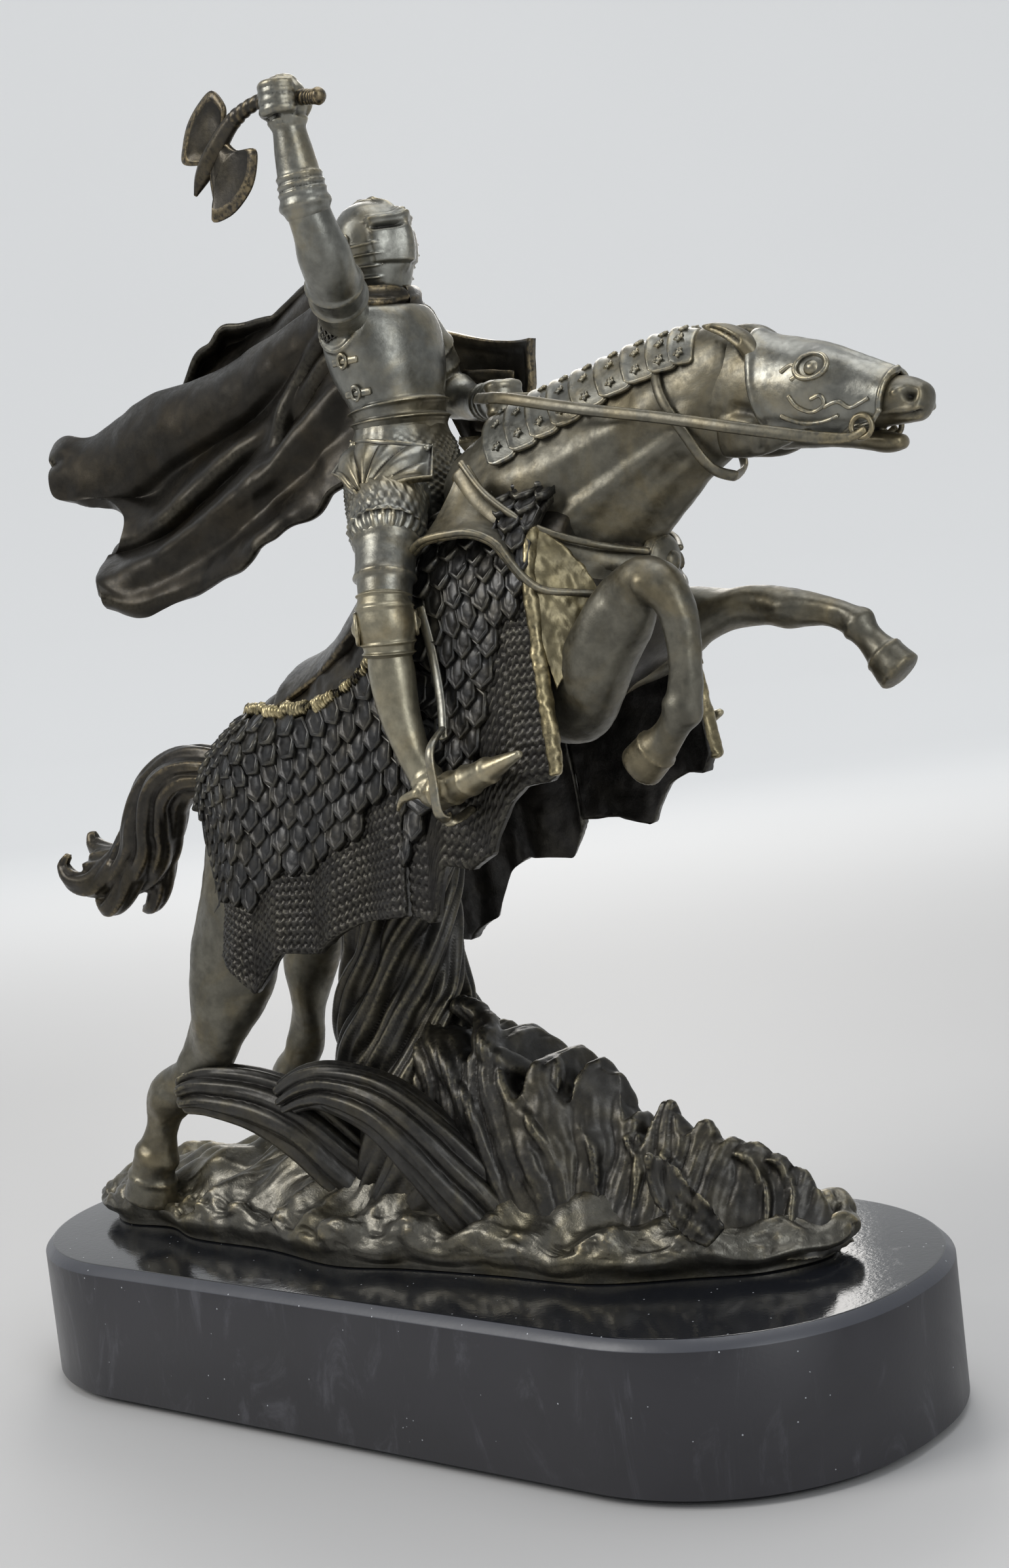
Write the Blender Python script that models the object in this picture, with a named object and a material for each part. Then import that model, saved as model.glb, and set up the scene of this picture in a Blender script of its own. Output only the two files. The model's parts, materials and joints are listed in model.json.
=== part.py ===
"""Cast-bronze statuette: a knight with a raised axe on a leaping horse, bolted to a stone plinth.

Lengths below are millimetres and become metres when a mesh is made. +Z is up, the origin is the middle
of the felt's underside, the horse leaps towards +X, and its right side faces -Y.
"""

import math

import bmesh
import bpy
from mathutils import Matrix, Vector

MM = 0.001

# Plinth: a long slab with almost round ends.
PLINTH_LENGTH = 250.0
PLINTH_WIDTH = 106.0
PLINTH_CORNER = 50.0
PLINTH_THICKNESS = 33.2
PLINTH_CHAMFER = 2.0
FELT_THICKNESS = 1.5
FELT_INSET = 3.0

# Every joint between two castings keeps this gap.
TOUCH_GAP = 0.3

# Two bolts hold the ground casting down from below.
BOLT_DIAMETER = 6.0
BOLT_SHANK = 40.0
BOLT_HEAD_HEIGHT = 4.0
BOLT_ACROSS_FLATS = 10.0
BOLT_FRONT_X = 50.0
BOLT_REAR_X = -55.0
WASHER_DIAMETER = 12.5
WASHER_THICKNESS = 1.3
COUNTERBORE_DIAMETER = 18.0
COUNTERBORE_DEPTH = 8.0
BOLT_CLEARANCE = 0.5
BOSS_DIAMETER = 12.0
BOSS_ROOF = 2.8

# Bronze: the castings are drawn at this height over the plinth, and scaled together from it.
DRAWN_HEIGHT = 271.0
BRONZE_HEIGHT = 271.0
DRAWN_PLINTH_TOP = 35.0
CASTING_WALL = 3.5

# Sheet metal and cloth thicknesses.
CAPARISON_THICKNESS = 2.0
PLATE_THICKNESS = 1.1
LAME_COUNT = 9
CAPE_THICKNESS = 2.2
SHIELD_THICKNESS = 1.8
AXE_BLADE_THICKNESS = 2.0
REIN_THICKNESS = 1.6

FELT_TOP = FELT_THICKNESS
PLINTH_BOTTOM = FELT_TOP + TOUCH_GAP
PLINTH_TOP = PLINTH_BOTTOM + PLINTH_THICKNESS
BRONZE_BOTTOM = PLINTH_TOP + TOUCH_GAP
FIGURE_SCALE = BRONZE_HEIGHT / DRAWN_HEIGHT


# ---------------------------------------------------------------- scene and finishes


def clear_scene():
    for old in list(bpy.data.objects):
        bpy.data.objects.remove(old)


def new_collection(name):
    group = bpy.data.collections.new(name)
    bpy.context.scene.collection.children.link(group)
    return group


def finish(name, colour, roughness, metallic):
    """A plain Principled finish."""
    material = bpy.data.materials.new(name)
    material.use_nodes = True
    shader = material.node_tree.nodes["Principled BSDF"]
    shader.inputs["Base Color"].default_value = (*colour, 1.0)
    shader.inputs["Roughness"].default_value = roughness
    shader.inputs["Metallic"].default_value = metallic
    return material


clear_scene()
STATUETTE = new_collection("knight_statuette")
CUTTERS = new_collection("cutters")
BRONZE_DARK = finish("bronze_dark", (0.10, 0.085, 0.055), 0.42, 0.9)
BRONZE_WARM = finish("bronze_warm", (0.17, 0.13, 0.07), 0.38, 0.9)
BRONZE_CLOTH = finish("bronze_cloth", (0.07, 0.065, 0.06), 0.5, 0.85)
STONE = finish("black_marble", (0.02, 0.02, 0.024), 0.18, 0.0)
FELT = finish("black_felt", (0.01, 0.01, 0.01), 0.95, 0.0)
STEEL = finish("zinc_steel", (0.5, 0.5, 0.5), 0.35, 1.0)


# ---------------------------------------------------------------- mesh helpers


def figure_point(x, y, z):
    """A point drawn on the casting, placed on this plinth at this bronze's scale."""
    above = z - DRAWN_PLINTH_TOP - TOUCH_GAP
    return Vector((x * FIGURE_SCALE, y * FIGURE_SCALE, BRONZE_BOTTOM + above * FIGURE_SCALE))


def add_object(name, mesh, material, collection=None):
    piece = bpy.data.objects.new(name, mesh)
    mesh.materials.clear()
    if material:
        mesh.materials.append(material)
    (collection or STATUETTE).objects.link(piece)
    return piece


def mesh_from(bm, name):
    """The bmesh as a mesh in metres, in triangles that face outwards."""
    bmesh.ops.triangulate(bm, faces=bm.faces)
    bmesh.ops.recalc_face_normals(bm, faces=bm.faces)
    bmesh.ops.scale(bm, vec=(MM, MM, MM), verts=bm.verts)
    mesh = bpy.data.meshes.new(name)
    bm.to_mesh(mesh)
    bm.free()
    return mesh


def evaluated_copy(piece):
    """The piece's mesh with its modifiers applied and stray doubles merged."""
    bpy.context.view_layer.update()
    ready = piece.evaluated_get(bpy.context.evaluated_depsgraph_get())
    mesh = bpy.data.meshes.new_from_object(ready)
    bm = bmesh.new()
    bm.from_mesh(mesh)
    bmesh.ops.remove_doubles(bm, verts=bm.verts, dist=0.00001)
    bm.to_mesh(mesh)
    bm.free()
    return mesh


def apply_modifiers(piece):
    mesh = evaluated_copy(piece)
    piece.modifiers.clear()
    piece.data = mesh


def combine(piece, other, operation):
    """Boolean the piece with another object, which is then removed."""
    step = piece.modifiers.new(operation.lower(), "BOOLEAN")
    step.operation = operation
    step.object = other
    apply_modifiers(piece)
    bpy.data.objects.remove(other)


def volume_of(faces):
    """Six times the signed volume that a set of faces closes."""
    total = 0.0
    for face in faces:
        corners = [corner.co for corner in face.verts]
        for second, third in zip(corners[1:], corners[2:]):
            total += corners[0].dot(second.cross(third))
    return abs(total)


def keep_main_body(piece):
    """Drop the crumbs that a cut leaves beside the piece's main body."""
    bm = bmesh.new()
    bm.from_mesh(piece.data)
    bodies = []
    waiting = set(bm.faces)
    while waiting:
        reach = [waiting.pop()]
        body = set(reach)
        while reach:
            for edge in reach.pop().edges:
                for face in edge.link_faces:
                    if face in waiting:
                        waiting.remove(face)
                        body.add(face)
                        reach.append(face)
        bodies.append(body)
    main = max(bodies, key=volume_of)
    crumbs = [face for body in bodies if body is not main for face in body]
    if crumbs:
        bmesh.ops.delete(bm, geom=crumbs, context="FACES")
        bm.to_mesh(piece.data)
    bm.free()


class Assembly:
    """The castings in the order they are joined: each is cut back from those before it."""

    def __init__(self):
        self.cutters = []

    @staticmethod
    def box(mesh):
        corners = [vertex.co for vertex in mesh.vertices]
        low = [min(corner[axis] for corner in corners) for axis in range(3)]
        high = [max(corner[axis] for corner in corners) for axis in range(3)]
        return low, high

    @staticmethod
    def boxes_meet(first, second):
        return all(first[0][axis] < second[1][axis] and second[0][axis] < first[1][axis] for axis in range(3))

    def join(self, piece):
        """Cut the piece back from its neighbours, then let it cut the pieces that follow."""
        blank = piece.data.copy()
        own_box = self.box(blank)
        steps = 0
        for cutter, cutter_box in self.cutters:
            if self.boxes_meet(own_box, cutter_box):
                step = piece.modifiers.new(f"clear_{cutter.name}", "BOOLEAN")
                step.operation = "DIFFERENCE"
                step.object = cutter
                steps += 1
        if steps:
            apply_modifiers(piece)
            keep_main_body(piece)
        self.add_cutter(piece.name, blank)
        return piece

    def add_cutter(self, name, blank):
        """A copy of the blank grown by the touch gap, which later pieces are cut with."""
        grown = [vertex.co + vertex.normal * TOUCH_GAP * MM for vertex in blank.vertices]
        for vertex, place in zip(blank.vertices, grown):
            vertex.co = place
        cutter = add_object(f"{name}_clearance", blank, None, CUTTERS)
        cutter.hide_render = True
        cutter.display_type = "WIRE"
        self.cutters.append((cutter, self.box(blank)))


BRONZE = Assembly()


def between(pairs, x):
    """Straight interpolation in a list of (x, value) pairs."""
    if x <= pairs[0][0]:
        return pairs[0][1]
    for (x0, v0), (x1, v1) in zip(pairs, pairs[1:]):
        if x <= x1:
            return v0 + (v1 - v0) * (x - x0) / (x1 - x0)
    return pairs[-1][1]


def catmull(values, u):
    """A smooth curve through rows of numbers, read at u rows along."""
    last = len(values) - 1
    first = min(int(max(u, 0.0)), last - 1)
    f = u - first
    p0, p1, p2, p3 = (values[min(max(first + k, 0), last)] for k in (-1, 0, 1, 2))
    row = []
    for a, b, c, d in zip(p0, p1, p2, p3):
        row.append(0.5 * (2 * b + (c - a) * f + (2 * a - 5 * b + 4 * c - d) * f * f + (3 * b - a - 3 * c + d) * f**3))
    return row


def grid_shell(name, outer, inner, material, wrap=False):
    """A closed plate from two matching grids of points; wrap joins the last column to the first."""
    bm = bmesh.new()
    rows, columns = len(outer), len(outer[0])
    skins = [[[bm.verts.new(point) for point in row] for row in skin] for skin in (outer, inner)]
    steps = columns if wrap else columns - 1
    for skin in skins:
        for i in range(rows - 1):
            for j in range(steps):
                k = (j + 1) % columns
                bm.faces.new((skin[i][j], skin[i + 1][j], skin[i + 1][k], skin[i][k]))
    top, bottom = skins
    for i in (0, rows - 1):
        for j in range(steps):
            k = (j + 1) % columns
            bm.faces.new((top[i][j], top[i][k], bottom[i][k], bottom[i][j]))
    if not wrap:
        for j in (0, columns - 1):
            for i in range(rows - 1):
                bm.faces.new((top[i][j], top[i + 1][j], bottom[i + 1][j], bottom[i][j]))
    return add_object(name, mesh_from(bm, name), material)


class Loft:
    """Elliptical rings along a smooth spine, each (x, y, z, half-width across, half-depth)."""

    def __init__(self, rings, across=(0, 1, 0), sides=10, steps=1):
        self.rings = rings
        self.across = Vector(across)
        self.sides = sides
        self.steps = steps

    def frame(self, u):
        """Centre, across and depth directions, half-width and half-depth at u rings along."""
        row = catmull(self.rings, u)
        end = len(self.rings) - 1
        ahead = Vector(catmull(self.rings, min(u + 0.05, end))[:3])
        behind = Vector(catmull(self.rings, max(u - 0.05, 0))[:3])
        tangent = (ahead - behind).normalized()
        across = (self.across - tangent * self.across.dot(tangent)).normalized()
        return Vector(row[:3]), across, tangent.cross(across), max(row[3], 0.4), max(row[4], 0.4)

    def point(self, u, degrees, offset=0.0):
        """A placed point on the ring at u, its angle from the across direction, pushed out by offset."""
        centre, across, depth, side, deep = self.frame(u)
        angle = math.radians(degrees)
        drawn = centre + across * (side + offset) * math.cos(angle) + depth * (deep + offset) * math.sin(angle)
        return figure_point(*drawn)

    def solid(self, name, material):
        bm = bmesh.new()
        count = (len(self.rings) - 1) * self.steps
        rings = []
        for i in range(count + 1):
            angles = [360.0 * k / self.sides for k in range(self.sides)]
            rings.append([bm.verts.new(self.point(i / self.steps, angle)) for angle in angles])
        for low, high in zip(rings, rings[1:]):
            for k in range(self.sides):
                n = (k + 1) % self.sides
                bm.faces.new((low[k], low[n], high[n], high[k]))
        bm.faces.new(rings[0])
        bm.faces.new(rings[-1])
        return add_object(name, mesh_from(bm, name), material)

    def patch(self, name, material, u_range, angles, gap, thickness=PLATE_THICKNESS, rows=4, columns=8, flare=0.0):
        """A plate that follows the loft: u and angle ranges, its gap off the surface, and how its end flares."""
        wrap = abs(angles[1] - angles[0]) >= 360.0
        count = columns if wrap else columns + 1
        skins = []
        for offset in (gap + thickness, gap):
            skin = []
            for i in range(rows + 1):
                f = i / rows
                u = u_range[0] + (u_range[1] - u_range[0]) * f
                turn = [angles[0] + (angles[1] - angles[0]) * k / columns for k in range(count)]
                skin.append([self.point(u, angle, offset + flare * f) for angle in turn])
            skins.append(skin)
        return grid_shell(name, skins[0], skins[1], material, wrap)


def mirrored(rings):
    """The same rings on the other side of the horse."""
    return [(x, -y, z, side, deep) for x, y, z, side, deep in rings]


# ---------------------------------------------------------------- plinth and fixings


def plinth_outline(inset=0.0, arc_steps=10):
    """The slab's outline: four corner arcs, whose radius shrinks with the inset."""
    radius = PLINTH_CORNER - inset
    centre_x = PLINTH_LENGTH / 2 - PLINTH_CORNER
    centre_y = PLINTH_WIDTH / 2 - PLINTH_CORNER
    points = []
    for quarter, (sign_x, sign_y) in enumerate(((1, 1), (-1, 1), (-1, -1), (1, -1))):
        for step in range(arc_steps + 1):
            angle = math.radians(90 * quarter + 90 * step / arc_steps)
            points.append((sign_x * centre_x + radius * math.cos(angle), sign_y * centre_y + radius * math.sin(angle)))
    return points


def slab(name, outline, bottom, top, material):
    """A flat outline given its thickness."""
    curve = bpy.data.curves.new(name, "CURVE")
    curve.dimensions = "2D"
    curve.fill_mode = "BOTH"
    curve.extrude = (top - bottom) / 2 * MM
    spline = curve.splines.new("POLY")
    spline.points.add(len(outline) - 1)
    for point, (x, y) in zip(spline.points, outline):
        point.co = (x * MM, y * MM, 0, 1)
    spline.use_cyclic_u = True
    drawn = bpy.data.objects.new(name + "_outline", curve)
    STATUETTE.objects.link(drawn)
    mesh = evaluated_copy(drawn)
    bpy.data.objects.remove(drawn)
    mesh.transform(Matrix.Translation((0, 0, (top + bottom) / 2 * MM)))
    return add_object(name, mesh, material)


def cylinder(name, x, y, bottom, top, diameter, material=None, sides=24):
    bm = bmesh.new()
    place = Matrix.Translation((x, y, (bottom + top) / 2))
    bmesh.ops.create_cone(
        bm, cap_ends=True, segments=sides, radius1=diameter / 2, radius2=diameter / 2, depth=top - bottom, matrix=place
    )
    return add_object(name, mesh_from(bm, name), material)


def chamfer_top(piece, height, width):
    """Bevel the edges round the flat top at this height."""
    bm = bmesh.new()
    bm.from_mesh(piece.data)
    rim = [
        edge
        for edge in bm.edges
        if all(abs(v.co.z - height * MM) < 1e-6 for v in edge.verts) and edge.calc_face_angle(0) > math.radians(60)
    ]
    bmesh.ops.bevel(bm, geom=rim, offset=width * MM, segments=1, affect="EDGES")
    bm.to_mesh(piece.data)
    bm.free()


def build_plinth():
    slab("felt_pad", plinth_outline(FELT_INSET), 0.0, FELT_TOP, FELT)
    marble = slab("marble_base", plinth_outline(), PLINTH_BOTTOM, PLINTH_TOP, STONE)
    chamfer_top(marble, PLINTH_TOP, PLINTH_CHAMFER)
    for x in (BOLT_FRONT_X, BOLT_REAR_X):
        hole = cylinder("hole", x, 0, 0, PLINTH_TOP + 1, BOLT_DIAMETER + 2 * BOLT_CLEARANCE)
        combine(marble, hole, "DIFFERENCE")
        pocket = cylinder("pocket", x, 0, 0, PLINTH_BOTTOM + COUNTERBORE_DEPTH, COUNTERBORE_DIAMETER)
        combine(marble, pocket, "DIFFERENCE")


WASHER_TOP = PLINTH_BOTTOM + COUNTERBORE_DEPTH - TOUCH_GAP
WASHER_BOTTOM = WASHER_TOP - WASHER_THICKNESS
HEAD_TOP = WASHER_BOTTOM - TOUCH_GAP
BOLT_TIP = HEAD_TOP + BOLT_SHANK


def build_fixings():
    corner_to_corner = BOLT_ACROSS_FLATS / math.cos(math.radians(30))
    for end, x in (("front", BOLT_FRONT_X), ("rear", BOLT_REAR_X)):
        bolt = cylinder(
            f"mounting_bolt_{end}", x, 0, HEAD_TOP - BOLT_HEAD_HEIGHT, HEAD_TOP, corner_to_corner, STEEL, sides=6
        )
        combine(bolt, cylinder("shank", x, 0, HEAD_TOP - 1, BOLT_TIP, BOLT_DIAMETER), "UNION")
        washer = cylinder(f"washer_{end}", x, 0, WASHER_BOTTOM, WASHER_TOP, WASHER_DIAMETER, STEEL)
        eye = cylinder("eye", x, 0, WASHER_BOTTOM - 1, WASHER_TOP + 1, BOLT_DIAMETER + 2 * BOLT_CLEARANCE)
        combine(washer, eye, "DIFFERENCE")


# ---------------------------------------------------------------- ground casting

GROUND_CENTRE = (-4.0, 1.0)
GROUND_OUTLINE = (
    (102, 10), (94, -5), (80, -14), (60, -25), (34, -27), (8, -30), (-13, -34), (-40, -29), (-68, -28),
    (-84, -22), (-100, -23), (-112, -15), (-114, 2), (-106, 17), (-86, 26), (-56, 31), (-22, 34),
    (12, 35), (44, 33), (72, 29), (94, 22),
)  # fmt: skip
# Share of the way out from the centre, and height over the plinth.
GROUND_PROFILE = (
    (0.0, 25.0), (0.25, 24.0), (0.45, 21.0), (0.62, 17.5), (0.76, 13.5), (0.87, 11.5), (0.95, 9.5),
    (1.0, 6.0), (1.015, 3.0), (0.99, 0.0),
)  # fmt: skip
LUMP_HEIGHT = 1.8


def ground_lumps(x, y):
    """Rocky unevenness, in millimetres."""
    return LUMP_HEIGHT * (math.sin(0.21 * x + 0.9) * math.cos(0.27 * y) + 0.6 * math.sin(0.43 * x - 0.35 * y))


def ground_solid(name, material, inset=0.0, drop=0.0, bottom=0.0):
    """The mound as a closed solid; inset and drop shrink it for the hollow inside."""
    bm = bmesh.new()
    spokes = 32
    rings = []
    for share, height in GROUND_PROFILE[1:]:
        ring = []
        for k in range(spokes):
            x, y = catmull(GROUND_OUTLINE + GROUND_OUTLINE[:3], 1 + len(GROUND_OUTLINE) * k / spokes)
            out = Vector((x - GROUND_CENTRE[0], y - GROUND_CENTRE[1]))
            out *= share * (1 - inset / out.length)
            place = (GROUND_CENTRE[0] + out.x, GROUND_CENTRE[1] + out.y)
            fade = min(1.0, height / 9.0)
            level = DRAWN_PLINTH_TOP + TOUCH_GAP + max(height + ground_lumps(*place) * fade - drop, 0.0)
            point = figure_point(*place, level)
            if height == 0.0:
                point.z = BRONZE_BOTTOM + bottom
            ring.append(bm.verts.new(point))
        rings.append(ring)
    for inner, outer in zip(rings, rings[1:]):
        for k in range(spokes):
            n = (k + 1) % spokes
            bm.faces.new((inner[k], inner[n], outer[n], outer[k]))
    bm.faces.new(rings[0])
    bm.faces.new(rings[-1])
    return add_object(name, mesh_from(bm, name), material)


def level_over(piece, x):
    """The height of the piece's top on the middle plane at x, in millimetres."""
    bpy.context.view_layer.update()
    found, place, _, _ = piece.ray_cast((x * MM, 0, 1), (0, 0, -1))
    return place.z / MM if found else BRONZE_BOTTOM


def build_ground():
    """A hollow casting, open below, with two bosses that the bolts screw into."""
    ground = ground_solid("ground_casting", BRONZE_DARK)
    BRONZE.join(ground)
    boss_tops = {x: level_over(ground, x) - BOSS_ROOF for x in (BOLT_FRONT_X, BOLT_REAR_X)}
    hollow = ground_solid("hollow", None, inset=CASTING_WALL + 1, drop=CASTING_WALL, bottom=-1.0)
    combine(ground, hollow, "DIFFERENCE")
    for x, boss_top in boss_tops.items():
        boss = cylinder("boss", x, 0, BRONZE_BOTTOM, boss_top, BOSS_DIAMETER)
        combine(ground, boss, "UNION")
        bore = cylinder("bore", x, 0, BRONZE_BOTTOM - 1, BOLT_TIP + TOUCH_GAP, BOLT_DIAMETER + 2 * TOUCH_GAP)
        combine(ground, bore, "DIFFERENCE")


# ---------------------------------------------------------------- horse

TRUNK = Loft(
    (
        (-66, 0, 142, 7, 7), (-60, 0, 143, 15, 13), (-48, 0, 145, 21, 18), (-30, 0, 151, 24, 21),
        (-8, 0, 160, 24, 22), (15, 0, 168, 25, 25), (38, 0, 178, 25, 27), (56, 0, 186, 21, 23),
        (68, 0, 190, 12, 14), (73, 0, 192, 5, 6),
    ),
    sides=20, steps=2,
)  # fmt: skip
NECK = Loft(
    (
        (42, 0, 197, 16, 25), (56, 0, 205, 14, 24), (70, 0, 212, 11, 20.5), (86, 0, 219.5, 8.8, 16.5),
        (99, 0, 224, 7.6, 13.5), (104, 0, 225, 7, 12),
    ),
    sides=16, steps=2,
)  # fmt: skip
HEAD = Loft(
    (
        (96, 0, 224, 6, 11), (104, 0, 223, 7.8, 13), (114, 0, 221.5, 8.3, 12), (126, 0, 220, 7.8, 9.8),
        (137, 0, 217, 6, 7.2), (146, 0, 214.5, 5.8, 5.6), (152, 0, 213, 3.6, 3.4),
    ),
    sides=14, steps=2,
)  # fmt: skip
EAR = (
    (109, -5.0, 231, 2.2, 2.0), (105.5, -5.4, 235, 2.6, 1.8), (101.5, -5.6, 237.5, 1.8, 1.3), (98, -5.8, 238.5, 0.6, 0.5),
)  # fmt: skip
FORELEG_FOLDED = (
    (54, -10, 168, 8, 11), (62, -15, 165, 8.5, 12), (72, -18.5, 169, 8, 10), (81, -20.5, 178, 6.6, 7.4),
    (89, -21.5, 185.5, 5.6, 5.8), (95, -22, 184.5, 5.0, 4.8), (98.2, -22, 178, 4.0, 4.0),
    (98.6, -22, 169, 3.4, 3.5), (97, -22, 161, 3.6, 3.9), (92.5, -21.5, 155, 3.2, 3.6),
    (87.5, -21, 151, 4.2, 4.4), (83.5, -20.5, 148, 4.4, 4.8),
)  # fmt: skip
FORELEG_REACHING = (
    (56, 9, 172, 8, 11), (66, 14, 175, 8, 10), (77, 17.5, 178.5, 6.4, 7), (90, 19.5, 180, 5.0, 5.2),
    (100, 20, 178.5, 4.8, 4.8), (108, 20, 176.6, 3.6, 3.6), (114, 20, 173.5, 3.6, 3.8),
    (117.5, 20, 169, 3.2, 3.6), (121, 20, 165, 4.4, 4.6), (124.5, 20, 161.5, 4.8, 5.2),
)  # fmt: skip
HINDLEG_RIGHT = (
    (-40, -13, 134, 9, 14), (-43, -19, 116, 9, 13), (-47.5, -21, 100, 8, 11), (-54, -22, 87, 6.4, 8),
    (-62, -22, 77.5, 4.8, 5.6), (-73.5, -22, 70, 5.2, 6.2), (-78, -22, 62.5, 3.8, 4.2),
    (-81, -22, 56, 4.6, 5.4), (-84, -22, 50, 5.2, 6.4), (-86, -22, 43, 6.2, 7.6),
)  # fmt: skip
HINDLEG_LEFT = (
    (-46, 13, 134, 9, 14), (-54, 19, 114, 8, 11), (-61, 21.5, 97, 6.2, 7), (-64.5, 22, 84, 5, 5.2),
    (-68, 22, 73, 4.4, 4.6), (-74, 22, 65, 5, 5.6), (-77, 22, 56, 3.8, 4.2), (-80, 22, 50, 5, 5.6), (-82, 22, 42, 6, 7.4),
)  # fmt: skip
TAIL = (
    (-58, 0, 146, 5, 5), (-66, 0, 150, 5.6, 6), (-76, 0, 150.5, 6.2, 6.5), (-85, 0, 146, 6.6, 7.6),
    (-91, 0, 138, 6.8, 8.6), (-95, 0, 131, 7, 8.2), (-104, 0, 125.5, 6.4, 6.6), (-115, 0, 125, 5.2, 5),
    (-125, 0, 126, 2.6, 3),
)  # fmt: skip


def build_horse():
    BRONZE.join(TRUNK.solid("horse_body", BRONZE_DARK))
    BRONZE.join(NECK.solid("horse_neck", BRONZE_WARM))
    head = HEAD.solid("horse_head", BRONZE_WARM)
    for rings in (EAR, mirrored(EAR)):
        combine(head, Loft(rings, sides=8).solid("ear", None), "UNION")
    BRONZE.join(head)
    BRONZE.join(Loft(FORELEG_FOLDED).solid("foreleg_right", BRONZE_WARM))
    BRONZE.join(Loft(FORELEG_REACHING).solid("foreleg_left", BRONZE_WARM))
    BRONZE.join(Loft(HINDLEG_RIGHT).solid("hindleg_right", BRONZE_WARM))
    BRONZE.join(Loft(HINDLEG_LEFT).solid("hindleg_left", BRONZE_WARM))
    BRONZE.join(Loft(TAIL).solid("tail", BRONZE_DARK))


# ---------------------------------------------------------------- grass under the horse

PLUME = (
    (4, 0, 44, 26, 50), (1, 0, 54, 24, 40), (-4, 0, 66, 20, 30), (-8, 0, 78, 16.5, 24), (-10, 0, 92, 14, 20),
    (-10, 0, 106, 14, 19), (-10, 0, 120, 15, 21), (-9, 0, 132, 15, 22), (-8, 0, 142, 12, 18),
)  # fmt: skip
CREST = (
    (8, 2, 62, 10, 18), (24, 2, 63, 11, 21), (40, 2, 59, 11, 20), (55, 3, 56, 11, 18),
    (72, 3, 52, 10, 14), (88, 4, 49, 9, 11), (100, 6, 44, 6, 7),
)  # fmt: skip
CURL_REAR = (
    (-18, -14, 50, 7, 9), (-27, -18, 61, 7, 9), (-40, -22, 69.5, 6, 7.5), (-53, -25, 73.5, 5, 6.2), (-64, -27, 72.5, 3, 4),
)  # fmt: skip
CURL_MIDDLE = (
    (22, -19, 48, 8, 9), (14, -22, 61, 7.5, 8.5), (3, -24, 71.5, 6.5, 7), (-10, -25, 76, 5.6, 5.8),
    (-22, -25, 75.5, 4.6, 5), (-30, -25, 72, 2.6, 3.4),
)  # fmt: skip


def build_grass():
    """The swirl that carries the horse, the crest of blades ahead of it and two curled tufts."""
    BRONZE.join(Loft(PLUME, sides=16).solid("grass_plume", BRONZE_DARK))
    BRONZE.join(Loft(CREST).solid("grass_crest", BRONZE_DARK))
    BRONZE.join(Loft(CURL_MIDDLE).solid("grass_curl_middle", BRONZE_DARK))
    BRONZE.join(Loft(CURL_REAR).solid("grass_curl_rear", BRONZE_DARK))


# ---------------------------------------------------------------- rider

HIPS = Loft(
    (
        (10, 0, 199, 12, 11), (10, 0, 205, 18, 14), (10, 0, 213, 19.5, 15), (9.8, 0, 220, 17.5, 14),
        (9.6, 0, 227, 14, 12),
    ),
    sides=16,
)  # fmt: skip
CUIRASS = Loft(
    (
        (9.6, 0, 227.6, 13.8, 12), (9.6, 0, 233, 14, 12.2), (9.5, 0, 240, 16.6, 14.6), (9, 0, 248, 18.6, 15.6),
        (8.6, 0, 254.5, 17, 13.4), (9, 0, 259, 10.5, 9.5), (9.4, 0, 262, 6.5, 7),
    ),
    sides=16,
)  # fmt: skip
HELMET = Loft(
    (
        (9.2, 0, 259, 5.5, 6), (9.8, 0, 264, 7.4, 8.6), (10, 0, 270, 8.6, 10.2), (9.6, 0, 276, 7.6, 9.2),
        (9.2, 0, 280, 4.6, 5.8), (9, 0, 281.6, 1.6, 2),
    ),
    sides=16,
)  # fmt: skip
THIGH = (
    (15, -9, 210, 8, 9), (21, -18, 210.5, 8.6, 9.4), (27, -26, 206, 8.2, 8.8), (30.4, -33, 196, 7, 7.4),
    (31.4, -36, 187, 6.2, 6.4), (31.2, -36.4, 181, 5.4, 5.6),
)  # fmt: skip
GREAVE = (
    (31.2, -36.4, 180, 5.2, 5.6), (30.6, -36.6, 173, 5.6, 6.4), (31.6, -36.8, 164, 5, 5.6), (34.6, -36.6, 155, 3.9, 4.2),
    (37.6, -36.4, 149.5, 3.4, 3.8), (40.5, -36.8, 146.5, 3.8, 3.6), (47, -37.4, 147.6, 4, 3.4),
    (56, -38, 150.4, 3.4, 2.7), (65, -38, 153.6, 1.2, 1.0),
)  # fmt: skip
UPPER_ARM = (
    (10, -14, 254.5, 6.5, 6.5), (15.5, -21, 257, 7, 7.2), (20, -28, 262, 6.4, 6.8), (21.6, -32, 268, 5.4, 5.8),
    (21.6, -34, 273.4, 5, 5.2),
)  # fmt: skip
FOREARM = (
    (21.6, -34.4, 274, 5, 5.2), (21.2, -35, 279, 5.2, 5.4), (20.8, -35.6, 286, 4.6, 4.8), (20.4, -36, 293, 3.9, 4),
    (20.6, -36, 297, 5, 6), (21, -36, 301, 5, 6.4), (21, -36, 304.6, 3.4, 4.6),
)  # fmt: skip
LEFT_ARM = (
    (9.6, 14, 254, 6.5, 6.5), (14, 21, 250.5, 6.6, 6.8), (19, 26, 244, 5.8, 6), (24, 28, 238.5, 4.8, 5),
    (28, 24, 236, 4.4, 4.6), (31, 17, 235, 4, 4.2), (33.5, 11, 233.5, 4.6, 5), (35, 6.5, 231.5, 3, 3.6),
)  # fmt: skip
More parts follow.
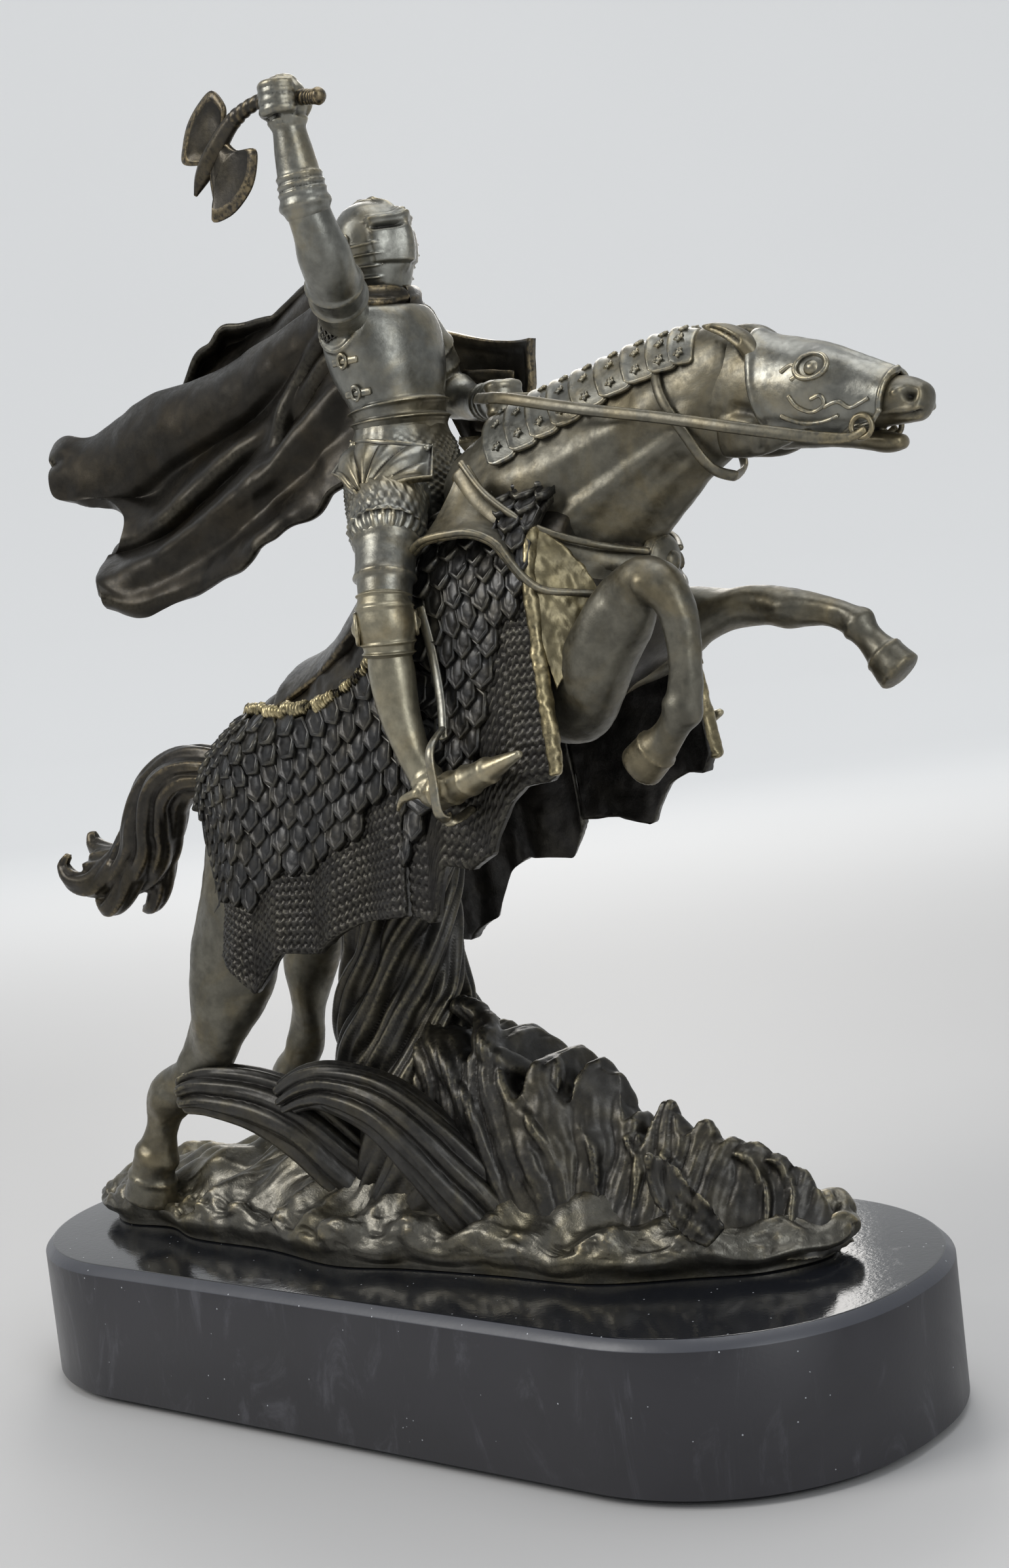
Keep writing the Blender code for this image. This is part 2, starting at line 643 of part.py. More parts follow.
AXE_HAFT = (
    (31.5, -36, 296.4, 1.5, 1.5), (26, -36, 297, 1.5, 1.5), (20.5, -36, 298, 1.5, 1.5), (14, -36, 299, 1.4, 1.4),
    (7.7, -36, 298, 1.5, 1.5), (2.4, -36, 295.4, 1.9, 2), (-3.4, -36, 290.4, 2.2, 2.4), (-7.4, -36, 286.6, 1.6, 1.8),
    (-10, -36, 283.4, 0.5, 0.5),
)  # fmt: skip
BLADE_UPPER = (
    (0.6, 293.6), (1.8, 297), (2.3, 300.6), (-0.9, 304.6), (-5.4, 302.6), (-9.6, 299), (-12, 294.6), (-12.7, 290.8),
    (-7.5, 289.4), (-4, 289.6),
)  # fmt: skip
BLADE_LOWER = (
    (0.2, 293), (4.5, 290.3), (9.9, 289.4), (9.6, 285.4), (7.4, 281.4), (3.2, 278.2), (-1, 276.6), (-5.6, 276.6),
    (-4.6, 280.6), (-4.4, 287),
)  # fmt: skip
COLLAR_RADIUS = 11.5
COLLAR_THICKNESS = 5.0
COLLAR_HEIGHT = 260.0
COLLAR_TILT = 10.0


def upright_plate(name, outline, y, thickness, material):
    """A flat outline in X and Z, this thick about Y."""
    bm = bmesh.new()
    skins = []
    for shift in (-thickness / 2, thickness / 2):
        skins.append([bm.verts.new(figure_point(x, y + shift, z)) for x, z in outline])
    bm.faces.new(skins[0])
    bm.faces.new(skins[1])
    count = len(outline)
    for k in range(count):
        n = (k + 1) % count
        bm.faces.new((skins[0][k], skins[0][n], skins[1][n], skins[1][k]))
    return add_object(name, mesh_from(bm, name), material)


def build_axe():
    axe = Loft(AXE_HAFT, sides=8).solid("axe", BRONZE_DARK)
    for outline in (BLADE_UPPER, BLADE_LOWER):
        blade = upright_plate("blade", outline, -36, AXE_BLADE_THICKNESS, None)
        combine(axe, blade, "UNION")
    BRONZE.join(axe)


def build_collar():
    """The rolled neck of the cape, lower in front."""
    bm = bmesh.new()
    major, minor = 20, 8
    tilt = Matrix.Rotation(math.radians(COLLAR_TILT), 3, "Y")
    rings = []
    for i in range(major):
        turn = 2 * math.pi * i / major
        out = Vector((math.cos(turn), math.sin(turn), 0))
        ring = []
        for j in range(minor):
            roll = 2 * math.pi * j / minor
            local = out * (COLLAR_RADIUS + COLLAR_THICKNESS / 2 * math.cos(roll))
            local.z = COLLAR_THICKNESS / 2 * math.sin(roll)
            turned = tilt @ local
            ring.append(bm.verts.new(figure_point(9.4 + turned.x, turned.y, COLLAR_HEIGHT + turned.z)))
        rings.append(ring)
    for i in range(major):
        for j in range(minor):
            a, b = rings[i], rings[(i + 1) % major]
            n = (j + 1) % minor
            bm.faces.new((a[j], b[j], b[n], a[n]))
    BRONZE.join(add_object("cape_collar", mesh_from(bm, "cape_collar"), BRONZE_DARK))


def build_rider():
    BRONZE.join(HIPS.solid("rider_hips", BRONZE_CLOTH))
    BRONZE.join(CUIRASS.solid("cuirass", BRONZE_WARM))
    BRONZE.join(HELMET.solid("helmet", BRONZE_WARM))
    BRONZE.join(Loft(UPPER_ARM).solid("upper_arm_right", BRONZE_WARM))
    build_axe()
    BRONZE.join(Loft(FOREARM).solid("forearm_right", BRONZE_WARM))
    BRONZE.join(Loft(LEFT_ARM).solid("arm_left", BRONZE_WARM))
    for side, thigh, greave in (("right", THIGH, GREAVE), ("left", mirrored(THIGH), mirrored(GREAVE))):
        BRONZE.join(Loft(thigh).solid(f"thigh_{side}", BRONZE_WARM))
        BRONZE.join(Loft(greave).solid(f"greave_{side}", BRONZE_WARM))
    build_collar()


# ---------------------------------------------------------------- plates and cloth over both

CAPARISON_GAP = 1.2
SADDLE_GAP = CAPARISON_GAP + CAPARISON_THICKNESS + 1.0
REAR_HEM = ((-62, 106), (-54, 99), (-42, 108), (-29, 99.5), (-16, 110), (-4, 109), (10, 117), (27, 119))
FRONT_HEM = ((29, 121), (37, 119), (41, 130), (50, 128), (56, 140), (66, 147))


def draped_sheet(name, u_range, hem, flare, material, rows=14, over=8, hang=3):
    """Cloth over the trunk that hangs plumb from its widest points down to a hem height set along X."""
    skins = []
    for offset in (CAPARISON_GAP + CAPARISON_THICKNESS, CAPARISON_GAP):
        skin = []
        for i in range(rows + 1):
            u = u_range[0] + (u_range[1] - u_range[0]) * i / rows
            row = [TRUNK.point(u, 180.0 - 180.0 * k / over, offset) for k in range(over + 1)]
            hem_height = figure_point(0, 0, between(hem, row[0].x / FIGURE_SCALE)).z
            for edge, outward in ((row[0].copy(), -1), (row[-1].copy(), 1)):
                fall = []
                for k in range(1, hang + 1):
                    f = k / hang
                    drop = (edge.z - hem_height) * f
                    fall.append(edge + Vector((0, outward * flare * FIGURE_SCALE * f, -drop)))
                row = fall[::-1] + row if outward < 0 else row + fall
            skin.append(row)
        skins.append(skin)
    return grid_shell(name, skins[0], skins[1], material)


def build_horse_armour():
    BRONZE.join(draped_sheet("caparison_rear", (1.1, 5.45), REAR_HEM, 8.0, BRONZE_CLOTH, rows=16))
    BRONZE.join(draped_sheet("caparison_front", (5.55, 7.2), FRONT_HEM, 6.0, BRONZE_CLOTH, rows=6))
    saddle = TRUNK.patch("saddle", BRONZE_DARK, (3.75, 5.8), (35, 145), SADDLE_GAP, 3.0, rows=4, columns=6)
    BRONZE.join(saddle)
    peytral = TRUNK.patch("peytral", BRONZE_WARM, (6.1, 7.9), (-25, 205), SADDLE_GAP, PLATE_THICKNESS, rows=3, columns=12)
    BRONZE.join(peytral)
    BRONZE.join(HEAD.patch("chanfron", BRONZE_WARM, (1.5, 4.5), (-5, 185), 0.5, rows=7, columns=10))
    first, last = 0.9, 4.1
    for k in range(LAME_COUNT):
        pitch = (last - first) / LAME_COUNT
        start = last - (k + 1) * pitch
        lame = NECK.patch(
            f"crinet_lame_{k + 1}", BRONZE_WARM, (start + 0.04, start + pitch), (25, 155), 0.5, rows=1, flare=0.7
        )
        BRONZE.join(lame)


def build_rider_plates():
    """A plate over each hip, and a cap round each knee."""
    for side, rings, arc in (("right", THIGH, (190, 250)), ("left", mirrored(THIGH), (290, 350))):
        tasset = HIPS.patch(f"tasset_{side}", BRONZE_WARM, (1.9, 3.6), arc, 0.6, PLATE_THICKNESS, columns=6)
        BRONZE.join(tasset)
        poleyn = Loft(rings).patch(f"poleyn_{side}", BRONZE_WARM, (3.6, 4.7), (0, 360), 0.5, rows=3, columns=12)
        BRONZE.join(poleyn)


# ---------------------------------------------------------------- cape, shield, reins and stirrups

CAPE_TOP = ((-110, 237), (-105, 239.5), (-74, 243), (-57, 255), (-44, 264), (-22, 268.5), (0, 264))
CAPE_BOTTOM = ((-110, 229), (-93, 223), (-88, 197), (-72, 191.6), (-47, 197), (-22, 206), (0, 213))
CAPE_LENGTH = 107.0
CAPE_SWEEP = 0.82


def cape_point(x, f, shift):
    """A point on the cape: x along it, f from its lower right edge to its upper left edge.

    The lower edge flies out to the right and the upper edge to the left, with folds between them. The
    sheet is swept so that its right side trails less than its left.
    """
    spread = min(1.0, 0.25 - x / 45.0)
    folds = 3.2 * math.sin(8.0 * f + 0.05 * x)
    y = (-15.0 + 27.0 * f + folds) * spread
    low, high = between(CAPE_BOTTOM, x), between(CAPE_TOP, x)
    return figure_point(x - CAPE_SWEEP * (y + 5.0) * min(1.0, -x / 30.0), y + shift, low + (high - low) * f)


def build_cape():
    rows, columns = 14, 7
    skins = []
    for shift in (-CAPE_THICKNESS / 2, CAPE_THICKNESS / 2):
        skin = []
        for i in range(rows + 1):
            x = -3.0 - CAPE_LENGTH * i / rows
            skin.append([cape_point(x, k / columns, shift) for k in range(columns + 1)])
        skins.append(skin)
    BRONZE.join(grid_shell("cape", skins[0], skins[1], BRONZE_DARK))


SHIELD_CENTRE = (14.5, 34.0)
SHIELD_HALF_WIDTH = ((213, 1.5), (220, 6.5), (230, 11), (240, 13), (250, 13.5))
SHIELD_TILT = 0.16


def build_shield():
    """A shield hollow towards the rider, its top edge lower in front."""
    skins = []
    for shift in (0.0, SHIELD_THICKNESS):
        skin = []
        for z, half in SHIELD_HALF_WIDTH:
            row = []
            for k in range(7):
                f = k / 3 - 1
                x = SHIELD_CENTRE[0] + half * f
                y = SHIELD_CENTRE[1] - 4.0 * f * f + shift
                row.append(figure_point(x, y, z - SHIELD_TILT * half * f))
            skin.append(row)
        skins.append(skin)
    BRONZE.join(grid_shell("shield", skins[0], skins[1], BRONZE_DARK))


REIN_RIGHT = ((36, 2, 231), (44, -7, 230), (54, -14.6, 228.6), (74, -14.2, 223.5), (92, -12.6, 219.3), (108, -12, 215.2),
              (121, -11.4, 212), (130, -10.4, 209.8), (138, -8.6, 209), (142, -7.6, 211))  # fmt: skip
STIRRUP = ((44.5, -37, 160), (45.5, -43, 156), (46, -43.6, 149), (46, -43, 142.4), (46, -37.5, 140.6), (46, -32.4, 142))


def strap(name, points, radius, material):
    rings = [(x, y, z, radius, radius) for x, y, z in points]
    return Loft(rings, across=(0, 0, 1), sides=6, steps=2).solid(name, material)


def build_tack():
    for side, sign in (("right", 1), ("left", -1)):
        rein = [(x, y * sign, z) for x, y, z in REIN_RIGHT]
        BRONZE.join(strap(f"rein_{side}", rein, REIN_THICKNESS / 2, BRONZE_WARM))
        iron = [(x, y * sign, z) for x, y, z in STIRRUP]
        rings = [(x, y, z, 1.0, 1.0) for x, y, z in iron]
        BRONZE.join(Loft(rings, across=(1, 0, 0), sides=6, steps=2).solid(f"stirrup_{side}", BRONZE_WARM))


build_plinth()
build_fixings()
build_ground()
build_horse()
build_grass()
build_rider()
build_horse_armour()
build_rider_plates()
build_shield()
build_cape()
build_tack()
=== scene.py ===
"""Looks of a cast-bronze statuette: a knight with a raised axe on a leaping horse, on a dark stone plinth.

Lengths in the tables are millimetres and become metres when a mesh is made. +Z is up, the horse leaps
towards +X, and its right side faces -Y.
"""

from __future__ import annotations

import json
import logging
import math
from dataclasses import dataclass, field
from enum import Enum
from typing import Callable, Sequence

import bmesh
import bpy
import numpy as np
from mathutils import Matrix, Vector

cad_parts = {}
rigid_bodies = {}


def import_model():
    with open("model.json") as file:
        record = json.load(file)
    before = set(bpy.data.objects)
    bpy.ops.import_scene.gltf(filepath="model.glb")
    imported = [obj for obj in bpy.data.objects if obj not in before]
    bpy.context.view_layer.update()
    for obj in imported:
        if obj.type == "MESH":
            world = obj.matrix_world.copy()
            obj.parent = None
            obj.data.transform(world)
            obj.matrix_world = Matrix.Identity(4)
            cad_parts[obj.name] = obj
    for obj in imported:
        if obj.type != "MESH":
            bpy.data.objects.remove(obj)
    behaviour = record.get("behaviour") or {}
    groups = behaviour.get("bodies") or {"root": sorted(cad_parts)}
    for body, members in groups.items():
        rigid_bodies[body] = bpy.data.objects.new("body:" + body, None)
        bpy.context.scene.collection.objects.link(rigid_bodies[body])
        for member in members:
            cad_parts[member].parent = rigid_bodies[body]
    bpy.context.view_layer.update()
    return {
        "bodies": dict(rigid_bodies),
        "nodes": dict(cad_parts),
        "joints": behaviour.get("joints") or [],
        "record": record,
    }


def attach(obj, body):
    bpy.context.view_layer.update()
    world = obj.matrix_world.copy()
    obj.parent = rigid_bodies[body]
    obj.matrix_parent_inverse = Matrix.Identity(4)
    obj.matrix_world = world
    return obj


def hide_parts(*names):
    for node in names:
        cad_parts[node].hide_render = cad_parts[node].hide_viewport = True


log = logging.getLogger("statuette")

MM = 0.001
BODY = "root"
HASH = (73856093, 19349663, 83492791, 2654435, 1274126177)
THINNEST = 0.4
Array = np.ndarray
Relief = Callable[[Array, Array], Array]


class Slot(Enum):
    """The record's material slots."""

    DARK = "bronze_dark"
    WARM = "bronze_warm"
    CLOTH = "bronze_cloth"
    STONE = "black_marble"
    FELT = "black_felt"
    STEEL = "zinc_steel"


class Side(Enum):
    """A side of the horse, with the sign of its Y."""

    RIGHT = -1
    LEFT = 1

    @property
    def label(self) -> str:
        """The side's name in lower case."""
        return self.name.lower()


# ---------------------------------------------------------------- numbers on curves and surfaces


def unit(vectors: Array) -> Array:
    """The vectors at length one."""
    return vectors / np.maximum(np.linalg.norm(vectors, axis=-1, keepdims=True), 1e-9)


def ease(values: Array, low: float, high: float) -> Array:
    """0 below low, 1 above high, and a smooth rise between them; low may be the larger."""
    f = np.clip((np.asarray(values, float) - low) / (high - low), 0.0, 1.0)
    return f * f * (3 - 2 * f)


def hill(values: Array, centre: float, width: float) -> Array:
    """A smooth hill of height one."""
    return np.exp(-(((np.asarray(values, float) - centre) / width) ** 2))


def spline(rows: Sequence[Sequence[float]], places: Array) -> Array:
    """A smooth curve through rows of numbers.

    Args:
        rows: The rows that the curve passes through.
        places: Where to read it, in rows along, of any shape.

    Returns:
        One row of numbers for each place.
    """
    table = np.asarray(rows, float)
    last = len(table) - 1
    u = np.clip(np.asarray(places, float), 0, last)
    i = np.clip(np.floor(u).astype(int), 0, last - 1)
    f = (u - i)[..., None]
    a, b, c, d = (table[np.clip(i + k, 0, last)] for k in (-1, 0, 1, 2))
    return 0.5 * (2 * b + (c - a) * f + (2 * a - 5 * b + 4 * c - d) * f**2 + (3 * b - a - 3 * c + d) * f**3)


def between(pairs: Sequence[Sequence[float]], x: Array) -> Array:
    """Straight interpolation in (x, value) pairs."""
    table = np.asarray(sorted(pairs), float)
    return np.interp(x, table[:, 0], table[:, 1])


def on_right(points: Array) -> Array:
    """The points with those on the left mirrored to the right."""
    return np.column_stack((points[:, 0], -np.abs(points[:, 1]), points[:, 2]))


def grid(rows: int, columns: int) -> tuple[Array, Array]:
    """How far down and how far across each point of a grid lies, from 0 to 1."""
    down = np.linspace(0, 1, rows)[:, None] + np.zeros((1, columns))
    across = np.linspace(0, 1, columns)[None, :] + np.zeros((rows, 1))
    return down, across


def noise(points: Array, size: float, seed: int = 0, octaves: int = 3) -> Array:
    """Smooth unevenness from about -1 to 1.

    Args:
        points: Places in millimetres.
        size: The largest lumps' spacing in millimetres.
        seed: Which pattern.
        octaves: How many finer layers are added.

    Returns:
        One value for each point.
    """
    total = np.zeros(points.shape[:-1])
    weight, share = 1.0, 0.0
    corners = [np.array((i, j, k)) for i in (0, 1) for j in (0, 1) for k in (0, 1)]
    for octave in range(octaves):
        place = points / size * 2.0**octave + 17.3 * (octave + 1) + 5.1 * seed
        cell = np.floor(place).astype(np.int64)
        f = place - cell
        f = f * f * (3 - 2 * f)
        value = np.zeros(points.shape[:-1])
        for corner in corners:
            n = cell + corner
            mixed = (n[..., 0] * HASH[0]) ^ (n[..., 1] * HASH[1]) ^ (n[..., 2] * HASH[2])
            mixed = mixed ^ (seed * HASH[3] + octave)
            mixed = (mixed ^ (mixed >> 13)) * HASH[4]
            lattice = ((mixed ^ (mixed >> 16)) & 65535) / 32767.5 - 1.0
            value += lattice * np.prod(np.where(corner, f, 1 - f), axis=-1)
        total += weight * value
        share += weight
        weight *= 0.5
    return total / share * 1.6


def distance(points: Array, path: Sequence[Sequence[float]]) -> Array:
    """How far each point is from a polyline."""
    line = np.asarray(path, float)
    nearest = np.full(points.shape[:-1], 1e9)
    for start, end in zip(line, line[1:]):
        along = end - start
        f = np.clip(((points - start) @ along) / max(along @ along, 1e-9), 0, 1)
        nearest = np.minimum(nearest, np.linalg.norm(points - start - f[..., None] * along, axis=-1))
    return nearest


def smooth_path(rows: Sequence[Sequence[float]], count: int = 24) -> Array:
    """A smooth polyline through the rows."""
    return spline(rows, np.linspace(0, len(rows) - 1, count))


def stroke(points: Array, path: Sequence[Sequence[float]], radius: float, height: float) -> Array:
    """A rounded ridge, or a groove where the height is negative, along a smooth path.

    Args:
        points: Places on the surface.
        path: The points that the ridge passes through.
        radius: Where the ridge ends, from its middle.
        height: How far it stands out.

    Returns:
        How far each point moves.
    """
    line = smooth_path(path, 4 * len(path)) if len(path) > 2 else np.asarray(path, float)
    f = np.clip(1 - distance(points, line) / radius, 0, 1)
    return height * f * f * (3 - 2 * f)


def dab(points: Array, centre: Sequence[float], radius: float, height: float) -> Array:
    """A rounded boss, or a pit where the height is negative."""
    f = np.clip(1 - np.linalg.norm(points - np.asarray(centre, float), axis=-1) / radius, 0, 1)
    return height * f * f * (3 - 2 * f)


# ---------------------------------------------------------------- shells


@dataclass
class Shell:
    """A closed surface in millimetres: its points, four-sided faces and triangles."""

    points: Array
    quads: Array
    triangles: Array = field(default_factory=lambda: np.zeros((0, 3), int))

    def outward(self) -> "Shell":
        """The same shell with its faces turned outwards."""
        p = self.points
        volume = 0.0
        for corners in ((0, 1, 2), (0, 2, 3)):
            a, b, c = (p[self.quads[:, k]] for k in corners)
            volume += np.einsum("ij,ij->", a, np.cross(b, c))
        if len(self.triangles):
            a, b, c = (p[self.triangles[:, k]] for k in range(3))
            volume += np.einsum("ij,ij->", a, np.cross(b, c))
        if volume < 0:
            return Shell(p, self.quads[:, ::-1], self.triangles[:, ::-1])
        return self


def grid_quads(rows: int, columns: int, wrap: bool, start: int = 0) -> Array:
    """The four-sided faces of a grid of points; wrap joins the last column to the first."""
    i, j = np.meshgrid(np.arange(rows - 1), np.arange(columns if wrap else columns - 1), indexing="ij")
    k = (j + 1) % columns
    faces = np.stack((i * columns + j, (i + 1) * columns + j, (i + 1) * columns + k, i * columns + k), -1)
    return faces.reshape(-1, 4) + start


def grid_normals(points: Array, wrap: bool) -> Array:
    """Unit normals of a grid of points, pointing the way that its rows cross its columns."""
    down = np.gradient(points, axis=0)
    if wrap:
        over = np.roll(points, -1, axis=1) - np.roll(points, 1, axis=1)
    else:
        over = np.gradient(points, axis=1)
    return unit(np.cross(over, down))


def tube_shell(points: Array, bulge: float = 0.7, domes: int = 4) -> Shell:
    """A tube with rounded ends.

    Args:
        points: Rings of points, in a grid.
        bulge: How far the ends stand out, as a share of the ring's size.
        domes: How many rings each rounded end takes.

    Returns:
        The closed shell.
    """

    def end(ring: Array, before: Array) -> list[Array]:
        centre = ring.mean(0)
        size = np.linalg.norm(ring - centre, axis=1).min()
        ahead = unit(centre - before.mean(0))
        turns = [math.pi / 2 * (k + 1) / (domes + 1) for k in range(domes)]
        return [centre + (ring - centre) * math.cos(t) + ahead * size * bulge * math.sin(t) for t in turns]

    head, tail = end(points[0], points[1]), end(points[-1], points[-2])
    rings = np.array(head[::-1] + list(points) + tail)
    rows, columns = rings.shape[:2]
    count = rows * columns

    def pole(outer: Array, inner: Array) -> Array:
        return outer.mean(0) + (outer.mean(0) - inner.mean(0)) * 0.3

    poles = np.array((pole(rings[0], rings[1]), pole(rings[-1], rings[-2])))
    j = np.arange(columns)
    k = (j + 1) % columns
    first = np.stack((np.full(columns, count), j, k), -1)
    last = np.stack((np.full(columns, count + 1), (rows - 1) * columns + k, (rows - 1) * columns + j), -1)
    places = np.concatenate((rings.reshape(-1, 3), poles))
    return Shell(places, grid_quads(rows, columns, True), np.concatenate((first, last))).outward()


def sheet_shell(outer: Array, inner: Array) -> Shell:
    """A closed plate from two matching grids."""
    rows, columns = outer.shape[:2]
    count = rows * columns
    faces = [grid_quads(rows, columns, False), grid_quads(rows, columns, False, count)[:, ::-1]]
    index = np.arange(count).reshape(rows, columns)
    for rim, turned in ((index[0], False), (index[-1], True), (index[:, 0], True), (index[:, -1], False)):
        here, ahead = rim[:-1], rim[1:]
        strip = np.stack((here, ahead, ahead + count, here + count), -1)
        faces.append(strip[:, ::-1] if turned else strip)
    places = np.concatenate((outer.reshape(-1, 3), inner.reshape(-1, 3)))
    return Shell(places, np.concatenate(faces)).outward()


def plate_shell(points: Array, thickness: float) -> Shell:
    """A plate this thick whose outer skin is the grid."""
    normals = grid_normals(points, False)
    centre = points.reshape(-1, 3).mean(0)
    if np.einsum("ijk,ijk->", normals, points - centre) < 0:
        normals = -normals
    return sheet_shell(points, points - normals * thickness)


class Loft:
    """Elliptical rings along a smooth spine, each (x, y, z, half-width across, half-depth)."""

    def __init__(self, rings: Sequence[Sequence[float]], across: Sequence[float] = (0, 1, 0)) -> None:
        """Keeps the rings and the direction that their width is measured in."""
        self.rings = np.asarray(rings, float)
        self.across = np.asarray(across, float)
        self.end = len(self.rings) - 1

    def mirrored(self) -> "Loft":
        """The same form on the horse's other side."""
        return Loft(self.rings * (1, -1, 1, 1, 1), self.across)

    def on(self, side: Side) -> "Loft":
        """The form on one side, where the rings are drawn for the right side."""
        return self if side is Side.RIGHT else self.mirrored()

    def frames(self, u: Array) -> tuple[Array, Array, Array, Array, Array]:
        """Centre, across and depth directions, half-width and half-depth at u rings along."""
        rows = spline(self.rings, u)
        ahead = spline(self.rings, np.minimum(u + 0.05, self.end))[..., :3]
        behind = spline(self.rings, np.maximum(u - 0.05, 0))[..., :3]
        tangent = unit(ahead - behind)
        across = unit(self.across - tangent * (tangent @ self.across)[..., None])
        side, deep = np.maximum(rows[..., 3], THINNEST), np.maximum(rows[..., 4], THINNEST)
        return rows[..., :3], across, np.cross(tangent, across), side, deep

    def points(self, u: Array, turn: Array, out: Array = 0.0) -> Array:
        """Places on the form.

        Args:
            u: Rings along.
            turn: Degrees from the across direction.
            out: How far off the surface.

        Returns:
            One place for each pair of u and turn.
        """
        u, turn, out = np.broadcast_arrays(*(np.asarray(value, float) for value in (u, turn, out)))
        centre, across, depth, side, deep = self.frames(u)
        angle = np.radians(turn)
        return (
            centre
            + across * ((side + out) * np.cos(angle))[..., None]
            + depth * ((deep + out) * np.sin(angle))[..., None]
        )

    def solid(
        self, rows: int, columns: int, relief: Relief | None = None, bulge: float = 0.7,
        span: tuple | None = None
    ) -> Shell:
        """The form as a closed shell.

        Args:
            rows: How many rings it gets.
            columns: How many points a ring gets.
            relief: Moves the surface out, from (rings along, degrees).
            bulge: How far the ends are rounded.
            span: The rings it runs between, if not all.

        Returns:
            The closed shell.
        """
        low, high = span or (0, self.end)
        u = np.linspace(low, high, rows)[:, None] + np.zeros((1, columns))
        turn = np.arange(columns) * 360.0 / columns + np.zeros((rows, 1))
        places = self.points(u, turn)
        if relief is not None:
            centres = self.frames(u)[0]
            normals = grid_normals(places, True)
            normals *= np.sign(np.einsum("ijk,ijk->ij", normals, places - centres))[..., None]
            places = places + normals * relief(u, turn)[..., None]
        return tube_shell(places, bulge)


def band(
    path: Sequence[Sequence[float]], widths: Sequence[float], thickness: float, facing: Sequence[float],
    count: int = 40, sides: int = 12
) -> Shell:
    """A flat strap or rib with rounded edges.

    Args:
        path: The points its middle follows.
        widths: Its width at each point.
        thickness: Its thickness.
        facing: The direction its flat side faces.
        count: How many rings it gets.
        sides: How many points a ring gets.

    Returns:
        The closed shell.
    """
    rings = [(*point, width / 2, thickness / 2) for point, width in zip(path, widths)]
    line = Loft(rings)
    u = np.linspace(0, line.end, count)
    rows = spline(line.rings, u)
    tangent = unit(np.gradient(rows[:, :3], axis=0))
    across = unit(np.cross(tangent, np.asarray(facing, float)))
    depth = np.cross(across, tangent)
    angle = 2 * math.pi * np.arange(sides) / sides
    ring = across[:, None] * (rows[:, 3, None] * np.cos(angle))[..., None]
    ring = ring + depth[:, None] * (rows[:, 4, None] * np.sin(angle))[..., None]
    return tube_shell(rows[:, None, :3] + ring, 0.6, 2)


def ring_shell(
    centre: Sequence[float], axis: Sequence[float], radius: float, bar: float, stretch: float = 1.0,
    count: int = 24, sides: int = 8
) -> Shell:
    """A ring about an axis; stretch makes it an oval."""
    facing = Vector(axis).to_track_quat("Z", "Y").to_matrix()
    turn = 2 * math.pi * np.arange(count) / count
    roll = 2 * math.pi * np.arange(sides) / sides
    out = np.stack((np.cos(turn), np.sin(turn) * stretch, np.zeros(count)), -1)[:, None]
    local = out * (radius + bar * np.cos(roll))[None, :, None]
    local = local + np.array((0, 0, 1.0)) * (bar * np.sin(roll))[None, :, None]
    points = local @ np.array(facing).T + np.asarray(centre, float)
    index = np.arange(count * sides).reshape(count, sides)
    here = np.roll(index, -1, 0)
    faces = np.stack((index, here, np.roll(here, -1, 1), np.roll(index, -1, 1)), -1).reshape(-1, 4)
    return Shell(points.reshape(-1, 3), faces).outward()


def dome_shell(
    centre: Sequence[float], axis: Sequence[float], radius: float, height: float, sides: int = 16
) -> Shell:
    """A round-headed boss that stands on a surface."""
    facing = np.array(Vector(axis).to_track_quat("Z", "Y").to_matrix())
    profile = [(1.0, -0.4), (1.0, 0.0), (0.92, 0.38), (0.7, 0.71), (0.38, 0.92)]
    turn = 2 * math.pi * np.arange(sides) / sides
    rows = []
    for wide, high in profile:
        ring = np.stack(
            (np.cos(turn) * wide * radius, np.sin(turn) * wide * radius, np.full(sides, high * height)), -1
        )
        rows.append(ring @ facing.T + np.asarray(centre, float))
    return tube_shell(np.array(rows), 0.2, 1)


# ---------------------------------------------------------------- meshes


def new_object(name: str, data: bpy.types.ID) -> bpy.types.Object:
    """An object of this data, linked into the scene."""
    made = bpy.data.objects.new(name, data)
    bpy.context.scene.collection.objects.link(made)
    return made


def mesh_object(name: str, shells: Sequence[Shell]) -> bpy.types.Object:
    """One object of all the shells, in metres."""
    points, faces, start = [], [], 0
    for shell in shells:
        points.append(shell.points)
        faces += (shell.quads + start).tolist() + (shell.triangles + start).tolist()
        start += len(shell.points)
    mesh = bpy.data.meshes.new(name)
    mesh.from_pydata((np.concatenate(points) * MM).tolist(), [], faces)
    mesh.validate()
    return new_object(name, mesh)


def take_modifiers(piece: bpy.types.Object) -> None:
    """Makes the piece's modifiers part of its mesh."""
    bpy.context.view_layer.update()
    ready = piece.evaluated_get(bpy.context.evaluated_depsgraph_get())
    mesh = bpy.data.meshes.new_from_object(ready)
    piece.modifiers.clear()
    piece.data = mesh


def fuse(name: str, shells: Sequence[Shell], voxel: float, relax: int = 2) -> bpy.types.Object:
    """One cast skin over overlapping shells.

    Args:
        name: The piece's name.
        shells: The shells to join.
        voxel: The skin's mesh size in millimetres.
        relax: How many times the skin is smoothed.

    Returns:
        The object.
    """
    piece = mesh_object(name, shells)
    step = piece.modifiers.new("skin", "REMESH")
    step.mode = "VOXEL"
    step.voxel_size = voxel * MM
    take_modifiers(piece)
    places = read_points(piece)
    edges = read_edges(piece.data)
    for _ in range(relax):
        places = places * 0.5 + neighbour_mean(places, edges) * 0.5
    write_points(piece, places)
    return piece


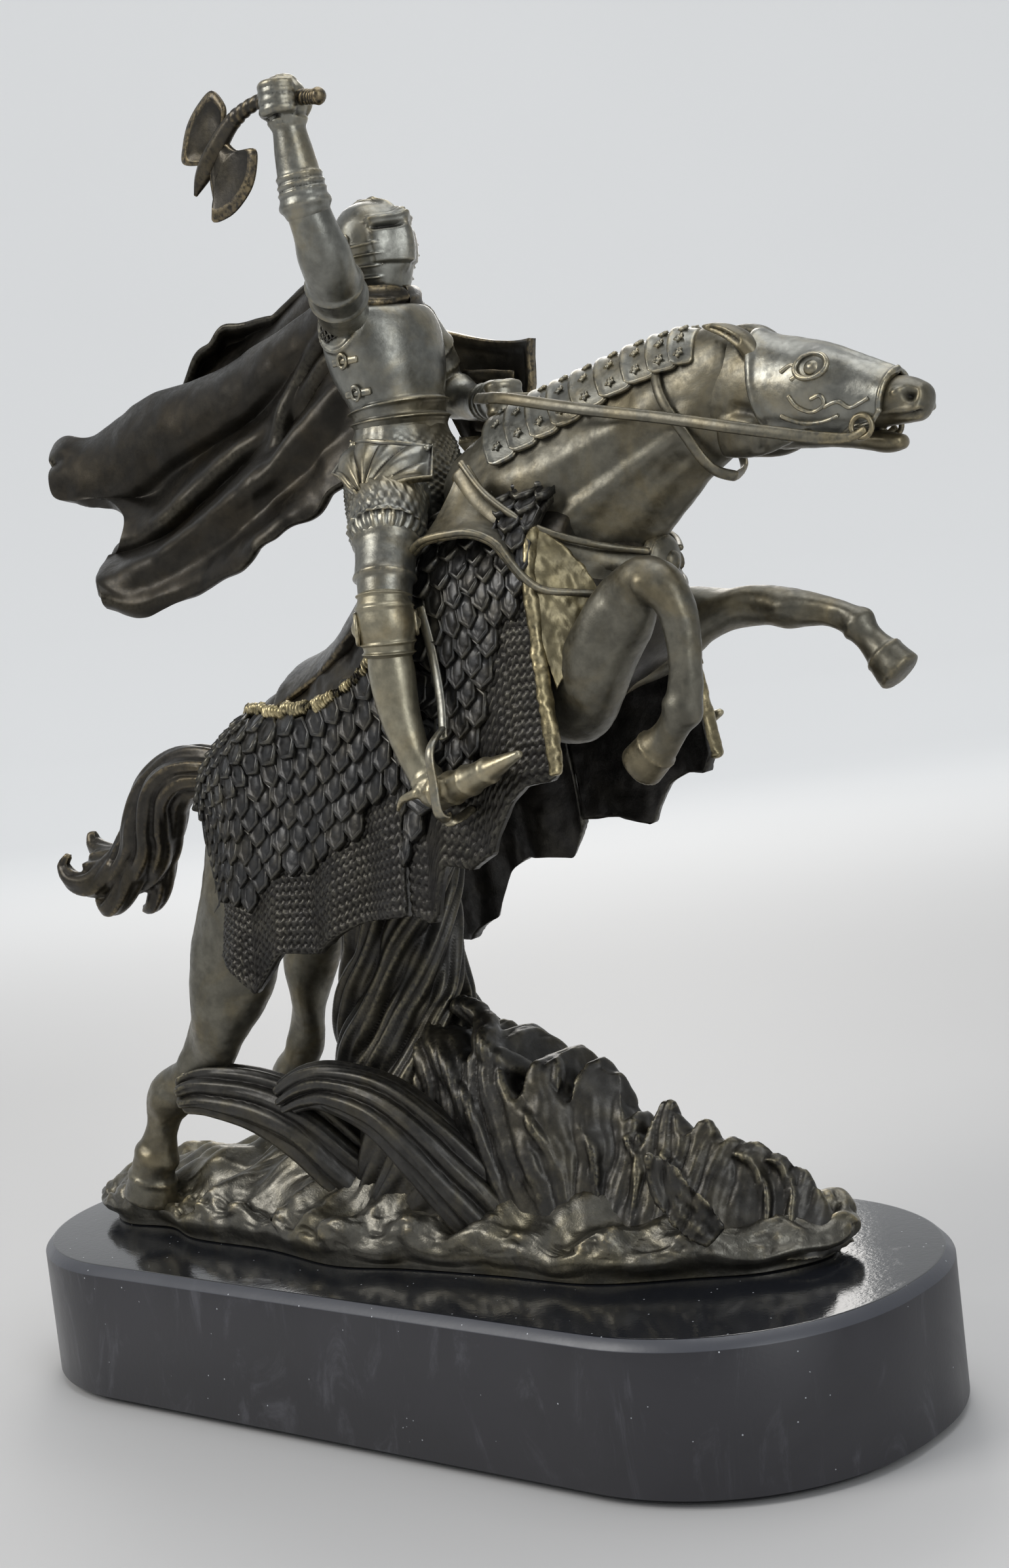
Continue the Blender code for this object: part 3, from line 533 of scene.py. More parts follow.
def read_points(piece: bpy.types.Object) -> Array:
    """The mesh's points in millimetres."""
    flat = np.zeros(len(piece.data.vertices) * 3, np.float32)
    piece.data.vertices.foreach_get("co", flat)
    return flat.reshape(-1, 3).astype(float) / MM


def write_points(piece: bpy.types.Object, points: Array) -> None:
    """Moves the mesh's points."""
    piece.data.vertices.foreach_set("co", (points * MM).astype(np.float32).ravel())
    piece.data.update()


def read_edges(mesh: bpy.types.Mesh) -> Array:
    """Pairs of neighbouring points."""
    flat = np.zeros(len(mesh.edges) * 2, np.int32)
    mesh.edges.foreach_get("vertices", flat)
    return flat.reshape(-1, 2)


def read_normals(mesh: bpy.types.Mesh) -> Array:
    """The points' normals."""
    flat = np.zeros(len(mesh.vertices) * 3, np.float32)
    mesh.vertex_normals.foreach_get("vector", flat)
    return flat.reshape(-1, 3).astype(float)


def neighbour_mean(values: Array, edges: Array) -> Array:
    """The mean of each point's neighbours' values."""
    columns = values.reshape(len(values), -1)
    count = np.bincount(edges.ravel(), minlength=len(values))
    result = np.empty_like(columns)
    ends = np.concatenate((edges[:, 0], edges[:, 1]))
    others = np.concatenate((edges[:, 1], edges[:, 0]))
    for k in range(columns.shape[1]):
        result[:, k] = (
            np.bincount(ends, weights=columns[others, k], minlength=len(values)) / np.maximum(count, 1)
        )
    return result.reshape(values.shape)


def sculpt(piece: bpy.types.Object, relief: Callable[[Array], Array]) -> None:
    """Moves the surface out along its normals by what relief says for each place."""
    places = read_points(piece)
    write_points(piece, places + read_normals(piece.data) * relief(places)[:, None])


def mark_relief(piece: bpy.types.Object, reach: int = 2, gain: float = 1.0) -> None:
    """Stores where the surface stands proud ("rub") and where it is sunk ("dirt"), for the patina.

    Args:
        piece: The piece, with its mesh final.
        reach: How many neighbours away the curvature is blurred over.
        gain: How readily a curved place counts as an edge.
    """
    mesh = piece.data
    places, normals, edges = read_points(piece), read_normals(mesh), read_edges(mesh)
    length = np.linalg.norm(places[edges[:, 0]] - places[edges[:, 1]], axis=1)
    around = np.bincount(edges.ravel(), weights=np.repeat(length, 2), minlength=len(places))
    around /= np.maximum(np.bincount(edges.ravel(), minlength=len(places)), 1)
    pull = np.einsum("ij,ij->i", places - neighbour_mean(places, edges), normals)
    bend = np.clip(pull / np.maximum(around, 0.12) ** 1.5, -2, 2)
    for _ in range(reach):
        bend = 0.4 * bend + 0.6 * neighbour_mean(bend, edges)
    for name, value in (("rub", ease(bend * gain, 0.03, 0.30)), ("dirt", ease(-bend * gain, 0.02, 0.25))):
        layer = mesh.attributes.get(name) or mesh.attributes.new(name, "FLOAT", "POINT")
        layer.data.foreach_set("value", value.astype(np.float32))


def dress(
    piece: bpy.types.Object,
    material: bpy.types.Material,
    nodes: Sequence[str],
    gain: float = 1.0,
    reach: int = 2,
) -> bpy.types.Object:
    """Gives a finished mesh its finish, and its place in the frame.

    Args:
        piece: The piece, with its mesh final.
        material: Its finish.
        nodes: The frame's nodes that it stands for.
        gain: How readily its edges count as rubbed.
        reach: How far the rub is blurred.

    Returns:
        The same piece.
    """
    mark_relief(piece, reach, gain)
    piece.data.materials.clear()
    piece.data.materials.append(material)
    piece.data.polygons.foreach_set("use_smooth", np.ones(len(piece.data.polygons), bool))
    piece.data.update()
    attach(piece, BODY)
    if nodes:
        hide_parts(*nodes)
    log.info("%s: %d faces", piece.name, len(piece.data.polygons))
    return piece


# ---------------------------------------------------------------- finishes


class Bench:
    """Adds nodes to one tree and links them."""

    def __init__(self, tree: bpy.types.NodeTree) -> None:
        """Keeps the tree."""
        self.tree = tree

    def add(self, kind: str, **settings: object) -> bpy.types.Node:
        """A new node with these settings."""
        node = self.tree.nodes.new(kind)
        for name, value in settings.items():
            setattr(node, name, value)
        return node

    def put(self, value: object, socket: bpy.types.NodeSocket) -> None:
        """Links a socket, or sets its value."""
        if isinstance(value, bpy.types.NodeSocket):
            self.tree.links.new(value, socket)
        else:
            socket.default_value = value

    def here(self) -> bpy.types.NodeSocket:
        """The place in the object's own axes."""
        return self.add("ShaderNodeTexCoord").outputs["Object"]

    def relief(self, shader: bpy.types.Node, height: object, strength: float, depth: float) -> None:
        """Bumps a finish by a height."""
        node = self.add("ShaderNodeBump")
        node.inputs["Strength"].default_value = strength
        node.inputs["Distance"].default_value = depth
        self.put(height, node.inputs["Height"])
        self.put(node.outputs["Normal"], shader.inputs["Normal"])

    def math(self, operation: str, a: object, b: object = 0.0, clamp: bool = False) -> bpy.types.NodeSocket:
        """One sum of two numbers."""
        node = self.add("ShaderNodeMath", operation=operation, use_clamp=clamp)
        self.put(a, node.inputs[0])
        self.put(b, node.inputs[1])
        return node.outputs[0]

    def mix(self, share: object, a: object, b: object, blend: str = "MIX") -> bpy.types.NodeSocket:
        """One mix of two colours."""
        node = self.add("ShaderNodeMix", data_type="RGBA", blend_type=blend)
        self.put(share, node.inputs["Factor"])
        self.put(a, node.inputs[6])
        self.put(b, node.inputs[7])
        return node.outputs[2]

    def noise(
        self, vector: object, scale: object, detail: float = 4.0, rough: float = 0.55, warp: float = 0.0
    ) -> bpy.types.NodeSocket:
        """A noise texture's value."""
        node = self.add("ShaderNodeTexNoise")
        self.put(vector, node.inputs["Vector"])
        self.put(scale, node.inputs["Scale"])
        node.inputs["Detail"].default_value = detail
        node.inputs["Roughness"].default_value = rough
        node.inputs["Distortion"].default_value = warp
        return node.outputs["Fac"]

    def remap(
        self, value: object, low: float, high: float, to_low: float = 0.0, to_high: float = 1.0
    ) -> bpy.types.NodeSocket:
        """A value moved from one range to another, and held inside it."""
        node = self.add("ShaderNodeMapRange", interpolation_type="SMOOTHSTEP")
        self.put(value, node.inputs["Value"])
        for name, number in (("From Min", low), ("From Max", high), ("To Min", to_low), ("To Max", to_high)):
            node.inputs[name].default_value = number
        return node.outputs["Result"]


def new_group(
    name: str, takes: Sequence[tuple[str, str, object]], gives: Sequence[tuple[str, str]]
) -> tuple[Bench, bpy.types.Node, bpy.types.Node]:
    """A shader node group with named sockets.

    Args:
        name: The group's name.
        takes: Name, socket type and default of each input.
        gives: Name and socket type of each output.

    Returns:
        Its bench, its input node and its output node.
    """
    tree = bpy.data.node_groups.new(name, "ShaderNodeTree")
    for title, kind, default in takes:
        tree.interface.new_socket(title, in_out="INPUT", socket_type=kind).default_value = default
    for title, kind in gives:
        tree.interface.new_socket(title, in_out="OUTPUT", socket_type=kind)
    bench = Bench(tree)
    return bench, bench.add("NodeGroupInput"), bench.add("NodeGroupOutput")


COLOUR, NUMBER = "NodeSocketColor", "NodeSocketFloat"


def patina_group() -> bpy.types.NodeTree:
    """Chemically browned bronze: dark in the hollows, mottled on the faces, rubbed to brass on edges."""
    bench, taken, given = new_group(
        "bronze_patina",
        [
            ("Hollow", COLOUR, (0.02, 0.018, 0.015, 1)),
            ("Face", COLOUR, (0.08, 0.07, 0.055, 1)),
            ("Tinge", COLOUR, (0.12, 0.10, 0.05, 1)),
            ("Rubbed", COLOUR, (0.4, 0.3, 0.15, 1)),
            ("Rub", NUMBER, 0.8),
            ("Tinge Share", NUMBER, 0.5),
            ("Patch Size", NUMBER, 60.0),
            ("Gloss", NUMBER, 0.36),
        ],
        [("Colour", COLOUR), ("Roughness", NUMBER), ("Height", NUMBER)],
    )
    place = bench.here()
    patches = bench.noise(place, taken.outputs["Patch Size"], 5.0, 0.6, 0.6)
    fine = bench.noise(place, 900.0, 3.0, 0.6)
    grain = bench.noise(place, 2600.0, 2.0, 0.5)
    rub = bench.add("ShaderNodeAttribute", attribute_name="rub").outputs["Fac"]
    dirt = bench.add("ShaderNodeAttribute", attribute_name="dirt").outputs["Fac"]
    tinge = bench.math("MULTIPLY", bench.remap(patches, 0.42, 0.68), taken.outputs["Tinge Share"], True)
    colour = bench.mix(tinge, taken.outputs["Face"], taken.outputs["Tinge"])
    shade = bench.remap(bench.noise(place, 210.0, 4.0, 0.6), 0.3, 0.7, 0.72, 1.18)
    colour = bench.mix(1.0, colour, shade, "MULTIPLY")
    depth = bench.math("MULTIPLY", dirt, bench.remap(fine, 0.25, 0.6, 0.75, 1.0), True)
    colour = bench.mix(depth, colour, taken.outputs["Hollow"])
    worn = bench.math("MULTIPLY", rub, bench.remap(fine, 0.33, 0.62), True)
    worn = bench.math("MULTIPLY", worn, bench.remap(patches, 0.3, 0.6, 0.35, 1.0), True)
    worn = bench.math("MULTIPLY", worn, taken.outputs["Rub"], True)
    colour = bench.mix(worn, colour, taken.outputs["Rubbed"])
    rough = bench.math("ADD", taken.outputs["Gloss"], bench.remap(fine, 0.3, 0.7, -0.05, 0.09))
    rough = bench.math("ADD", rough, bench.math("MULTIPLY", depth, 0.22))
    rough = bench.math("SUBTRACT", rough, bench.math("MULTIPLY", worn, 0.06), True)
    height = bench.math("ADD", bench.math("MULTIPLY", fine, 0.8), bench.math("MULTIPLY", grain, 0.3))
    bench.put(colour, given.inputs["Colour"])
    bench.put(rough, given.inputs["Roughness"])
    bench.put(height, given.inputs["Height"])
    return bench.tree


def specks_group() -> bpy.types.NodeTree:
    """Tiny pale specks and thin cloudy scuffs, as masks."""
    bench, taken, given = new_group(
        "specks", [("Spacing", NUMBER, 900.0), ("Size", NUMBER, 0.1)],
        [("Specks", NUMBER), ("Scuffs", NUMBER)]
    )
    place = bench.here()
    cells = bench.add("ShaderNodeTexVoronoi", feature="F1")
    bench.put(place, cells.inputs["Vector"])
    bench.put(taken.outputs["Spacing"], cells.inputs["Scale"])
    near = bench.math("LESS_THAN", cells.outputs["Distance"], taken.outputs["Size"])
    chosen = bench.math("GREATER_THAN", bench.noise(place, 120.0, 2.0), 0.56)
    bench.put(bench.math("MULTIPLY", near, chosen), given.inputs["Specks"])
    stretched = bench.add("ShaderNodeMapping")
    stretched.inputs["Scale"].default_value = (1.0, 1.0, 0.35)
    stretched.inputs["Rotation"].default_value = (0.4, 0.5, 0.3)
    bench.put(place, stretched.inputs["Vector"])
    scuffs = bench.noise(stretched.outputs["Vector"], 60.0, 8.0, 0.72, 1.6)
    bench.put(bench.remap(scuffs, 0.52, 0.72), given.inputs["Scuffs"])
    return bench.tree


def new_material(name: str) -> tuple[bpy.types.Material, bpy.types.Node, Bench]:
    """A material, its Principled node, and a bench on its tree."""
    made = bpy.data.materials.new(name)
    made.use_nodes = True
    return made, made.node_tree.nodes["Principled BSDF"], Bench(made.node_tree)


Colour = tuple[float, float, float, float]
PIT_DEPTH = 0.0004
POLISH_DEPTH = 0.0005


@dataclass(frozen=True)
class BronzeFinish:
    """A patinated bronze: its colours from hollow to rubbed edge, and how it shines."""

    name: str
    hollow: Colour
    face: Colour
    tinge: Colour
    rubbed: Colour
    rub: float = 0.85
    tinge_share: float = 0.5
    patch_size: float = 60.0
    gloss: float = 0.36
    metallic: float = 0.88
    pitting: float = 0.12

    def material(self, patina: bpy.types.NodeTree) -> bpy.types.Material:
        """Builds the finish around the shared patina."""
        made, shader, bench = new_material(self.name)
        group = bench.add("ShaderNodeGroup", node_tree=patina)
        for title in ("Hollow", "Face", "Tinge", "Rubbed", "Rub", "Tinge Share", "Patch Size", "Gloss"):
            group.inputs[title].default_value = getattr(self, title.lower().replace(" ", "_"))
        bench.relief(shader, group.outputs["Height"], self.pitting, PIT_DEPTH)
        bench.put(group.outputs["Colour"], shader.inputs["Base Color"])
        bench.put(group.outputs["Roughness"], shader.inputs["Roughness"])
        shader.inputs["Metallic"].default_value = self.metallic
        shader.inputs["Coat Weight"].default_value = 0.12
        shader.inputs["Coat Roughness"].default_value = 0.22
        return made


@dataclass(frozen=True)
class MarbleFinish:
    """Black marble: polished on top, satin and scuffed round the sides, with a pale painted highlight on the
    chamfer.
    """

    name: str = "polished_black_marble"
    polished: Colour = (0.012, 0.013, 0.016, 1)
    satin: Colour = (0.015, 0.0145, 0.018, 1)
    # chamfer: a painted highlight, standing in for the bright surroundings reflected in the polished chamfer
    chamfer: Colour = (0.06, 0.063, 0.075, 1)
    speck: Colour = (0.5, 0.52, 0.55, 1)
    top: float = 0.0349
    chamfer_bottom: float = 0.0328

    def material(self, specks: bpy.types.NodeTree) -> bpy.types.Material:
        """Builds the finish around the shared specks."""
        made, shader, bench = new_material(self.name)
        place = bench.here()
        axes = bench.add("ShaderNodeSeparateXYZ")
        bench.put(place, axes.inputs[0])
        on_top = bench.math("GREATER_THAN", axes.outputs["Z"], self.top)
        # mask of the chamfer band, where the painted highlight goes
        chamfer_highlight_mask = bench.math(
            "MULTIPLY", bench.math("GREATER_THAN", axes.outputs["Z"], self.chamfer_bottom),
            bench.math("SUBTRACT", 1.0, on_top)
        )
        group = bench.add("ShaderNodeGroup", node_tree=specks)
        group.inputs["Spacing"].default_value = 420.0
        group.inputs["Size"].default_value = 0.075
        cloud = bench.noise(place, 26.0, 6.0, 0.62, 0.8)
        side = bench.mix(bench.remap(cloud, 0.35, 0.7, 0.0, 0.5), self.satin, (0.027, 0.026, 0.032, 1))
        side = bench.mix(bench.math("MULTIPLY", group.outputs["Scuffs"], 0.35), side, (0.13, 0.13, 0.15, 1))
        colour = bench.mix(on_top, side, self.polished)
        # paints the chamfer highlight over the stone colour
        colour = bench.mix(bench.math("MULTIPLY", chamfer_highlight_mask, 0.8), colour, self.chamfer)
        colour = bench.mix(bench.math("MULTIPLY", group.outputs["Specks"], 0.8), colour, self.speck)
        rough = bench.mix(
            on_top, bench.remap(cloud, 0.3, 0.7, 0.30, 0.44),
            bench.remap(group.outputs["Scuffs"], 0.0, 1.0, 0.09, 0.2)
        )
        bench.relief(shader, bench.noise(place, 900.0, 3.0), 0.06, POLISH_DEPTH)
        bench.put(colour, shader.inputs["Base Color"])
        bench.put(rough, shader.inputs["Roughness"])
        shader.inputs["Specular IOR Level"].default_value = 0.6
        return made


@dataclass(frozen=True)
class FeltFinish:
    """Black felt: matt, with short fibres."""

    name: str = "glued_black_felt"
    colour: Colour = (0.006, 0.006, 0.007, 1)

    def material(self) -> bpy.types.Material:
        """Builds the finish."""
        made, shader, bench = new_material(self.name)
        place = bench.here()
        fibres = bench.noise(place, 2200.0, 4.0, 0.7, 2.0)
        bench.put(bench.mix(fibres, self.colour, (0.022, 0.022, 0.024, 1)), shader.inputs["Base Color"])
        bench.relief(shader, fibres, 0.5, PIT_DEPTH)
        shader.inputs["Roughness"].default_value = 0.95
        shader.inputs["Sheen Weight"].default_value = 0.3
        return made


@dataclass(frozen=True)
class ZincFinish:
    """Bright zinc on steel, with a faint mottle."""

    name: str = "zinc_plated_steel"
    colour: Colour = (0.55, 0.56, 0.58, 1)

    def material(self) -> bpy.types.Material:
        """Builds the finish."""
        made, shader, bench = new_material(self.name)
        place = bench.here()
        spangle = bench.noise(place, 500.0, 3.0, 0.6)
        bench.put(
            bench.mix(bench.remap(spangle, 0.3, 0.7), self.colour, (0.42, 0.41, 0.36, 1)),
            shader.inputs["Base Color"]
        )
        bench.put(bench.remap(spangle, 0.3, 0.7, 0.25, 0.42), shader.inputs["Roughness"])
        shader.inputs["Metallic"].default_value = 1.0
        return made


HOLLOW = (0.014, 0.012, 0.010, 1)

DARK_BRONZE = BronzeFinish(
    "dark_brown_bronze", HOLLOW, (0.045, 0.041, 0.035, 1), (0.065, 0.053, 0.030, 1), (0.32, 0.25, 0.14, 1)
)
CAPE_BRONZE = BronzeFinish(
    "cape_bronze", HOLLOW, (0.026, 0.023, 0.018, 1), (0.040, 0.031, 0.018, 1), (0.13, 0.12, 0.09, 1),
    rub=0.6, gloss=0.42,
    patch_size=45.0, tinge_share=0.55,
)
GROUND_BRONZE = BronzeFinish(
    "rocky_bronze", HOLLOW, (0.120, 0.114, 0.096, 1), (0.17, 0.145, 0.078, 1), (0.52, 0.42, 0.22, 1),
    rub=1.0, pitting=0.3
)
GRASS_BRONZE = BronzeFinish(
    "grass_bronze", HOLLOW, (0.052, 0.050, 0.046, 1), (0.085, 0.073, 0.045, 1), (0.26, 0.23, 0.15, 1),
    gloss=0.42
)
WARM_BRONZE = BronzeFinish(
    "olive_bronze", HOLLOW, (0.140, 0.132, 0.105, 1), (0.19, 0.15, 0.075, 1), (0.42, 0.35, 0.21, 1),
    rub=0.6, gloss=0.42
)
GOLDEN_BRONZE = BronzeFinish(
    "golden_bronze", HOLLOW, (0.17, 0.145, 0.085, 1), (0.26, 0.21, 0.09, 1), (0.62, 0.52, 0.30, 1), rub=1.0
)
PLATE_BRONZE = BronzeFinish(
    "armour_bronze", HOLLOW, (0.205, 0.204, 0.180, 1), (0.25, 0.205, 0.115, 1), (0.50, 0.43, 0.28, 1),
    rub=0.7, gloss=0.33,
    patch_size=55.0, tinge_share=0.6,
)
GREAVE_BRONZE = BronzeFinish(
    "greave_bronze", HOLLOW, (0.30, 0.275, 0.20, 1), (0.33, 0.24, 0.10, 1), (0.60, 0.52, 0.34, 1), rub=0.7,
    patch_size=45.0
)
SCALE_BRONZE = BronzeFinish(
    "scale_bronze", HOLLOW, (0.050, 0.050, 0.050, 1), (0.062, 0.054, 0.038, 1), (0.25, 0.23, 0.17, 1),
    rub=0.6, patch_size=120.0
)
MAIL_BRONZE = BronzeFinish(
    "mail_bronze", HOLLOW, (0.032, 0.030, 0.028, 1), (0.045, 0.040, 0.029, 1), (0.17, 0.16, 0.125, 1),
    rub=0.5, gloss=0.42, pitting=0.3
)


class Palette:
    """Every finish, built once."""

    def __init__(self) -> None:
        """Builds the shared groups and the materials."""
        patina = patina_group()
        self.dark = DARK_BRONZE.material(patina)
        self.cape = CAPE_BRONZE.material(patina)
        self.ground = GROUND_BRONZE.material(patina)
        self.grass = GRASS_BRONZE.material(patina)
        self.warm = WARM_BRONZE.material(patina)
        self.gold = GOLDEN_BRONZE.material(patina)
        self.plate = PLATE_BRONZE.material(patina)
        self.greave = GREAVE_BRONZE.material(patina)
        self.scale = SCALE_BRONZE.material(patina)
        self.mail = MAIL_BRONZE.material(patina)
        self.marble = MarbleFinish().material(specks_group())
        self.felt = FeltFinish().material()
        self.zinc = ZincFinish().material()


# ---------------------------------------------------------------- repeats laid out by Geometry Nodes


def repeat_tree(name: str) -> bpy.types.NodeTree:
    """A tree that sets one pattern piece on every point, turned and sized by the point's own attributes.

    Args:
        name: The tree's name.

    Returns:
        The tree, with the inputs Pattern, Length, Width, Height and Finish.
    """
    tree = bpy.data.node_groups.new(name, "GeometryNodeTree")
    sockets = (
        ("Geometry", "NodeSocketGeometry"), ("Pattern", "NodeSocketObject"), ("Length", NUMBER),
        ("Width", NUMBER),
        ("Height", NUMBER), ("Finish", "NodeSocketMaterial"),
    )
    for title, kind in sockets:
        tree.interface.new_socket(title, in_out="INPUT", socket_type=kind)
    tree.interface.new_socket("Geometry", in_out="OUTPUT", socket_type="NodeSocketGeometry")
    bench = Bench(tree)
    taken, given = bench.add("NodeGroupInput"), bench.add("NodeGroupOutput")
    pattern = bench.add("GeometryNodeObjectInfo", transform_space="ORIGINAL")
    bench.put(taken.outputs["Pattern"], pattern.inputs["Object"])
    turn = bench.add("GeometryNodeInputNamedAttribute", data_type="FLOAT_VECTOR")
    turn.inputs["Name"].default_value = "turn"
    grow = bench.add("GeometryNodeInputNamedAttribute", data_type="FLOAT_VECTOR")
    grow.inputs["Name"].default_value = "grow"
    size = bench.add("ShaderNodeCombineXYZ")
    for axis, title in zip("XYZ", ("Width", "Length", "Height")):
        bench.put(taken.outputs[title], size.inputs[axis])
    sized = bench.add("ShaderNodeVectorMath", operation="MULTIPLY")
    bench.put(size.outputs[0], sized.inputs[0])
    bench.put(grow.outputs[0], sized.inputs[1])
    euler = bench.add("FunctionNodeEulerToRotation")
    bench.put(turn.outputs[0], euler.inputs[0])
    copies = bench.add("GeometryNodeInstanceOnPoints")
    bench.put(taken.outputs["Geometry"], copies.inputs["Points"])
    bench.put(pattern.outputs["Geometry"], copies.inputs["Instance"])
    bench.put(euler.outputs[0], copies.inputs["Rotation"])
    bench.put(sized.outputs[0], copies.inputs["Scale"])
    real = bench.add("GeometryNodeRealizeInstances")
    bench.put(copies.outputs[0], real.inputs[0])
    painted = bench.add("GeometryNodeSetMaterial")
    bench.put(real.outputs[0], painted.inputs["Geometry"])
    bench.put(taken.outputs["Finish"], painted.inputs["Material"])
    bench.put(painted.outputs[0], given.inputs[0])
    return tree


@dataclass
class Setting:
    """Where one copy of a pattern goes: its place, its own Y and Z directions, and its size."""

    place: Array
    along: Array
    facing: Array
    size: tuple[float, float, float] = (1.0, 1.0, 1.0)


class Repeater:
    """Sets a pattern piece at many places with a node tree, as one plain mesh."""

    def __init__(self, tree: bpy.types.NodeTree) -> None:
        """Keeps the tree."""
        self.tree = tree

    def lay(
        self,
        name: str,
        pattern: Sequence[Shell],
        settings: Sequence[Setting],
        size: tuple[float, float, float],
        finish: bpy.types.Material,
    ) -> bpy.types.Object:
        """Lays the pattern out.

        Args:
            name: The piece's name.
            pattern: The pattern at size one, about its own origin.
            settings: Where the copies go.
            size: Width, length and height in millimetres.
            finish: The material of all the copies.

        Returns:
            The object, in metres, with no modifier left on it.
        """
        shape = mesh_object(f"{name}_pattern", [Shell(s.points / MM, s.quads, s.triangles) for s in pattern])
        mesh = bpy.data.meshes.new(name)
        mesh.from_pydata([tuple(s.place * MM) for s in settings], [], [])
        turn = mesh.attributes.new("turn", "FLOAT_VECTOR", "POINT")
        grow = mesh.attributes.new("grow", "FLOAT_VECTOR", "POINT")
        turns = []
        for setting in settings:
            facing = unit(setting.facing)
            along = unit(setting.along - facing * (setting.along @ facing))
            across = np.cross(along, facing)
            turns += list(Matrix(np.stack((across, along, facing), -1).tolist()).to_euler("XYZ"))
        turn.data.foreach_set("vector", turns)
        grow.data.foreach_set("vector", [value for s in settings for value in s.size])
        piece = new_object(name, mesh)
        step = piece.modifiers.new("repeat", "NODES")
        step.node_group = self.tree
        width, length, height = (value * MM for value in size)
        for title, value in (
            ("Pattern", shape), ("Length", length), ("Width", width), ("Height", height), ("Finish", finish),
        ):
            socket = next(
                s for s in self.tree.interface.items_tree if s.name == title and s.in_out == "INPUT"
            )
            step[socket.identifier] = value
        take_modifiers(piece)
        for title in ("turn", "grow"):
            layer = piece.data.attributes.get(title)
            if layer:
                piece.data.attributes.remove(layer)
        bpy.data.objects.remove(shape)
        return piece


def scale_pattern() -> list[Shell]:
    """One long six-sided scale with a raised rim and a low middle, pointed at its free end."""
    outline = np.array(((0, -0.5), (0.5, -0.24), (0.5, 0.3), (0.0, 0.5), (-0.5, 0.3), (-0.5, -0.24)))
    rings = []
    for share, height in ((1.0, -0.5), (1.0, 0.55), (0.9, 0.9), (0.74, 0.4), (0.35, 0.62)):
        rings.append(np.column_stack((outline * share, np.full(6, height))))
    return [tube_shell(np.array(rings), 0.0, 0)]


def rosette_pattern() -> list[Shell]:
    """A five-lobed stamped flower at size one."""
    turn = 2 * math.pi * np.arange(20) / 20
    lobes = 0.39 + 0.11 * np.cos(5 * turn)
    rows = []
    for share, height in ((1.0, -0.5), (1.0, 0.5), (0.8, 0.95), (0.45, 0.35), (0.3, 0.9)):
        rows.append(
            np.stack((np.cos(turn) * lobes * share, np.sin(turn) * lobes * share, np.full(20, height)), -1)
        )
    return [tube_shell(np.array(rows), 0.0, 0)]


# ---------------------------------------------------------------- plinth


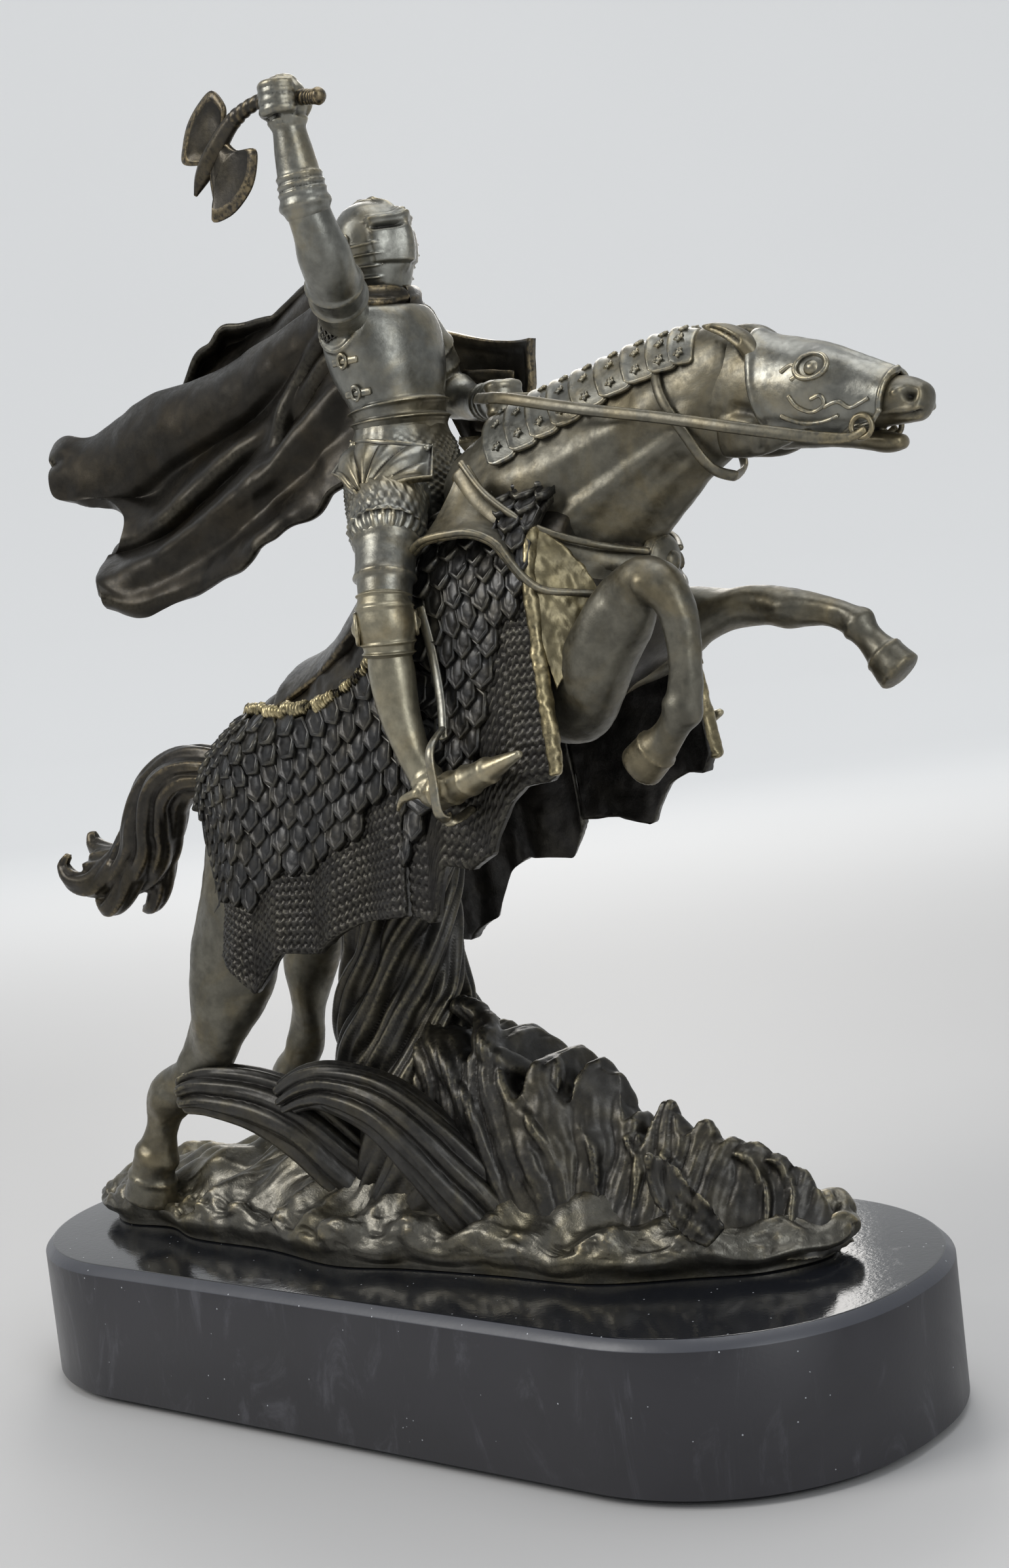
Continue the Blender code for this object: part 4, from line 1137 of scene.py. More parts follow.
@dataclass
class Plinth:
    """The stone slab, the felt under it, and the bolts through it."""

    palette: Palette
    length: float = 250.0
    width: float = 106.0
    corner: float = 50.0
    bottom: float = 1.8
    top: float = 35.0
    chamfer: float = 2.0
    felt_inset: float = 3.0
    arc_points: int = 28
    bolt_places: tuple[float, float] = (50.0, -55.0)

    def outline(self, inset: float) -> Array:
        """The slab's outline, drawn in by inset."""
        points = []
        for quarter, (sx, sy) in enumerate(((1, 1), (-1, 1), (-1, -1), (1, -1))):
            turn = np.radians(90 * quarter + 90 * np.arange(self.arc_points + 1) / self.arc_points)
            x = sx * (self.length / 2 - self.corner) + (self.corner - inset) * np.cos(turn)
            y = sy * (self.width / 2 - self.corner) + (self.corner - inset) * np.sin(turn)
            points.append(np.stack((x, y), -1))
        return np.concatenate(points)

    def slab(self, name: str, profile: Sequence[tuple[float, float]]) -> bpy.types.Object:
        """A flat slab whose edge follows (inset, height) pairs from the bottom up."""
        rings = []
        for inset, height in profile:
            outline = self.outline(inset)
            rings.append(np.column_stack((outline, np.full(len(outline), height))))
        count = len(rings[0])
        quads = grid_quads(len(rings), count, True)
        piece = mesh_object(name, [Shell(np.concatenate(rings), quads).outward()])
        form = bmesh.new()
        form.from_mesh(piece.data)
        bmesh.ops.holes_fill(form, edges=[edge for edge in form.edges if edge.is_boundary])
        bmesh.ops.recalc_face_normals(form, faces=form.faces)
        form.to_mesh(piece.data)
        form.free()
        return piece

    def drill(self, slab: bpy.types.Object, diameter: float, bottom: float, top: float) -> None:
        """Cuts a round hole at each bolt."""
        for x in self.bolt_places:
            form = bmesh.new()
            place = Matrix.Translation((x * MM, 0, (bottom + top) / 2 * MM))
            radius = diameter / 2 * MM
            bmesh.ops.create_cone(
                form, cap_ends=True, segments=40, radius1=radius, radius2=radius, depth=(top - bottom) * MM,
                matrix=place
            )
            mesh = bpy.data.meshes.new("drill")
            form.to_mesh(mesh)
            form.free()
            drill = new_object("drill", mesh)
            step = slab.modifiers.new("hole", "BOOLEAN")
            step.operation = "DIFFERENCE"
            step.object = drill
            take_modifiers(slab)
            bpy.data.objects.remove(drill)

    def build(self, frame: dict) -> None:
        """Makes the slab and felt, and gives the fixings their finish."""
        edge = [
            (0.5, self.bottom), (0.15, self.bottom + 0.15), (0.0, self.bottom + 0.5),
            (0.0, self.top - self.chamfer - 0.25),
            (0.1, self.top - self.chamfer), (self.chamfer - 0.15, self.top - 0.18),
            (self.chamfer + 0.1, self.top - 0.03),
            (self.chamfer + 0.5, self.top),
        ]
        marble = self.slab("marble_slab", edge)
        self.drill(marble, 7.0, 0.0, self.top + 1)
        self.drill(marble, 18.0, 0.0, self.bottom + 8.0)
        marble.data.set_sharp_from_angle(angle=math.radians(30))
        dress(marble, self.palette.marble, ["marble_base"])
        felt = self.slab(
            "felt_sheet",
            [
                (self.felt_inset + 0.3, 0.0), (self.felt_inset, 0.4), (self.felt_inset, 1.2),
                (self.felt_inset + 0.2, 1.5)
            ]
        )
        felt.data.set_sharp_from_angle(angle=math.radians(30))
        dress(felt, self.palette.felt, ["felt_pad"])
        for name in ("mounting_bolt_front", "mounting_bolt_rear", "washer_front", "washer_rear"):
            node = frame["nodes"][name]
            node.data.materials.clear()
            node.data.materials.append(self.palette.zinc)
            log.info("%s: kept, refinished", name)


# ---------------------------------------------------------------- ground and grass


@dataclass
class Ground:
    """The rocky mound: a rough rim over a smooth undercut, and swept grass above it."""

    palette: Palette
    spokes: int = 420
    rows: int = 100
    centre: tuple[float, float] = (-4.0, 1.0)
    base: float = 35.3
    lump: float = 1.8
    outline: tuple = (
        (102, 10), (94, -5), (80, -14), (60, -25), (34, -27), (8, -30), (-13, -34), (-40, -29), (-68, -28),
        (-84, -22), (-100, -23), (-112, -15), (-114, 2), (-106, 17), (-86, 26), (-56, 31), (-22, 34),
        (12, 35), (44, 33), (72, 29), (94, 22),
    )
    profile: tuple = (
        (0.0, 25.0), (0.25, 24.0), (0.45, 21.0), (0.62, 17.0), (0.76, 13.0), (0.86, 10.8), (0.93, 10.0),
        (0.985, 8.4), (1.012, 5.6), (1.0, 3.2), (0.965, 1.3), (0.96, 0.0),
    )

    def build(self) -> None:
        """Makes the casting."""
        closed = self.outline + self.outline[:3]
        k = 1 + len(self.outline) * np.arange(self.spokes) / self.spokes
        rim = spline(closed, k)
        t = np.linspace(0, len(self.profile) - 1, self.rows)
        share = spline(self.profile, t)[:, 0]
        height = np.maximum(spline(self.profile, t)[:, 1], 0.0)
        out = rim - np.array(self.centre)
        x = self.centre[0] + out[None, :, 0] * share[:, None]
        y = self.centre[1] + out[None, :, 1] * share[:, None]
        old = self.lump * (np.sin(0.21 * x + 0.9) * np.cos(0.27 * y) + 0.6 * np.sin(0.43 * x - 0.35 * y))
        z = self.base + np.maximum(height[:, None] + old * np.minimum(1, height / 9)[:, None], 0)
        places = np.stack((x, y, z), -1)
        normals = grid_normals(places, True)
        normals *= np.sign(normals[2, 0, 2])
        at_rim = (ease(share, 0.72, 0.9) * ease(height, 0.4, 3.0))[:, None]
        inside = (1 - ease(share, 0.70, 0.86))[:, None]
        rocks = 1.5 * noise(places, 15, 3, 2) + 1.1 * np.abs(noise(places, 7.5, 5, 2)) - 0.5
        crags = (
            0.55 * (0.5 - np.abs(noise(places, 3.2, 9, 2)))
            - 0.8 * ease(noise(places, 2.6, 11, 1), 0.35, 0.9)
        )
        upper = ease(z - self.base, 4.0, 7.5)
        turn = np.arctan2(y - self.centre[1], x - self.centre[0])
        sweep = np.hypot(x - self.centre[0], (y - self.centre[1]) * 2.6)
        phase = 16 * turn + 0.045 * sweep + 1.6 * noise(places, 26, 21, 2)
        furrows = 0.95 * (np.abs(np.sin(phase)) ** 0.7 - 0.6) + 0.4 * (np.abs(np.sin(2.3 * phase + 1)) - 0.6)
        move = (
            at_rim * (rocks * (0.4 + 0.6 * upper) + crags * upper)
            + inside * (furrows + 0.5 * noise(places, 9, 4))
        )
        move *= ease(z - self.base, 0.0, 2.5)
        places = places + normals * move[..., None]
        places[..., 2] = np.maximum(places[..., 2], self.base)
        piece = mesh_object("ground_mound", [tube_shell(places[1:], 0.0, 0)])
        dress(piece, self.palette.ground, ["ground_casting"], gain=0.9, reach=2)


def strands(turn: Array, u: Array, count: float, twist: float, wander: float, seed: int) -> Array:
    """Rope-like strands round a form.

    Args:
        turn: Degrees round.
        u: Rings along.
        count: How many strands go round.
        twist: How many strands they drift for each ring.
        wander: How much they weave.
        seed: Which weave.

    Returns:
        Heights from 0 in the grooves to 1 on the crests.
    """
    around = np.radians(turn)
    place = np.stack((np.cos(around) * 14, np.sin(around) * 14, u * 9), -1)
    phase = count * around / 2 + math.pi * twist * u + wander * noise(place, 16, seed, 2)
    return np.abs(np.sin(phase)) ** 0.75


@dataclass
class Blade:
    """One cast leaf: its middle line, its widest half-width, and which way its flat faces."""

    path: tuple
    width: float
    facing: tuple[float, float, float] = (0.2, -1.0, 0.1)
    thickness: float = 1.6

    def shell(self) -> Shell:
        """The blade as a closed, hollow-faced leaf with a raised edge."""
        line = smooth_path(self.path, 26)
        f = np.linspace(0, 1, 26)
        half = self.width * (0.35 + 0.65 * ease(f, -0.2, 0.35)) * np.sqrt(np.clip(1 - f**3, 0.02, 1))
        tangent = unit(np.gradient(line, axis=0))
        side = unit(np.cross(tangent, np.asarray(self.facing, float)))
        out = np.cross(side, tangent)
        g = np.linspace(-1, 1, 13)
        lift = 0.30 * np.abs(g) ** 2.2 - 0.12 * np.cos(g * 3 * math.pi) * (1 - np.abs(g))
        places = line[:, None] + side[:, None] * (half[:, None] * g)[..., None]
        places = places + out[:, None] * (half[:, None] * lift)[..., None]
        body = self.thickness * (1 - 0.6 * f)[:, None, None] * (1 - 0.55 * np.abs(g) ** 3)[None, :, None]
        return sheet_shell(places + out[:, None] * body / 2, places - out[:, None] * body / 2)


@dataclass
class Grass:
    """The swirl that carries the horse, the crest of blades ahead of it and two curled tufts."""

    palette: Palette
    plume: tuple = (
        (4, 0, 44, 24, 42), (1, 0, 54, 22, 32), (-4, 0, 66, 18, 25), (-8, 0, 78, 15.5, 20),
        (-9.5, 0, 92, 13, 17), (-8, 0, 106, 12.8, 14), (-8, 0, 120, 13.4, 17), (-8, 0, 132, 14.5, 20),
        (-8, 0, 142, 12, 18),
    )
    ridge: tuple = (
        (2, 86), (8, 87), (12, 86), (15, 83), (17.6, 81), (20, 84.6), (22.4, 86), (24.6, 84.6), (26.5, 80),
        (29, 75), (31.4, 72.6), (33, 77), (34.6, 80.6), (36, 80.7), (37.2, 79.6), (39.2, 81.7),
        (40.6, 79.6), (41.8, 73), (43, 71.4), (44.6, 76.6), (46, 79.3), (48.4, 79.9), (50, 78),
        (51.4, 76.6), (53, 77), (54, 75.6), (54.8, 70), (55.8, 66), (57.2, 67.8), (58.8, 66.4), (60, 62.4),
        (61, 61.4), (62.4, 66), (64, 70.3), (65.6, 71.4), (67.4, 70.4), (69, 66), (70.6, 63.4), (72, 64.4),
        (73.6, 66.8), (75.2, 67.4), (76.8, 66.2), (78.2, 63), (79.6, 61.6), (82, 62.4), (84, 61.8),
        (87, 61.6), (90, 61), (93, 59.9), (96, 58.6), (98.6, 57.4), (101.5, 55.2), (104, 52), (106, 48.4),
        (107.4, 43), (108, 38),
    )
    swell: tuple = (
        (2, 88), (8, 88), (14, 87.5), (20, 87), (26, 85), (32, 83), (40, 82), (48, 80.4), (54, 77),
        (60, 74), (67, 71.6), (75, 68), (84, 63.6), (93, 60.2), (101.5, 55.4), (106, 48.6), (107.4, 43),
        (108, 38),
    )
    reach: tuple = (
        (2, 24), (20, 22.5), (40, 20.5), (52, 17), (64, 16.5), (80, 15), (92, 13), (100, 11.5), (105, 10),
        (108, 7)
    )
    curl_rear: tuple = (
        (-14, -10, 44, 8, 9), (-20, -15, 54, 7.5, 9), (-28, -19, 64, 7, 8.6), (-40, -22, 70.5, 6, 7.5),
        (-53, -25, 73.5, 5, 6.0), (-62, -27, 73.0, 3.4, 4.4),
    )
    curl_middle: tuple = (
        (24, -16, 44, 8, 8), (20, -19, 52, 8, 8.5), (13, -22, 62, 7.5, 8.2), (3, -24, 71.5, 6.5, 7),
        (-10, -25, 76, 5.6, 5.6), (-20, -25, 76, 4.8, 4.8), (-29, -25, 73, 3.0, 3.6),
    )
    sweeps: tuple = (
        (
            (10, 92, 3.0), (17, 88, 3.6), (24, 82, 3.8), (30, 74, 3.4), (36, 64, 2.8), (40, 53, 2.2),
            (42, 44, 1.6)
        ),
        ((2, 88, 2.6), (10, 83, 3.4), (18, 74, 3.4), (25, 63, 2.8), (29, 53, 2.2), (30.5, 44, 1.6)),
        ((24, 77.5, 1.6), (30, 74, 2.6), (36, 68.5, 2.8), (41, 61, 2.4), (44, 53, 2.0), (45.5, 45, 1.4)),
        ((47, 66, 1.6), (50, 60, 2.2), (51.4, 52, 2.0), (51, 44, 1.4)),
        ((57, 63, 1.4), (60, 58, 2.0), (61, 51, 1.8), (60.4, 44, 1.3)),
        ((66, 60, 1.3), (70, 56, 1.8), (73, 50, 1.6), (74, 44, 1.2)),
        ((90, 58.5, 1.4), (95.6, 56.4, 2.2), (98.6, 50.6, 2.0), (99.6, 44, 1.4)),
        ((83, 60, 1.4), (88.6, 57.4, 2.2), (92.6, 51, 2.0), (94, 44, 1.2)),
    )
    single_leaf: tuple = ((86, -16, 46), (82.6, -18.4, 51), (78.6, -20, 57), (76.2, -21, 64.4))

    def build_plume(self) -> None:
        """The swirling column under the belly."""

        def relief(u: Array, turn: Array) -> Array:
            deep = strands(turn, u, 9, -0.95, 0.9, 31)
            fine = strands(turn, u, 26, -2.4, 1.3, 32)
            fade = ease(u, 0.0, 1.0)
            return (
                fade * (3.4 * (deep - 0.62) + 1.15 * (fine - 0.6))
                + 1.0 * fade * np.sin(np.radians(turn) * 2 + u)
            )

        piece = mesh_object("swirling_grass", [Loft(self.plume).solid(190, 220, relief, 0.3)])
        dress(piece, self.palette.grass, ["grass_plume"])

    def wall(self, x: Array, t: Array) -> Array:
        """The crest's surface: t runs from -1 at the right foot over the ridge at 0 to 1 at the left foot."""
        down = np.abs(t)
        near = 1 - ease(x, 30, 58)
        share = 0.14 + 0.76 * near
        out = between(self.reach, x) * (share * down**0.5 + (1 - share) * down**1.45)
        height = 38 + (between(self.swell, x) - 38) * (1 - down ** (1.15 + 1.0 * near))
        height = np.minimum(height, between(self.ridge, x) - 1.5 * down)
        flow = (5.0 * (1 - ease(x, 34, 58)) - 3.0 * ease(x, 58, 72) * (1 - ease(x, 96, 106))) * down**1.2
        veer = self.veer(x)
        return np.stack((x + flow - 0.82 * veer, out * np.sign(t) + veer, height - 0.109 * veer), -1)

    def veer(self, x: Array) -> Array:
        """How far the crest's line bends to the left towards its front end."""
        return 9.0 * ease(x, 66, 106)

    def build_crest(self) -> None:
        """The finger-like blades ahead of the column."""
        columns, around = 420, 150
        x = np.linspace(self.ridge[0][0], self.ridge[-1][0], columns)[:, None] + np.zeros((1, around))
        t = np.linspace(-1, 1, around)[None, :] + np.zeros((columns, 1))
        shells = [tube_shell(self.wall(x, t), 0.0, 0).outward()]
        share = np.linspace(0.03, 1, 80)
        for path in self.sweeps:
            rings = []
            for x, z, size in path:
                face = self.wall(np.full(80, float(x)), -share)
                spot = face[int(np.argmin(np.abs(face[:, 2] - z)))]
                veer = float(self.veer(np.array(float(x))))
                rings.append(
                    (x - 0.82 * veer, spot[1] + 0.25 * size, z - 0.109 * veer, size * 0.8, size * 0.9)
                )
            vein = Loft(rings, (0.5, 1, 0.3))
            shells.append(vein.solid(60, 20, lambda u, turn: 0.3 * np.sin(np.radians(turn) * 3 + u)))
        shells.append(Blade(self.single_leaf, 4.8, (0.5, -1.0, 0.2), 1.7).shell())
        rim = [
            (*(np.array(p) + (-3.6 * k, -1.6, 0.3)), 0.85, 0.85)
            for p, k in zip(self.single_leaf, (0.7, 1.1, 1.2, 0.2))
        ]
        shells.append(Loft(rim, (0, 0, 1)).solid(40, 10))
        piece = fuse("grass_blades", shells, 0.55, 2)

        def combed(p: Array) -> Array:
            slope = 0.45 - 0.7 * ease(p[:, 0], 34, 62)
            drift = p[:, 0] + (p[:, 2] - 60) * slope + 3.4 * noise(p, 17, 43, 2)
            broad = np.abs(np.sin(math.pi * drift / 5.2 + noise(p, 12, 45))) ** 0.8 - 0.6
            lines = np.abs(np.sin(math.pi * drift / 1.9)) ** 0.8 - 0.6
            high = ease(p[:, 2], 42, 52)
            high = high * (1 - 0.7 * ease(p[:, 0], 96, 104))
            return (
                high * (0.8 * broad + 0.22 * lines * (1.0 + 0.6 * noise(p, 9, 44, 1)))
                + 0.3 * noise(p, 4.4, 8, 2)
            )

        sculpt(piece, combed)
        dress(piece, self.palette.grass, ["grass_crest"])

    def curl(self, name: str, rings: tuple, nodes: list[str], seed: int) -> None:
        """One curled tuft with long strands."""

        def relief(u: Array, turn: Array) -> Array:
            return (
                2.0 * (strands(turn, u, 8, 0.25, 0.7, seed) - 0.62)
                + 0.4 * (strands(turn, u, 19, 0.6, 1.0, seed + 1) - 0.6)
            )

        shells = [Loft(rings).solid(110, 110, relief, 0.9)]
        piece = mesh_object(name, shells)
        dress(piece, self.palette.grass, nodes)

    def build(self) -> None:
        """Makes all the grass."""
        self.build_plume()
        self.build_crest()
        self.curl("grass_tuft_rear", self.curl_rear, ["grass_curl_rear"], 51)
        self.curl("grass_tuft_middle", self.curl_middle, ["grass_curl_middle"], 57)


# ---------------------------------------------------------------- horse

TRUNK = Loft(
    (
        (-62, 0, 143, 5, 6), (-57, 0, 142.5, 10, 9), (-48, 0, 142.5, 17, 13.5), (-30, 0, 147.6, 24, 17),
        (-8, 0, 156, 24, 18), (15, 0, 165, 25, 22), (38, 0, 178, 25.5, 27), (56, 0, 184, 24.5, 24),
        (70, 0, 186, 20.5, 19), (75, 0, 189, 9, 11),
    )
)
NECK = Loft(
    (
        (42, 0, 197, 16, 25), (56, 0, 205, 14, 24), (70, 0, 212, 11, 20.5), (86, 0, 219.5, 8.8, 16.2),
        (99, 0, 223.6, 7.4, 13), (104, 0, 224.4, 6.8, 11.6),
    )
)
HEAD = Loft(
    (
        (96, 0, 223.5, 5.6, 10), (104, 0, 222.5, 7.0, 12), (114, 0, 220.5, 7.6, 10.8),
        (124, 0, 219.3, 7.0, 8.8), (133, 0, 217.4, 5.6, 6.6), (140, 0, 215.8, 4.9, 4.9),
        (145, 0, 214.8, 4.4, 3.9),
    )
)
EAR = Loft(
    (
        (111.5, -5, 229.5, 2.2, 2.0), (109.5, -5.4, 232.6, 2.7, 1.9), (105.8, -5.8, 235, 2.1, 1.5),
        (101, -6, 236.6, 0.6, 0.5)
    )
)


@dataclass
class Horse:
    """The leaping horse: trunk, neck and head, four legs and a streaming tail."""

    palette: Palette
    skin: float = 0.5
    foreleg_folded: tuple = (
        (54, -10, 168, 8, 11), (62, -15, 165, 8.5, 12), (72, -18.5, 169, 8, 10), (81, -20.5, 178, 6.6, 7.4),
        (89, -21.5, 185.5, 5.6, 5.8), (95, -22, 184.5, 5.0, 4.8), (98.2, -22, 178, 4.0, 4.0),
        (98.6, -22, 169, 3.4, 3.5), (97, -22, 161, 3.6, 3.9), (92.5, -21.5, 155, 3.2, 3.6),
        (87.5, -21, 151, 4.2, 4.4), (83.5, -20.5, 148, 4.4, 4.8),
    )
    foreleg_reaching: tuple = (
        (56, 9, 171, 8, 11), (66, 14, 174, 7.6, 9.4), (77, 17.5, 177, 6, 6.5), (90, 19.5, 178, 4.6, 4.6),
        (100, 20, 176.6, 4.4, 4.2), (108, 20, 175, 3.3, 3.2), (114, 20, 172.3, 3.2, 3.4),
        (117.5, 20, 168, 2.9, 3.2), (121, 20, 164, 4.0, 4.2), (123.6, 20, 161, 4.4, 4.8),
    )
    hindleg_right: tuple = (
        (-40, -13, 134, 9, 14), (-43, -19, 116, 9, 13), (-47.5, -21, 100, 8, 11), (-54, -22, 87, 6.4, 8),
        (-62, -22, 77.5, 4.8, 5.6), (-73.5, -22, 70, 5.2, 6.2), (-78, -22, 62.5, 3.8, 4.2),
        (-81, -22, 56, 4.6, 5.4), (-84, -22, 50, 5.2, 6.4), (-86, -22, 43, 6.2, 7.6),
    )
    hindleg_left: tuple = (
        (-46, 13, 134, 9, 14), (-54, 19, 114, 8, 11), (-61, 21.5, 97, 6.2, 7), (-64.5, 22, 84, 5, 5.2),
        (-68, 22, 73, 4.4, 4.6), (-74, 22, 65, 5, 5.6), (-77, 22, 56, 3.8, 4.2), (-80, 22, 50, 5, 5.6),
        (-82, 22, 42, 6, 7.4),
    )
    tail: tuple = (
        (-58, 0, 146, 5, 5), (-66, 0, 150, 5.6, 6), (-76, 0, 150.5, 6.2, 6.5), (-85, 0, 146, 6.6, 7.6),
        (-91, 0, 138, 6.8, 8.6), (-95, 0, 131, 7, 8.2), (-104, 0, 125.5, 6.4, 6.6), (-115, 0, 125, 5.2, 5),
        (-125, 0, 126, 2.6, 3),
    )

    def build_trunk(self) -> None:
        """Barrel and haunches, mostly under the caparison."""

        def relief(u: Array, turn: Array) -> Array:
            belly = hill(turn, 270, 40)
            haunch = 1.6 * hill(u, 1.6, 0.9) * (hill(turn, 200, 30) + hill(turn, 340, 30))
            return haunch - 0.4 * belly * hill(u, 5, 1) + 0.25 * np.sin(u * 9) * hill(turn, 225, 30)

        piece = mesh_object("horse_trunk", [TRUNK.solid(90, 96, relief)])
        sculpt(piece, lambda p: 0.25 * noise(p, 8, 61))
        dress(piece, self.palette.dark, ["horse_body"])

    def build_neck(self) -> None:
        """Neck with its muscles and throat."""

        def relief(u: Array, turn: Array) -> Array:
            side = np.where(turn > 180, 360 - turn, turn)
            groove = (
                -1.0 * hill(np.where(np.cos(np.radians(turn)) > 0, turn % 360, 540 - turn), 330, 12)
                * ease(u, 0.4, 2)
            )
            crest = 0.5 * hill(side, 90, 30)
            return groove + crest + 0.5 * np.sin(2.4 * u) * hill(turn, 200, 25) * ease(u, 0.5, 1.2)

        piece = fuse("horse_neck_skin", [NECK.solid(80, 80, relief)], 0.55, 1)

        def muscles(p: Array) -> Array:
            q = on_right(p)
            move = stroke(q, ((46, -16, 210), (66, -12, 214), (88, -9, 222)), 7, 1.2)
            move += stroke(q, ((50, -16, 192), (66, -12, 200), (84, -9, 211), (96, -7, 217)), 6, 1.3)
            move += stroke(q, ((52, -16, 201), (72, -12, 208), (92, -8, 218)), 3.2, -1.0)
            move += stroke(q, ((58, -13, 188), (74, -11, 198), (92, -7, 210)), 2.6, -0.8)
            return move + 0.22 * noise(p, 6, 63)

        sculpt(piece, muscles)
        dress(piece, self.palette.warm, ["horse_neck"])

    def build_head(self) -> None:
        """The skull with jaw, muzzle, open mouth, nostrils, eyes and ears, as one skin."""
        shells = [HEAD.solid(70, 60, None, 0.8)]
        for ear in (EAR, EAR.mirrored()):
            shells.append(ear.solid(30, 20))
        for sign in (-1, 1):
            cheek = (
                (103, sign * 4.2, 214.8, 2.8, 5.6), (110, sign * 4.8, 214, 3.4, 5.4),
                (117, sign * 4.2, 214.8, 2.8, 4.6)
            )
            shells.append(Loft(cheek).solid(24, 24))
            shells.append(
                Loft(
                    (
                        (120, sign * 4.4, 224, 2.0, 2.4), (126, sign * 4.9, 224.2, 2.6, 3.2),
                        (131, sign * 3.8, 222, 1.8, 2.2)
                    )
                ).solid(20, 20)
            )
        lower = (
            (114, 0, 212.5, 3.8, 3), (124, 0, 211.2, 3.4, 2.6), (132, 0, 209.4, 3.0, 2.2),
            (137.5, 0, 207.9, 3.1, 2.1), (140.6, 0, 207.6, 2.4, 1.5)
        )
        shells.append(Loft(lower).solid(40, 24))
        shells.append(
            Loft(
                ((135, 0, 216.6, 4.9, 4.4), (142, 0, 216.4, 4.9, 4.0), (146, 0, 215.6, 3.9, 3.1))
            ).solid(24, 28)
        )
        piece = fuse("horse_head_skin", shells, 0.40, 2)

        def features(p: Array) -> Array:
            q = on_right(p)
            move = dab(q, (145.6, -4.3, 216.2), 2.2, -2.0)
            move += stroke(q, ((142.6, -5.0, 217), (145.4, -4.9, 218.7), (148, -3.4, 217.4)), 1.3, 0.7)
            move += stroke(
                q, ((129, -4.6, 212), (136, -4.6, 211.2), (141, -4.2, 211.2), (147, -3, 212)), 1.5, -1.9
            )
            move += stroke(q, ((132, -4.9, 213.6), (140, -4.9, 213.2), (147, -3.6, 213.4)), 1.2, 0.5)
            move += dab(q, (126.6, -7.4, 224.6), 3.0, -1.3) + dab(q, (126.6, -7.0, 224.6), 2.0, 1.7)
            move += stroke(q, ((122.6, -7.0, 225.6), (126.2, -7.4, 227.4), (130, -6.2, 225.6)), 1.3, 0.9)
            move += stroke(q, ((116, -7.6, 217), (125, -6.8, 215), (134, -5.4, 213.6)), 2.0, 0.8)
            move += stroke(q, ((107, -7, 219), (113, -8, 216), (112, -7, 210)), 2.2, -0.8)
            move += stroke(q, ((109.8, -7.6, 232.2), (106.6, -7.9, 234.2), (103, -7.2, 235.6)), 1.1, -1.4)
            return move + 0.1 * noise(p, 4, 65)

        sculpt(piece, features)
        dress(piece, self.palette.warm, ["horse_head"])

    def leg(
        self, name: str, rings: tuple, nodes: list[str], knee: float, fetlock: float, hoof: float
    ) -> None:
        """One leg with tendons, joints and a hoof.

        Args:
            name: The piece's name.
            rings: Its stations.
            nodes: The frame's nodes that it stands for.
            knee: The knee's or hock's ring.
            fetlock: The fetlock's ring.
            hoof: Where the hoof starts.
        """

        def relief(u: Array, turn: Array) -> Array:
            back, front = hill(turn, 90, 28), hill(turn, 270, 30)
            sides = hill(turn, 180, 24) + hill(turn, 0, 24) + hill(turn, 360, 24)
            upper = 1 - ease(u, knee - 1.2, knee - 0.4)
            cannon = ease(u, knee + 0.3, knee + 0.8) * (1 - ease(u, fetlock - 0.5, fetlock - 0.1))
            move = upper * (0.9 * np.sin(3.1 * u + np.radians(turn) * 2)) * 0.8
            move += 0.9 * hill(u, knee, 0.3) * (sides + 0.5 * front) - 0.5 * cannon * sides
            move += 0.6 * hill(u, fetlock, 0.26) * (1 + back)
            wall = ease(u, hoof - 0.06, hoof + 0.05)
            return move + 0.7 * hill(u, hoof - 0.04, 0.07) + wall * (0.25 - 0.08 * np.sin(u * 60))

        shells = [Loft(rings).solid(150, 64, relief, 0.25)]
        piece = fuse(name, shells, self.skin, 1)
        sculpt(piece, lambda p: 0.18 * noise(p, 5, 67))
        dress(piece, self.palette.warm, nodes)

    def build_tail(self) -> None:
        """Thick strands in an S, that part into curled tips."""

        def relief(u: Array, turn: Array) -> Array:
            return (
                2.0 * (strands(turn, u, 7, 0.35, 1.0, 71) - 0.6)
                + 0.5 * (strands(turn, u, 18, 0.7, 1.2, 72) - 0.6)
            )

        shells = [Loft(self.tail[:8]).solid(130, 110, relief, 0.8)]
        locks = (
            (
                (-104, -3, 127, 4, 4.4), (-112, -5, 122.5, 3.4, 3.6), (-119, -6, 123.5, 2.6, 2.6),
                (-122.5, -6, 127.5, 1.6, 1.7), (-120, -6, 130.5, 0.8, 0.9)
            ),
            (
                (-104, 2, 128, 4, 4.2), (-113, 3, 128.5, 3.4, 3.4), (-120, 4, 131.5, 2.4, 2.4),
                (-121, 4, 135, 1.2, 1.3)
            ),
            (
                (-96, -2, 128, 4, 4.4), (-102, -4, 119.5, 3.4, 3.4), (-107.5, -5, 116, 2.4, 2.4),
                (-111, -5, 118.5, 1.0, 1.2)
            ),
            (
                (-92, 3, 132, 4, 4), (-95, 4, 122, 3.2, 3.4), (-99.5, 4, 115.5, 2.2, 2.2),
                (-103.5, 4, 113.8, 0.9, 1.0)
            ),
            (
                (-106, 4, 124, 3.4, 3.4), (-115, 5, 120.5, 2.6, 2.8), (-122, 5, 118.5, 1.4, 1.5),
                (-125, 4, 120.5, 0.8, 0.8)
            ),
        )

        def lock_relief(u: Array, turn: Array) -> Array:
            return 0.8 * (strands(turn, u, 5, 0.4, 0.8, 73) - 0.6)

        shells += [Loft(lock).solid(44, 36, lock_relief) for lock in locks]
        piece = fuse("horse_tail_hair", shells, 0.5, 0)
        dress(piece, self.palette.dark, ["tail"])

